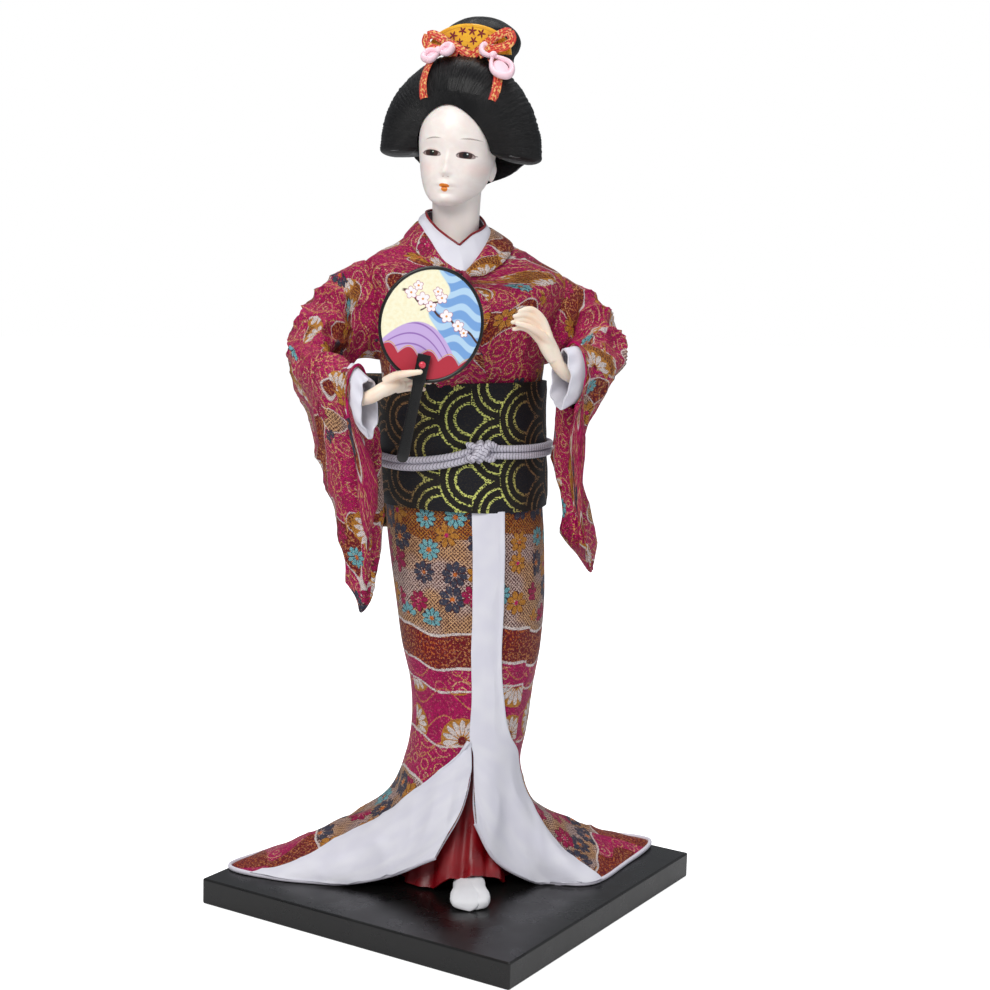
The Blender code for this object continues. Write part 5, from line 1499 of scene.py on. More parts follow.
def build_comb(surface):
    """A half-round comb with eased edges, each face closed from a middle point."""
    base = crest_height() + GAP
    front = TOPKNOT_SHIFT[1] - TOPKNOT_HALF[1] - GAP - COMB_THICK
    count = 72
    turn = np.linspace(0, math.pi, count)
    layers = [(0.00004, 0.93), (0.0, 0.96), (0.0003, 1.0), (COMB_THICK - 0.0003, 1.0), (COMB_THICK, 0.97)]
    rings = np.array([np.stack([TOPKNOT_SHIFT[0] + COMB_HALF_WIDTH * size * np.cos(turn),
                                np.full(count, front + y),
                                base + 0.0002 + COMB_RISE * size * np.sin(turn)], axis=1)
                      for y, size in layers])
    uv = np.stack([rings[:, :, 0] - TOPKNOT_SHIFT[0], rings[:, :, 2] - base], axis=2) / MM
    shape = Shape()
    start = shape.grid(in_head(rings), closed_corners(uv), 0, wrapped=True)
    for ring in (0, len(layers) - 1):
        middle = shape.add_points(in_head((TOPKNOT_SHIFT[0], rings[ring, 0, 1], base + 0.0035)))
        first = start + ring * count
        for index in range(count):
            following = (index + 1) % count
            corners = np.array([uv[ring, index], uv[ring, following], (0.0, 3.5)])
            shape.add_faces([(first + index, first + following, middle)], [corners], 0)
    piece = shape.build("comb_leaf", [surface], 40.0)
    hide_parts("hair_comb")


# Ribbons of the hair: the tail as angle on the roll, share over it and lift, then loops in millimetres
RIBBONS = {
    "hair_ribbon_left": (
        [(-14, 0.44, 1.2), (-18, 0.36, 1.2), (-22, 0.27, 1.0), (-27.5, 0.15, 0.8), (-32, 0.05, 0.6)],
        [[(5.0, -1.6, 31.6), (1.0, -1.9, 33.2), (-4.5, -2.3, 36.0), (-9.8, -2.5, 38.4), (-12.2, -2.6, 38.0)],
         [(-12.0, -2.9, 38.4), (-12.4, -3.2, 36.0), (-10.6, -3.3, 34.2), (-6.0, -3.2, 33.4),
          (-1.0, -2.9, 32.2)]],
    ),
    "hair_ribbon_right": (
        [(20, 0.46, 1.2), (25, 0.39, 1.2), (31, 0.33, 1.0), (37, 0.24, 0.8), (44, 0.13, 0.6)],
        [[(3.0, -2.0, 31.4), (6.0, -2.2, 34.0), (10.4, -2.5, 37.6), (14.6, -2.6, 40.0), (16.8, -2.6, 39.8)],
         [(16.6, -2.9, 40.2), (17.6, -3.2, 37.8), (15.8, -3.3, 35.6), (11.5, -3.2, 34.4), (6.5, -2.9, 32.6)]],
    ),
}


RIBBON_ROWS = 56
RIBBON_COLUMNS = 9


def off_the_roll(path):
    """The way out from the hair at each point of a path, leaning to the front."""
    return unit(path * np.array([0.9, 0.0, 1.0]) + np.array([0.0, -0.010, 0.0]))


def to_the_front(path):
    return np.tile([0.0, -1.0, 0.12], (len(path), 1))


def band_strip(shape, path, facing, half, offset):
    """A woven band along a path of the head, its right side to the facing direction."""
    path = open_spline(path, RIBBON_ROWS) * MM
    out = facing(path)
    across = unit(np.cross(np.gradient(path, axis=0), out))
    grid = path[:, None] + np.linspace(-half, half, RIBBON_COLUMNS)[None, :, None] * MM * across[:, None]
    curl = 0.00025 * np.cos(np.linspace(-math.pi / 2, math.pi / 2, RIBBON_COLUMNS))
    grid = in_head(grid + curl[None, :, None] * out[:, None])
    side = normals(grid, False)
    if (side * (in_head(out + path) - in_head(path))[:, None]).sum() < 0:
        side = -side
    first = shape.grid(grid, corner_table(flat_uv(grid) + np.array([offset, 0.0])), 0)
    second = shape.grid(grid - 0.00022 * side, None, 0, flip=True)
    shape.join_edges(first, second, RIBBON_ROWS, RIBBON_COLUMNS, 0)


def build_ribbons(surface):
    for name, (tail, loops) in RIBBONS.items():
        shape = Shape()
        path = [np.array(roll_point(angle, share, lift * MM)) / MM
                for angle, share, lift in open_spline(tail, 12)]
        band_strip(shape, path, off_the_roll, 1.6, 0.0)
        for number, loop in enumerate(loops):
            band_strip(shape, loop, to_the_front, 1.45, 7.0 * (number + 1))
        piece = shape.build(name + "_loops", [surface], 80.0)
        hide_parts(name)


# Satin bows: angle on the roll, share over it, side, length and height of each loop in millimetres, slant
BOWS = {
    "pink_bow_left": (-12.5, 0.34, ((-1, 5.2, 2.9), (1, 4.4, 2.5)), 14.0),
    "pink_bow_right": (21.5, 0.39, ((-1, 5.4, 2.4), (1, 9.4, 3.9)), -27.0),
}


BOW_SIDES = 56


def bow_directions(angle, slant):
    """Across, along and out from a bow that sits on the roll."""
    turn = math.radians(angle)
    out = unit(np.array([math.sin(turn) * 0.7, -0.72, math.cos(turn) * 0.7]))
    across = np.array([math.cos(turn), 0.0, -math.sin(turn)])
    across = unit(across - out * (across @ out))
    ahead = np.cross(across, out)
    ahead = ahead if ahead[2] > 0 else -ahead
    return (*turned(across, ahead, math.radians(slant)), out)


def add_bow_loop(shape, centre, across, ahead, out, side, length, tall):
    """One loop of a bow: a puffed band that goes out and comes back, and the pad inside it."""
    around = circle(BOW_SIDES)
    turns = np.linspace(0, 2 * np.pi, 72)
    along = 0.2 + length * (1 - np.cos(turns)) / 2
    high = tall * 0.85 * np.sin(turns) * (0.45 + 0.55 * np.sin(np.pi * 0.75 * along / length))
    path = centre + MM * (side * along[:, None] * across + high[:, None] * ahead - 0.3 * out)
    level = unit(np.cross(np.gradient(path, axis=0), out))
    puff = (0.55 + 0.50 * np.sin(turns / 2) ** 1.5) * MM
    rings = [point + thick * np.cos(around)[:, None] * beside + 1.35 * thick * np.sin(around)[:, None] * out
             for point, thick, beside in zip(path, puff, level)]
    capped(shape, in_head(rings))
    rings = []
    for place in np.linspace(-1, 1, 12):
        close = math.sqrt(max(0.02, 1 - (place * 0.98) ** 2))
        rings.append(centre + side * (0.55 + 0.36 * place) * length * MM * across
                     + (tall * 0.55 * MM * close * np.cos(around))[:, None] * ahead
                     + (0.35 * MM * close * np.sin(around))[:, None] * out - 0.0006 * out)
    capped(shape, in_head(rings))


def build_bows(surface):
    around = circle(BOW_SIDES)
    for name, (angle, share, loops, slant) in BOWS.items():
        centre = np.array(roll_point(angle, share, 0.0034))
        across, ahead, out = bow_directions(angle, slant)
        shape = Shape()
        for side, length, tall in loops:
            add_bow_loop(shape, centre, across, ahead, out, side, length, tall)
        rings = []
        for along in np.linspace(-1, 1, 16):
            size = math.sqrt(max(0.02, 1 - (along * 0.98) ** 4))
            rings.append(centre + along * 0.0010 * across + (0.0014 * size * np.cos(around))[:, None] * ahead
                         + (0.0012 * size * np.sin(around))[:, None] * out + 0.0004 * out)
        capped(shape, in_head(rings))
        piece = shape.build(name + "_satin", [surface], 80.0)
        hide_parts(name)


def finger(shape, points, radii):
    """A finger along a path, its radii spread evenly over it, with a rounded tip."""
    path = open_spline(points, 30)
    sizes = open_spline(radii, 30)[:, 0] * MM
    rings = tube_grid(stand(path), sizes, 14)
    ahead = unit(path[-1] - path[-3])
    middle = rings[-1].mean(axis=0)
    tip = [middle + ahead * sizes[-1] * place + (rings[-1] - middle) * size
           for place, size in ((0.45, 0.88), (0.8, 0.58), (0.97, 0.2))]
    capped(shape, np.concatenate([rings, tip]))


# Each finger of a hand: its points above the board in millimetres, and its radius at each point
HANDS = {
    "hand_left": [
        ([(-41.0, -32.5, 168.2), (-37.5, -34.9, 169.6), (-33.5, -35.8, 172.2), (-30.0, -35.6, 173.8)],
         (2.3, 2.5, 2.5, 2.3)),
        ([(-34.0, -35.6, 171.2), (-31.0, -35.3, 172.6), (-28.0, -34.9, 173.6)], (2.2, 2.3, 1.9)),
        ([(-33.0, -35.6, 174.0), (-30.0, -35.3, 175.4), (-27.0, -34.9, 176.2)], (2.2, 2.2, 1.8)),
        ([(-29.5, -35.2, 176.6), (-25.5, -34.6, 178.2), (-21.5, -34.2, 179.4), (-17.8, -34.4, 179.6)],
         (1.35, 1.2, 1.05, 0.75)),
        ([(-29.0, -35.2, 174.9), (-24.5, -34.3, 176.3), (-20.5, -34.2, 177.0), (-17.6, -35.3, 176.6)],
         (1.35, 1.2, 1.05, 0.8)),
        ([(-29.0, -35.0, 173.2), (-24.8, -34.0, 174.3), (-21.2, -34.0, 174.6), (-18.9, -35.4, 174.2)],
         (1.3, 1.2, 1.05, 0.8)),
        ([(-29.5, -34.8, 171.6), (-25.8, -34.0, 172.1), (-22.8, -34.2, 172.2), (-20.8, -35.6, 172.0)],
         (1.25, 1.1, 0.95, 0.75)),
        ([(-33.5, -36.3, 174.5), (-30.6, -39.2, 176.6), (-27.4, -42.6, 177.6), (-23.6, -43.9, 178.2)],
         (1.7, 1.45, 1.25, 0.9)),
    ],
    "hand_right": [
        ([(30.5, -29.0, 175.6), (27.0, -30.6, 177.4), (24.2, -31.8, 180.0), (22.2, -32.6, 183.0)],
         (2.5, 2.6, 2.5, 2.5)),
        ([(24.0, -31.9, 180.5), (21.8, -32.7, 184.8), (19.6, -33.5, 189.0)], (2.4, 2.5, 2.2)),
        ([(22.2, -32.8, 181.8), (19.6, -33.6, 185.6), (17.2, -34.3, 189.6)], (2.2, 2.4, 2.1)),
        ([(20.6, -33.2, 189.0), (18.0, -34.0, 194.6), (14.0, -35.0, 197.9), (9.8, -36.1, 197.4)],
         (1.45, 1.3, 1.15, 0.8)),
        ([(19.4, -33.4, 188.8), (16.4, -34.2, 193.6), (12.2, -35.3, 196.2), (8.0, -36.5, 195.7)],
         (1.45, 1.3, 1.15, 0.8)),
        ([(18.2, -33.8, 188.4), (15.0, -34.6, 192.4), (11.0, -35.6, 194.2), (7.4, -36.7, 193.8)],
         (1.35, 1.2, 1.05, 0.8)),
        ([(17.0, -34.2, 187.8), (13.8, -35.0, 190.8), (10.6, -35.9, 192.0), (7.8, -36.8, 191.6)],
         (1.25, 1.1, 0.95, 0.75)),
        ([(21.0, -33.9, 186.4), (17.4, -36.2, 189.6), (13.0, -38.1, 192.2), (8.4, -38.6, 193.6)],
         (1.7, 1.4, 1.2, 0.9)),
    ],
}
HAND_VOXEL = 0.00027
HAND_SLIM = 0.92


def build_hands(skin):
    for name, parts_of_hand in HANDS.items():
        shape = Shape()
        for points, radii in parts_of_hand:
            finger(shape, np.array(points) * MM, np.array(radii) * HAND_SLIM)
        piece = shape.build(name + "_fingers", [skin], 90.0)
        blend = piece.modifiers.new("blend", "REMESH")
        blend.mode = "VOXEL"
        blend.voxel_size = HAND_VOXEL
        blend.use_smooth_shade = True
        soft = piece.modifiers.new("soften", "SMOOTH")
        soft.factor = 0.5
        soft.iterations = 4
        bpy.context.view_layer.update()
        graph = bpy.context.evaluated_depsgraph_get()
        baked = bpy.data.meshes.new_from_object(piece.evaluated_get(graph))
        piece.modifiers.clear()
        piece.data = baked
        if not baked.materials:
            baked.materials.append(skin)
        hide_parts(name)


FAN_SIDES = 120
FAN_ROWS = 30


def build_fan_leaf(paper):
    """The paper leaf: two faces that ripple a little, and the edge between them."""
    turn = circle(FAN_SIDES)
    edge = -2 * FAN_RIM + 0.0003
    shape = Shape()
    rims = []
    for side in (1, -1):
        rings = []
        uv = []
        for share in np.linspace(0.02, 1, FAN_ROWS):
            across = share * (FAN_HALF_WIDTH + edge) * np.cos(turn)
            up = share * (FAN_HALF_HEIGHT + edge) * np.sin(turn)
            wave = 0.00012 * np.sin(turn * 2 + 1) * share ** 2
            rings.append(on_fan(across, up, side * FAN_LEAF / 2 + wave))
            uv.append(np.stack([side * across, up], axis=1) / MM)
        start = shape.grid(np.array(rings), closed_corners(np.array(uv)), 0, wrapped=True)
        shape.fan(range(start, start + FAN_SIDES), 0)
        last = start + (FAN_ROWS - 1) * FAN_SIDES
        rims.append(range(last, last + FAN_SIDES))
    shape.strip(*rims, 0, True)
    piece = shape.build("fan_leaf_print", [paper], 50.0)
    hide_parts("fan_leaf")


def build_fan_rim(lacquer):
    turn = circle(FAN_SIDES)
    line = on_fan((FAN_HALF_WIDTH - FAN_RIM) * np.cos(turn), (FAN_HALF_HEIGHT - FAN_RIM) * np.sin(turn), 0.0)
    rim = closed_tube("fan_rim_lacquer", line, FAN_RIM * 1.05, 14, lacquer, 80.0)
    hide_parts("fan_rim")


def build_fan_handle(lacquer, rivet_red):
    """The flat handle in front of the leaf, and the head of its rivet."""
    top = -FAN_HALF_HEIGHT + HANDLE_LAP
    bottom = top - HANDLE_LENGTH
    near = FAN_RIM + GAP
    profile = [(top, 0.98), (top - 0.0002, 1.0), (top - 0.0085, 1.0), (top - 0.0092, 0.92),
               (top - 0.0100, 0.86), (bottom + 0.0140, 0.80), (bottom + 0.0060, 0.88),
               (bottom + 0.0030, 0.95), (bottom + 0.0012, 0.86), (bottom + 0.0003, 0.58), (bottom, 0.25)]
    around = circle(48)
    rings = []
    for along, width in profile:
        thick = HANDLE_THICK / 2 * (0.55 + 0.45 * min(1.0, width * 1.1))
        rings.append(on_fan(HANDLE_WIDTH / 2 * width * squared_off(np.cos(around), 0.45), along,
                            near + HANDLE_THICK / 2 + thick * squared_off(np.sin(around), 0.45)))
    shape = Shape()
    capped(shape, np.array(rings))
    handle = shape.build("fan_handle_lacquer", [lacquer], 40.0)
    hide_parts("fan_handle")

    around = circle(40)
    rings = []
    for place, size in ((0.0, 1.0), (0.3, 1.0), (0.55, 0.92), (0.75, 0.74), (0.9, 0.46), (0.97, 0.2)):
        rings.append(on_fan(RIVET_RADIUS * size * np.cos(around),
                            top - 0.0033 + RIVET_RADIUS * size * np.sin(around),
                            near + HANDLE_THICK + place * RIVET_RADIUS * 0.8))
    shape = Shape()
    capped(shape, np.array(rings))
    dot = shape.build("fan_rivet_head", [rivet_red], 60.0)
    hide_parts("fan_rivet")


# Sash, cord and bow at the back

def build_obi(surface):
    sides = 220
    heights = np.linspace(OBI_TOP, OBI_BOTTOM, 44)
    grid = np.array([figure_ring(height, GAP + OBI_THICK, sides, 180.0) for height in heights])
    share = np.linspace(0, 1, 44)[:, None]
    turn = circle(sides)[None, :]
    edge = np.exp(-((share / 0.05) ** 2)) + np.exp(-(((1 - share) / 0.05) ** 2))
    tight = np.exp(-(((share - 0.53) / 0.10) ** 2))
    soft = ripple(grid, 0.014, 6.0, (1.0, 1.0, 2.0)) + 0.5 * ripple(grid, 0.006, 8.0)
    push = 0.0005 * soft - 0.0003 * tight - 0.0005 * edge
    grid = grid + push[..., None] * normals(grid, True)
    grid[:, :, 2] += 0.0005 * np.sin(turn * 2 + 0.6) * (1 - 2 * share)
    piece = thick_cloth("obi_wrap", grid, OBI_THICK * 0.8, [surface, surface], wrapped=True,
                        inward=-normals(grid, True))
    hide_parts("obi_sash")


BRAID_RADIUS = 0.00122


PLAIT_PITCH = 1.15


def add_braid(shape, points, radius, sides, groove):
    """A plaited cord along a path, with grooves between its strands."""
    along = np.concatenate([[0.0], np.cumsum(np.linalg.norm(np.diff(points, axis=0), axis=1))]) / MM
    uv = np.stack(np.broadcast_arrays(np.linspace(0, 1, sides + 1), along[:, None]), axis=2)
    phase = np.abs((np.linspace(0, 2, sides, endpoint=False) % 1.0) - 0.5)[None, :]
    plait = np.abs(np.sin(np.pi * (along[:, None] / PLAIT_PITCH + phase * 1.5)))
    rings = tube_grid(points, radius, sides) - points[:, None]
    capped(shape, points[:, None] + rings * (1 - groove + groove * plait ** 0.5)[..., None], corner_table(uv))


def build_cords(surface):
    offset = GAP + OBI_THICK + GAP + CORD_RADIUS
    angles = np.linspace(KNOT_ANGLE + 3.0, KNOT_ANGLE + 357.0, 620)
    for name, side in (("cord_upper", 1), ("cord_lower", -1)):
        points = np.array([on_sash(angle, offset, side * STRAND_PITCH / 2) for angle in angles])
        shape = Shape()
        add_braid(shape, points, BRAID_RADIUS, 18, 0.14)
        piece = shape.build(name + "_braid", [surface], 85.0)
        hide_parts(name)


def build_knot(surface):
    """The cords' knot: two slanted loops and two strands that cross them."""
    middle = on_sash(KNOT_ANGLE, KNOT_HALF[1] + GAP + OBI_THICK, 0.0)
    turn = np.linspace(0, 2 * np.pi, 80)
    cross = np.linspace(-1, 1, 80)
    tall = 0.0033
    loops = [(shift + 0.45 * tall * np.sin(turn), 0.0002 - 0.0017 * np.cos(turn), 0.86 * tall * np.sin(turn))
             for shift in (-0.0015, 0.0012)]
    loops.append((0.0047 * cross, -0.0002 - 0.0014 * np.cos(cross * 1.5),
                  0.0003 + 0.0022 * np.sin(cross * 2.4)))
    loops.append((0.0045 * cross, 0.0006 - 0.0012 * np.cos(cross * 1.5),
                  -0.0002 - 0.0023 * np.sin(cross * 2.0)))
    shape = Shape()
    for loop in loops:
        add_braid(shape, middle + np.stack(loop, axis=1), BRAID_RADIUS * 0.95, 16, 0.13)
    piece = shape.build("cord_knot_braid", [surface], 85.0)
    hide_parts("cord_knot")


def build_obi_bow(surface):
    """A flat bow at the back: two pleated loops, one on either side of a knot."""
    depth = BOW_DEPTH / 2
    _, half_depth, x, _ = figure(BOW_MIDDLE)
    back = half_depth + 3 * GAP + OBI_THICK + 2 * CORD_RADIUS
    centre = np.array([x, back + depth, BOARD_TOP + BOW_MIDDLE])
    around = circle(96)
    square_z = squared_off(np.sin(around), 0.55)
    square_y = squared_off(np.cos(around), 0.8)
    shape = Shape()
    for side in (-1, 1):
        rings = []
        for along in np.linspace(0.0, 1.0, 56):
            tall = BOW_HEIGHT / 2 * (0.30 + 0.70 * smooth_step(along, -0.1, 0.55))
            tall *= 1 - 0.35 * smooth_step(along, 0.93, 1.02)
            thick = depth * (0.45 + 0.50 * math.sin(math.pi * min(1.0, along * 1.05) * 0.75))
            thick *= 1 - 0.75 * smooth_step(along, 0.88, 1.0)
            pleat = 0.0011 * np.sin(around * 7 + 2.0 * along) * (1 - along) ** 1.2
            rings.append(centre + np.stack([side * along * BOW_WIDTH / 2 * (1 - 0.05 * np.abs(square_z)),
                                            thick * square_y + pleat * np.sign(square_y) * 0.6,
                                            tall * square_z * (1 - 0.02 * np.cos(around * 2))], axis=1))
        capped(shape, np.array(rings))
    rings = []
    for along in np.linspace(-1, 1, 24):
        size = math.sqrt(max(0.02, 1 - (along * 0.98) ** 8))
        rings.append(centre + np.stack([0.0072 * size * np.cos(around) * (1 + 0.05 * np.sin(around * 6)),
                                        0.97 * depth * size * np.sin(around) * (0.9 + 0.1 * abs(along)),
                                        np.full(len(around), along * 0.0125)], axis=1))
    capped(shape, np.array(rings))
    piece = shape.build("obi_bow_folds", [surface], 60.0)
    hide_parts("obi_bow")


# Materials


def brocade_skirt():
    """The skirt's brocade: bands of pattern that follow one another from the waist to the hem."""
    graph = Graph("brocade_skirt")
    u0, v0 = graph.cloth()
    u, v = stitched(graph, u0, v0)
    magenta, ivory, gold, speckled = brocade_parts(graph, u, v)
    scrolled = scrolls(graph, u, v, 6.5, magenta)
    patch = graph.noise(graph.vector(u, v), 0.045, 0.0)
    border = graph.mix(graph.ramp(patch, 0.50, 0.51), speckled, scrolled)
    depth = v + graph.sin(u * 0.15 + 0.6) * 1.5 + graph.sin(u * 0.41) * 0.5
    colour = graph.mix(graph.ramp(depth, 20.0, 20.4), gold, ivory)
    for thread, top, ground in ((52.0, 52.9, speckled), (64.0, 64.9, scrolled), (72.0, 72.8, magenta),
                                (91.0, 91.8, scrolled), (106.0, 106.9, ivory), (149.0, 149.7, border)):
        colour = graph.mix(graph.ramp(depth, thread, thread + 0.1), colour, WHITE_THREAD)
        colour = graph.mix(graph.ramp(depth, top, top + 0.1), colour, ground)
    arcs = graph.size(graph.wrap((v + graph.sin(u * 0.30) * 3.4) * 0.105) - 0.5)
    where = graph.ramp(depth, 65.0, 65.1) * graph.ramp(depth, 106.1, 106.0)
    line = graph.ramp(arcs, 0.465, 0.475) * where * dashed(graph, u, v)
    colour = graph.mix(line, colour, srgb(224, 160, 84))
    colour = scattered(graph, colour, u, v, 9.6, 0.6, depth, 9.0, 49.0, "large", 0.80)
    colour = scattered(graph, colour, u + 5.0, v + 3.0, 17.5, 0.35, depth, 73.0, 91.0, "wide", 1.0)
    colour = scattered(graph, colour, u + 9.0, v - 4.0, 10.5, 0.6, depth, 108.0, 148.9, "large", 0.9)
    return weave_finish(graph, colour, u0, v0, u, v)


def scattered(graph, below, u, v, size, jitter, depth, top, bottom, kind, scale):
    """Flowers of several kinds, one in each cell of a scattered grid, between two depths."""
    x, y, chance = graph.cells(graph.vector(u, v), 1 / size, jitter)
    dx = u - x
    dy = v - y
    radius = graph.length(dx, dy) * (1 / scale) * (graph.wrap(chance * 7.0) * 0.35 + 0.90)
    angle = graph.math("ARCTAN2", dy, dx) * (1 / (2 * math.pi)) + chance
    where = graph.ramp(depth, top - 0.1, top + 0.1) * graph.ramp(depth, bottom + 0.1, bottom - 0.1)
    if kind == "large":
        first = rosette(graph, angle, radius, 8, 1.3, 6.3)
        second = rosette(graph, angle, radius, 9, 0.9, 5.4)
        third = rosette(graph, angle, radius, 7, 0.6, 5.8)
        turquoise_here = graph.ramp(chance, 0.80, 0.81) * where
        gold_here = graph.ramp(chance, 0.56, 0.55) * where
        slate_here = graph.most(where - turquoise_here - gold_here, 0.0)
        colour = graph.mix(graph.ramp(second + 0.24, -0.02, 0.02) * turquoise_here, below, srgb(30, 36, 58))
        colour = graph.mix(graph.ramp(second, -0.02, 0.02) * turquoise_here, colour, srgb(122, 196, 204))
        colour = graph.mix(graph.ramp(first + 0.16, -0.02, 0.02) * slate_here, colour, srgb(70, 22, 34))
        colour = graph.mix(graph.ramp(first, -0.02, 0.02) * slate_here, colour, SLATE)
        hue = graph.mix(graph.ramp(chance, 0.30, 0.31), srgb(176, 12, 84), GOLD)
        colour = graph.mix(graph.ramp(third + 0.20, -0.02, 0.02) * gold_here, colour, srgb(96, 40, 24))
        colour = graph.mix(graph.ramp(third, -0.02, 0.02) * gold_here, colour, hue)
        middle = graph.ramp(radius, 1.05, 0.95) * where
        return graph.mix(middle, colour, graph.mix(graph.ramp(chance, 0.5, 0.51), MAGENTA, ORANGE))
    inside = rosette(graph, angle, radius, 14, 1.6, 8.0)
    colour = graph.mix(graph.ramp(radius, 8.5, 8.4) * where, below, GOLD)
    colour = graph.mix(graph.ramp(inside, -0.02, 0.02) * where, colour, WHITE_THREAD)
    return graph.mix(graph.ramp(radius, 1.6, 1.5) * where, colour, DEEP_RED)


def rosette(graph, angle, radius, count, inner, outer):
    """Positive inside the petals of a round flower."""
    spoke = graph.size(graph.wrap(angle * count) - 0.5)
    aside = 1.0 - spoke * 2.25
    share = (radius - inner) * (1 / (outer - inner))
    swell = graph.sin(graph.least(graph.most(share, 0.0), 1.0) * math.pi * 0.86 + 0.30)
    limit = graph.ramp(share, 1.0, 0.93) * graph.ramp(share, -0.02, 0.04)
    return (aside - (1.0 - swell) * 1.1) * limit - (1.0 - limit) * 0.5


def brocade_top():
    """The bodice's and sleeves' brocade: magenta with islands of net, speckle, scrolls and flowers."""
    graph = Graph("brocade_top")
    u0, v0 = graph.cloth()
    u, v = stitched(graph, u0, v0)
    magenta, ivory, gold, speckled = brocade_parts(graph, u, v)
    islands = graph.noise(graph.vector(u * 0.9, v), 0.055, 0.0)
    other = graph.noise(graph.vector(u + 90.0, v * 0.8), 0.060, 0.0)
    colour = scrolls(graph, u, v, 7.0, magenta)
    bits = graph.ramp(graph.noise(graph.vector(u * 2.0, v), 1.6, 0.0), 0.66, 0.70)
    colour = graph.mix(bits * 0.8, colour, GOLD)
    colour = island(graph, colour, other, 0.63, speckled)
    colour = island(graph, colour, islands, 0.66, gold)
    colour = island(graph, colour, 1.0 - islands, 0.70, ivory)
    near = 20.0 - graph.ramp(islands, 0.62, 0.63) * 15.0
    colour = scattered(graph, colour, u + 7.0, v, 16.0, 0.3, near, 0.0, 9.0, "wide", 0.85)
    arcs = graph.size(graph.wrap((u + graph.sin(v * 0.30) * 3.0) * 0.085) - 0.5)
    line = graph.ramp(arcs, 0.474, 0.484) * dashed(graph, u, v)
    colour = graph.mix(line, colour, srgb(232, 176, 104))
    near = graph.most(islands, 1.0) + graph.ramp(other, 0.50, 0.49) * 20.0
    colour = scattered(graph, colour, u, v, 13.0, 0.7, near, 0.0, 9.0, "large", 0.72)
    return weave_finish(graph, colour, u0, v0, u, v)


def island(graph, below, field, level, colour):
    """A patch of another ground, with a thin light outline."""
    outline = graph.mix(graph.ramp(field, level - 0.014, level - 0.010), below, WHITE_THREAD)
    return graph.mix(graph.ramp(field, level - 0.002, level + 0.002), outline, colour)


def brocade_lining():
    graph = Graph("brocade_lining")
    u, v = graph.cloth()
    grain = graph.noise(graph.vector(u, v * 4), 1.2, 2.0)
    graph.bump(grain, 0.2, 0.0002)
    return graph.paint(graph.mix(grain, srgb(225, 222, 230), srgb(205, 200, 214)), 0.6)


def satin(name, bright, dark, rough, sheen=0.1, weave=1.2):
    """A plain satin with a fine rib and faint cloudy shading."""
    graph = Graph(name)
    u, v = graph.cloth()
    rib = graph.sin((u + v * 0.4) * (2 * math.pi / 0.36))
    cloud = graph.noise(graph.vector(u, v), 0.11, 1.0)
    colour = graph.mix(graph.ramp(cloud, 0.30, 0.75) * 0.4 + 0.5, dark, bright)
    graph.bump(rib * 0.25 + cloud * weave, 0.30, 0.0002)
    rough_value = graph.ramp(cloud, 0.3, 0.7) * 0.10 + rough
    return graph.paint(colour, rough_value, Sheen_Weight=sheen, Sheen_Roughness=0.35, Anisotropic=0.4)


def obi_cloth():
    """Scales in dotted yellow-green rings on black, each column half a scale lower and lapping the last."""
    graph = Graph("obi_scales")
    u0, v0 = graph.cloth()
    u, v = stitched(graph, u0, v0, 0.30)
    step = 10.4
    tall = 20.6
    layers = []
    for number in range(3):
        column = graph.math("FLOOR", (u + 2.0) / step) + (1.0 - number)
        shift = graph.wrap(column * 0.5) * tall + 11.5
        centre_v = graph.math("FLOOR", (v - shift) / tall + 0.5) * tall + shift
        layers.append(graph.length(u - (column * step - 2.0), v - centre_v))
    radius = layers[-1]
    for candidate in layers[-2::-1]:
        radius = radius + (candidate - radius) * graph.ramp(candidate, 11.25, 11.20)
    line = ring_line(graph, radius, 10.8, 0.36)
    line = graph.most(line, ring_line(graph, radius, 8.0, 0.34))
    line = graph.most(line, ring_line(graph, radius, 5.1, 0.42))
    breaks = graph.noise(graph.vector(u * 1.4, v * 2.2), 1.15, 0.0)
    line = line * graph.ramp(breaks, 0.42, 0.50)
    # Painted shade: the rings turn from yellow-green at the front to a darker brown-gold towards the sides,
    # where the sash turns from the light.
    beside = graph.size(u + 2.0)
    hue = graph.mix(graph.ramp(beside, 9.0, 22.0), srgb(214, 218, 118), srgb(128, 96, 62))
    ground = graph.mix(graph.ramp(radius, 4.8, 4.7), srgb(20, 17, 14), srgb(14, 15, 24))
    thread = graph.noise(graph.vector(u * 3.0, v), 2.0, 0.0)
    ground = graph.mix(graph.ramp(thread, 0.56, 0.66) * 0.5, ground, srgb(52, 44, 30))
    colour = graph.mix(line, ground, hue)
    warp = graph.sin(u0 * (2 * math.pi / 0.60)) * graph.sin(v0 * (2 * math.pi / 0.60))
    graph.bump(warp * 0.5 + line * 1.0, 0.5, 0.0002)
    rough = graph.ramp(line, 0.0, 1.0) * -0.08 + 0.56
    return graph.paint(colour, rough, Specular_IOR_Level=0.25)


def ring_line(graph, radius, at, half):
    return graph.ramp(graph.size(radius - at), half + 0.10, half - 0.06)


def braid():
    graph = Graph("silver_braid")
    u, v = graph.cloth()
    side = graph.size(graph.wrap(u * 2.0) - 0.5)
    plait = graph.size(graph.sin((v / 1.15 + side * 1.5) * math.pi))
    fibre = graph.sin((v * 5.0 - side * 9.0) * math.pi)
    metal = graph.noise(graph.vector(u * 9.0, v * 2.0), 2.0, 2.0)
    # Painted shade: the colour darkens to grey in the grooves between the plaited strands.
    colour = graph.mix(graph.ramp(plait, 0.08, 0.5), srgb(104, 99, 112), srgb(204, 200, 212))
    colour = graph.mix(graph.ramp(metal, 0.58, 0.7), colour, srgb(240, 238, 244))
    graph.bump(plait + fibre * 0.25, 0.6, 0.0002)
    return graph.paint(colour, graph.ramp(metal, 0.3, 0.7) * 0.15 + 0.36, Metallic=0.25)


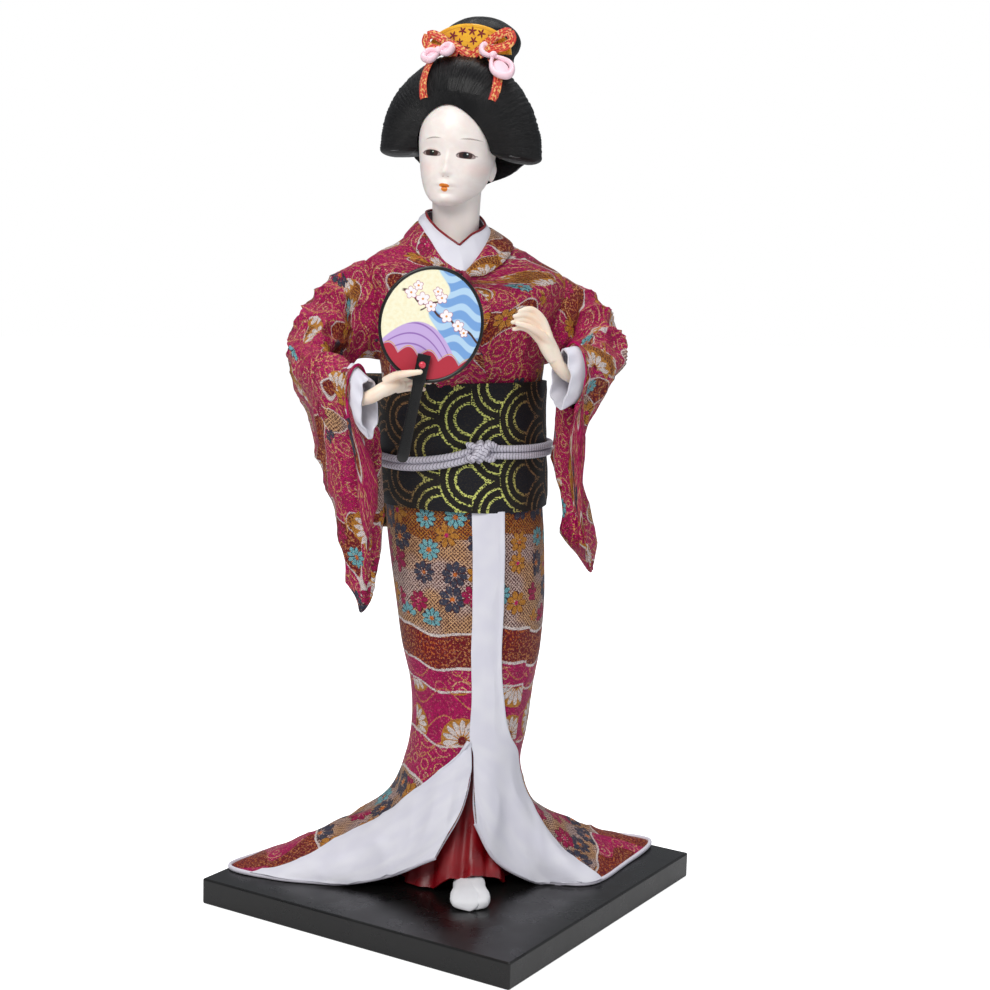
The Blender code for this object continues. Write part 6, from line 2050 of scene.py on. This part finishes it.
def spot(graph, x, z, centre, half, turn=0.0, bend=0.0):
    """A soft field round a slanted ellipse of the face: 1 on its outline and less inside; bend curves it."""
    c, s = math.cos(math.radians(turn)), math.sin(math.radians(turn))
    dx = x - centre[0]
    dz = z - centre[1]
    along = (dx * c + dz * s) * (1 / half[0])
    up = (dz * c - dx * s) * (1 / half[1])
    return graph.length(along, up + along * along * bend if bend else up)


# Painted eyes: middle, half width, half height, slant
EYES = [((-4.5, -0.15), (3.5, 0.98), -2.0), ((6.9, -0.40), (2.6, 1.05), -3.0)]
# Brows: middle and slant
BROWS = [((-3.9, 4.75), 6.0), ((8.3, 4.9), -2.0)]


def face_paint():
    """White painted skin with brown brows, dark eyes and small orange-red lips."""
    graph = Graph("face_paint")
    x, z = graph.cloth()
    grain = graph.noise(graph.vector(x, z), 0.35, 3.0)
    colour = graph.mix(graph.ramp(grain, 0.35, 0.7), SKIN, srgb(246, 237, 231))
    for centre in ((-6.0, -5.0), (10.0, -5.0)):
        blush = graph.ramp(spot(graph, x, z, centre, (4.5, 3.2)), 1.0, 0.0)
        colour = graph.mix(blush * 0.35, colour, srgb(238, 196, 188))
    for centre, half, turn in EYES:
        lid = graph.ramp(spot(graph, x, z, (centre[0], centre[1] + 0.75), (half[0] * 1.15, 1.1), turn, 0.5),
                         1.0, 0.55)
        colour = graph.mix(lid * 0.35, colour, srgb(205, 160, 150))
        white = spot(graph, x, z, centre, half, turn, 0.30)
        shape = graph.ramp(white, 1.03, 0.97)
        colour = graph.mix(shape, colour, srgb(168, 150, 146))
        iris = graph.ramp(spot(graph, x, z, (centre[0], centre[1] + 0.05), (half[0] * 0.76, 1.7)),
                          1.03, 0.90)
        colour = graph.mix(iris * shape, colour, srgb(62, 36, 30))
        pupil = graph.ramp(spot(graph, x, z, (centre[0] + 0.10, centre[1] + 0.05), (0.95, 0.95)), 1.05, 0.9)
        colour = graph.mix(pupil * shape, colour, srgb(12, 8, 8))
        glint = graph.ramp(spot(graph, x, z, (centre[0] + 0.55, centre[1] + 0.42), (0.22, 0.20)), 1.1, 0.8)
        colour = graph.mix(glint * shape, colour, srgb(250, 250, 250))
        upper = graph.ramp(graph.size(white - 1.0), 0.16, 0.06) * graph.ramp(z - centre[1], -0.25, 0.25)
        colour = graph.mix(upper * 0.9, colour, srgb(52, 32, 28))
        lower = graph.ramp(graph.size(white - 1.0), 0.10, 0.03) * graph.ramp(z - centre[1], 0.1, -0.3)
        colour = graph.mix(lower * 0.5, colour, srgb(96, 62, 50))
        tip = (centre[0] + math.copysign(half[0], centre[0]) * 1.05, centre[1] - 0.15)
        corner = graph.ramp(spot(graph, x, z, tip, (0.6, 0.16), turn), 1.1, 0.7)
        colour = graph.mix(corner * 0.8, colour, srgb(80, 52, 44))
    for centre, turn in BROWS:
        brow = graph.ramp(spot(graph, x, z, centre, (3.1, 0.26), turn, 1.5), 1.15, 0.65)
        hairs = graph.ramp(graph.sin((x * 1.0 + z * 1.6) * 9.0), -1.0, 0.2)
        colour = graph.mix(brow * (hairs * 0.3 + 0.40), colour, srgb(96, 72, 62))
    upper_lip = graph.most(graph.ramp(spot(graph, x, z, (0.60, -10.40), (1.15, 0.60), 10.0), 1.05, 0.92),
                           graph.ramp(spot(graph, x, z, (1.95, -10.45), (0.95, 0.58), -10.0), 1.05, 0.92))
    lower_lip = graph.ramp(spot(graph, x, z, (1.3, -11.55), (1.10, 0.92)), 1.05, 0.92)
    colour = graph.mix(graph.most(upper_lip, lower_lip), colour, srgb(236, 138, 36))
    part_line = graph.ramp(spot(graph, x, z, (1.3, -11.0), (1.4, 0.15), 0.0, -0.6), 1.2, 0.7)
    colour = graph.mix(part_line * 0.8, colour, srgb(130, 34, 12))
    # Painted shade: soft darker marks where the nostrils open, for holes that the face's mesh doesn't have.
    for place in (0.75, 2.45):
        hole = graph.ramp(spot(graph, x, z, (place, -7.55), (0.42, 0.20), 10.0 if place < 1.6 else -10.0),
                          1.2, 0.6)
        colour = graph.mix(hole * 0.5, colour, srgb(176, 140, 130))
    graph.bump(grain, 0.08, 0.0002)
    glossy = graph.ramp(grain, 0.3, 0.7) * 0.08 + 0.34
    return graph.paint(colour, glossy, Subsurface_Weight=0.12, Subsurface_Scale=0.002, Coat_Weight=0.15,
                       Coat_Roughness=0.3)


def hand_paint():
    graph = Graph("hand_paint")
    place = graph.place()
    grain = graph.noise(place, 160.0, 3.0)
    fine = graph.noise(place, 900.0, 2.0)
    colour = graph.mix(graph.ramp(grain, 0.35, 0.7), HAND_SKIN, srgb(250, 222, 198))
    graph.bump(fine, 0.06, 0.0002)
    return graph.paint(colour, graph.ramp(fine, 0.3, 0.7) * 0.1 + 0.36, Subsurface_Weight=0.15,
                       Subsurface_Scale=0.002)


def hair_strands():
    graph = Graph("hair_strands")
    u, v = graph.cloth()
    strand = graph.noise(graph.vector(v * 3.2, u * 0.12), 1.1, 4.0, 0.7)
    fine = graph.noise(graph.vector(v * 14.0, u * 0.2), 1.1, 2.0, 0.7)
    colour = graph.mix(graph.ramp(strand, 0.35, 0.7), srgb(3, 3, 4), srgb(13, 12, 14))
    graph.bump(strand * 1.3 + fine * 0.7, 0.7, 0.0003)
    return graph.paint(colour, graph.ramp(strand, 0.3, 0.7) * 0.14 + 0.28, Anisotropic=0.6,
                       Specular_IOR_Level=0.25, Coat_Weight=0.08, Coat_Roughness=0.12)


def lacquer(name, colour, worn, rough, coat):
    graph = Graph(name)
    place = graph.place()
    grain = graph.noise(place, 90.0, 4.0)
    specks = graph.noise(place, 1400.0, 2.0)
    mixed = graph.mix(graph.ramp(grain, 0.3, 0.75), colour, worn)
    graph.bump(specks, 0.03, 0.0002)
    return graph.paint(mixed, graph.ramp(grain, 0.3, 0.7) * 0.10 + rough, Coat_Weight=coat,
                       Coat_Roughness=0.08)


# Leaf clusters of the comb: place and size in millimetres, and turn
COMB_LEAVES = [(-8.8, 3.4, 1.2, 0.1), (-5.8, 5.6, 1.3, 0.5), (-2.6, 7.2, 1.2, 0.8), (0.8, 7.3, 1.3, 0.3),
               (4.0, 6.6, 1.3, 0.6), (7.0, 5.0, 1.2, 0.0), (9.6, 2.8, 1.2, 0.4), (-3.4, 3.6, 1.1, 0.2),
               (1.4, 4.2, 1.2, 0.7), (5.2, 3.2, 1.1, 0.9), (-11.4, 1.8, 0.9, 0.5), (-0.8, 1.8, 1.0, 0.4)]


def comb_surface():
    """A yellow comb with small clusters of dark red leaves."""
    graph = Graph("comb_yellow")
    x, z = graph.cloth()
    grain = graph.noise(graph.vector(x * 0.4, z), 0.5, 3.0)
    colour = graph.mix(graph.ramp(grain, 0.35, 0.7), srgb(244, 186, 44), srgb(226, 156, 28))
    for centre_x, centre_z, size, turn in COMB_LEAVES:
        dx = x - centre_x
        dz = z - centre_z
        angle = graph.math("ARCTAN2", dz, dx) * (5 / (2 * math.pi)) + turn
        point = graph.size(graph.wrap(angle) - 0.5)
        reach = (0.32 + (0.5 - point) * 1.9) * size
        colour = graph.mix(graph.ramp(graph.length(dx, dz) - reach, 0.06, -0.08), colour, srgb(120, 18, 30))
    rim = graph.length(x * (1 / 14.6), z * (1 / 9.5))
    colour = graph.mix(graph.ramp(graph.size(rim - 0.91), 0.018, 0.006) * 0.5, colour, srgb(170, 96, 16))
    graph.bump(grain, 0.1, 0.0002)
    return graph.paint(colour, graph.ramp(grain, 0.3, 0.7) * 0.08 + 0.25, Coat_Weight=0.4, Coat_Roughness=0.1)


def ribbon_weave():
    """A red and gold woven ribbon with fine lengthwise stripes."""
    graph = Graph("ribbon_weave")
    u, v = graph.cloth()
    stripes = graph.sin(u * (2 * math.pi / 0.85))
    marks = graph.noise(graph.vector(u * 1.2, v), 1.0, 1.0)
    colour = graph.mix(graph.ramp(stripes, -0.2, 0.3), srgb(186, 22, 26), srgb(216, 70, 34))
    colour = graph.mix(graph.ramp(marks, 0.52, 0.60), colour, srgb(234, 178, 104))
    dark = graph.noise(graph.vector(u, v), 0.4, 2.0)
    colour = graph.mix(graph.ramp(dark, 0.58, 0.72) * 0.6, colour, srgb(84, 10, 20))
    graph.bump(stripes * 0.5 + marks * 0.6, 0.5, 0.0002)
    return graph.paint(colour, graph.ramp(dark, 0.3, 0.7) * 0.1 + 0.42, Sheen_Weight=0.2)


# Blossoms of the fan's print: place and size in millimetres
FAN_BLOSSOMS = [(-8.2, 8.6, 1.9), (-4.2, 7.4, 2.1), (-1.2, 5.6, 1.7), (1.6, 8.9, 1.8), (4.2, 3.6, 2.0),
                (8.4, 1.4, 1.8), (-6.4, 11.2, 1.5), (0.0, 10.6, 1.4), (10.6, -0.4, 1.3)]


def fan_print():
    """A printed fan leaf: pale yellow and blue waves, a lilac hill, red clouds and a white blossom branch."""
    graph = Graph("fan_print")
    x, z = graph.cloth()
    paper = graph.noise(graph.vector(x, z), 0.9, 3.0)
    colour = graph.mix(graph.ramp(paper, 0.35, 0.7), srgb(250, 246, 216), srgb(246, 238, 200))
    water = graph.sin(z * 1.25 + graph.sin(x * 0.55) * 1.6)
    blue = graph.mix(graph.ramp(water, -0.1, 0.5), srgb(118, 164, 220), srgb(182, 214, 240))
    edge = x + graph.sin(z * 0.42) * 2.6
    colour = graph.mix(graph.ramp(edge, 0.8, 1.4), colour, blue)
    hill = z + 1.8 + (x + 2.8) * (x + 2.8) * 0.060
    colour = graph.mix(graph.ramp(hill, 2.2, 1.8), colour, srgb(200, 172, 224))
    ridge = graph.ramp(graph.sin(hill * 1.9 + x * 0.3), 0.80, 0.95) * graph.ramp(hill, 2.0, 1.6)
    colour = graph.mix(ridge, colour, srgb(150, 108, 184))
    cloud = z + 11.0 + graph.size(graph.sin(x * 0.48 + 0.9)) * -2.6
    colour = graph.mix(graph.ramp(cloud, 0.3, 0.0), colour, srgb(182, 38, 58))
    colour = graph.mix(graph.ramp(graph.size(cloud - 0.55), 0.22, 0.10), colour, srgb(216, 170, 84))
    branch = graph.ramp(graph.size(z - 4.6 + x * 0.42 + graph.sin(x * 0.9) * 0.6), 0.52, 0.34)
    colour = graph.mix(branch * graph.ramp(x, -11.5, -10.5), colour, srgb(70, 40, 34))
    twig = graph.ramp(graph.size(z - 7.2 - x * 0.75 + graph.sin(x * 1.3) * 0.3), 0.34, 0.2)
    colour = graph.mix(twig * graph.ramp(x, -4.5, -4.0) * graph.ramp(x, 3.0, 2.5), colour, srgb(70, 40, 34))
    for centre_x, centre_z, size in FAN_BLOSSOMS:
        dx = x - centre_x
        dz = z - centre_z
        radius = graph.length(dx, dz)
        lobe = graph.size(graph.wrap(graph.math("ARCTAN2", dz, dx) * (5 / (2 * math.pi))) - 0.5)
        beyond = radius - (1.0 - lobe * lobe * 1.6) * size
        colour = graph.mix(graph.ramp(beyond, 0.24, 0.10), colour, srgb(186, 96, 122))
        colour = graph.mix(graph.ramp(beyond, 0.06, -0.08), colour, srgb(250, 244, 246))
        colour = graph.mix(graph.ramp(radius, 0.42, 0.30), colour, srgb(226, 150, 60))
    graph.bump(paper, 0.12, 0.0002)
    return graph.paint(colour, graph.ramp(paper, 0.3, 0.7) * 0.1 + 0.5)


def grain_surface(name, one, other, rough, scale, metallic):
    """A plain material with a fine grain, for inner parts."""
    graph = Graph(name)
    place = graph.place()
    grain = graph.noise(place, scale, 4.0)
    colour = graph.mix(graph.ramp(grain, 0.3, 0.7), one, other)
    graph.bump(grain, 0.25, 0.0003)
    return graph.paint(colour, graph.ramp(grain, 0.3, 0.7) * 0.15 + rough, Metallic=metallic)


def dress_node(name, surface):
    """Gives a solid that stays in view its finished material."""
    node = bpy.data.objects[name]
    for index in range(max(1, len(node.material_slots))):
        if index < len(node.data.materials):
            node.data.materials[index] = surface
        else:
            node.data.materials.append(surface)


# Stage

def stage_set():
    """A pale floor and backdrop, soft lights and the photograph's camera."""
    floor = bpy.data.meshes.new("floor")
    floor.from_pydata([(-3, -3, -0.0002), (3, -3, -0.0002), (3, 3, -0.0002), (-3, 3, -0.0002)], [],
                      [(0, 1, 2, 3)])
    ground = bpy.data.objects.new("floor", floor)
    bpy.context.scene.collection.objects.link(ground)
    surface = Graph("floor_paper")
    place = surface.place()
    grain = surface.noise(place, 240.0, 3.0)
    rough = surface.ramp(grain, 0.3, 0.7) * 0.1 + 0.6
    surface.paint(surface.mix(grain, srgb(238, 238, 239), srgb(243, 243, 244)), rough)
    path = surface.node("ShaderNodeLightPath")
    surface.shader.inputs["Emission Color"].default_value = (1.0, 1.0, 1.0, 1.0)
    seen = Wire(surface, path.outputs["Is Camera Ray"])
    surface.plug(surface.shader.inputs["Emission Strength"], seen * FLOOR_GLOW)
    floor.materials.append(surface.surface)

    world = bpy.data.worlds.new("studio")
    bpy.context.scene.world = world
    world.use_nodes = True
    nodes = world.node_tree.nodes
    links = world.node_tree.links
    light = nodes["Background"]
    light.inputs["Color"].default_value = (0.90, 0.94, 1.0, 1.0)
    light.inputs["Strength"].default_value = WORLD_STRENGTH
    seen = nodes.new("ShaderNodeBackground")
    seen.inputs["Color"].default_value = (1.0, 1.0, 1.0, 1.0)
    seen.inputs["Strength"].default_value = 1.0
    path = nodes.new("ShaderNodeLightPath")
    mixed = nodes.new("ShaderNodeMixShader")
    links.new(path.outputs["Is Camera Ray"], mixed.inputs[0])
    links.new(light.outputs[0], mixed.inputs[1])
    links.new(seen.outputs[0], mixed.inputs[2])
    links.new(mixed.outputs[0], nodes["World Output"].inputs["Surface"])

    for name, place_at, aim, size, power, colour in LIGHTS:
        data = bpy.data.lights.new(name, "AREA")
        data.shape = "RECTANGLE"
        data.size, data.size_y = size
        data.energy = power
        data.color = colour
        lamp = bpy.data.objects.new(name, data)
        lamp.location = place_at
        lamp.rotation_euler = (Vector(aim) - Vector(place_at)).to_track_quat("-Z", "Y").to_euler()
        bpy.context.scene.collection.objects.link(lamp)

    data = bpy.data.cameras.new("photo")
    data.lens = CAMERA_LENS
    data.sensor_width = CAMERA_SENSOR
    data.clip_start = 0.01
    camera = bpy.data.objects.new("photo", data)
    yaw, pitch, roll = (math.radians(value) for value in (CAMERA_YAW, CAMERA_PITCH, CAMERA_ROLL))
    forward = -Vector((math.sin(yaw) * math.cos(pitch), -math.cos(yaw) * math.cos(pitch), math.sin(pitch)))
    right = forward.cross(Vector((0, 0, 1))).normalized()
    up = right.cross(forward)
    right, up = turned(right, up, roll)
    facing = Matrix((right, up, -forward)).transposed()
    camera.matrix_world = Matrix.Translation(Vector(CAMERA_PLACE)) @ facing.to_4x4()
    bpy.context.scene.collection.objects.link(camera)
    bpy.context.scene.camera = camera
    settings = bpy.context.scene.view_settings
    settings.view_transform = "Standard"
    settings.look = "None"


WORLD_STRENGTH = 0.29
# Share of its own light that the floor shows to the camera, so that it ends without a line
FLOOR_GLOW = 0.82
# Lights: name, place, aim, size, watts and colour
LIGHTS = [
    ("key", (-0.55, -0.75, 0.95), (0.0, 0.0, 0.17), (0.6, 0.6), 10.2, (1.0, 0.99, 0.97)),
    ("fill", (0.85, -0.55, 0.50), (0.0, 0.0, 0.14), (0.8, 0.8), 1.9, (0.97, 0.98, 1.0)),
    ("top", (0.05, 0.20, 1.15), (0.0, 0.0, 0.20), (0.6, 0.6), 4.4, (1.0, 1.0, 1.0)),
]


# Inner solids: material, its two colours, roughness, grain and metal
INNER_PARTS = [
    ("support_dowel", "dowel_wood", (196, 160, 116), (170, 132, 90), 0.55, 300.0, 0.0),
    ("body_core", "stuffing", (226, 219, 204), (208, 200, 182), 0.85, 420.0, 0.0),
    ("armature_wire", "wire", (150, 150, 152), (120, 120, 124), 0.30, 700.0, 1.0),
]


def main():
    stage_set()
    skirt_brocade = brocade_skirt()
    top_brocade = brocade_top()
    white = satin("white_satin", SATIN_WHITE, srgb(208, 206, 222), 0.38)
    # The red satin is darker than the cloth's own deep red: partly painted shade for the shadow inside the
    # underskirt's folds.
    red = satin("red_satin", srgb(146, 4, 18), srgb(84, 0, 8), 0.26, 0.0)
    sock = satin("sock_cotton", srgb(238, 238, 240), srgb(222, 221, 226), 0.6, 0.2, 1.5)
    black = lacquer("black_lacquer", srgb(11, 10, 10), srgb(17, 16, 15), 0.24, 0.0)
    lining_red = satin("sleeve_lining", srgb(150, 8, 60), srgb(110, 4, 44), 0.5)
    angles, grid = build_skirt(skirt_brocade, brocade_lining())
    build_lapels(angles, grid, white)
    build_underskirt(red)
    build_foot(sock)
    bodice, bodice_grid = build_bodice(top_brocade, lining_red)
    build_neck_bands(bodice, bodice_grid, top_brocade, lining_red)
    build_collar(white, red)
    build_sleeve("left", LEFT_SLEEVE, LEFT_MOUTH, top_brocade, white, 3.0)
    build_sleeve("right", RIGHT_SLEEVE, RIGHT_MOUTH, top_brocade, white, 8.0)
    sash = obi_cloth()
    build_obi(sash)
    build_obi_bow(sash)
    cord = braid()
    build_cords(cord)
    build_knot(cord)
    build_head(face_paint())
    build_hands(hand_paint())
    hair = hair_strands()
    build_hair_roll(hair)
    build_hair_back(hair)
    build_topknot(hair)
    build_wing_edges(lacquer("wing_gloss", srgb(10, 10, 12), srgb(20, 20, 22), 0.08, 1.0))
    build_comb(comb_surface())
    build_ribbons(ribbon_weave())
    build_bows(satin("pink_satin", srgb(255, 226, 234), srgb(246, 190, 208), 0.28, 0.1, 2.0))
    build_fan_leaf(fan_print())
    build_fan_rim(black)
    build_fan_handle(black, lacquer("rivet_red", srgb(222, 60, 80), srgb(206, 44, 66), 0.25, 0.3))
    dress_node("base_board", black)
    for name, material, one, other, rough, scale, metallic in INNER_PARTS:
        dress_node(name, grain_surface(material, srgb(*one), srgb(*other), rough, scale, metallic))


main()
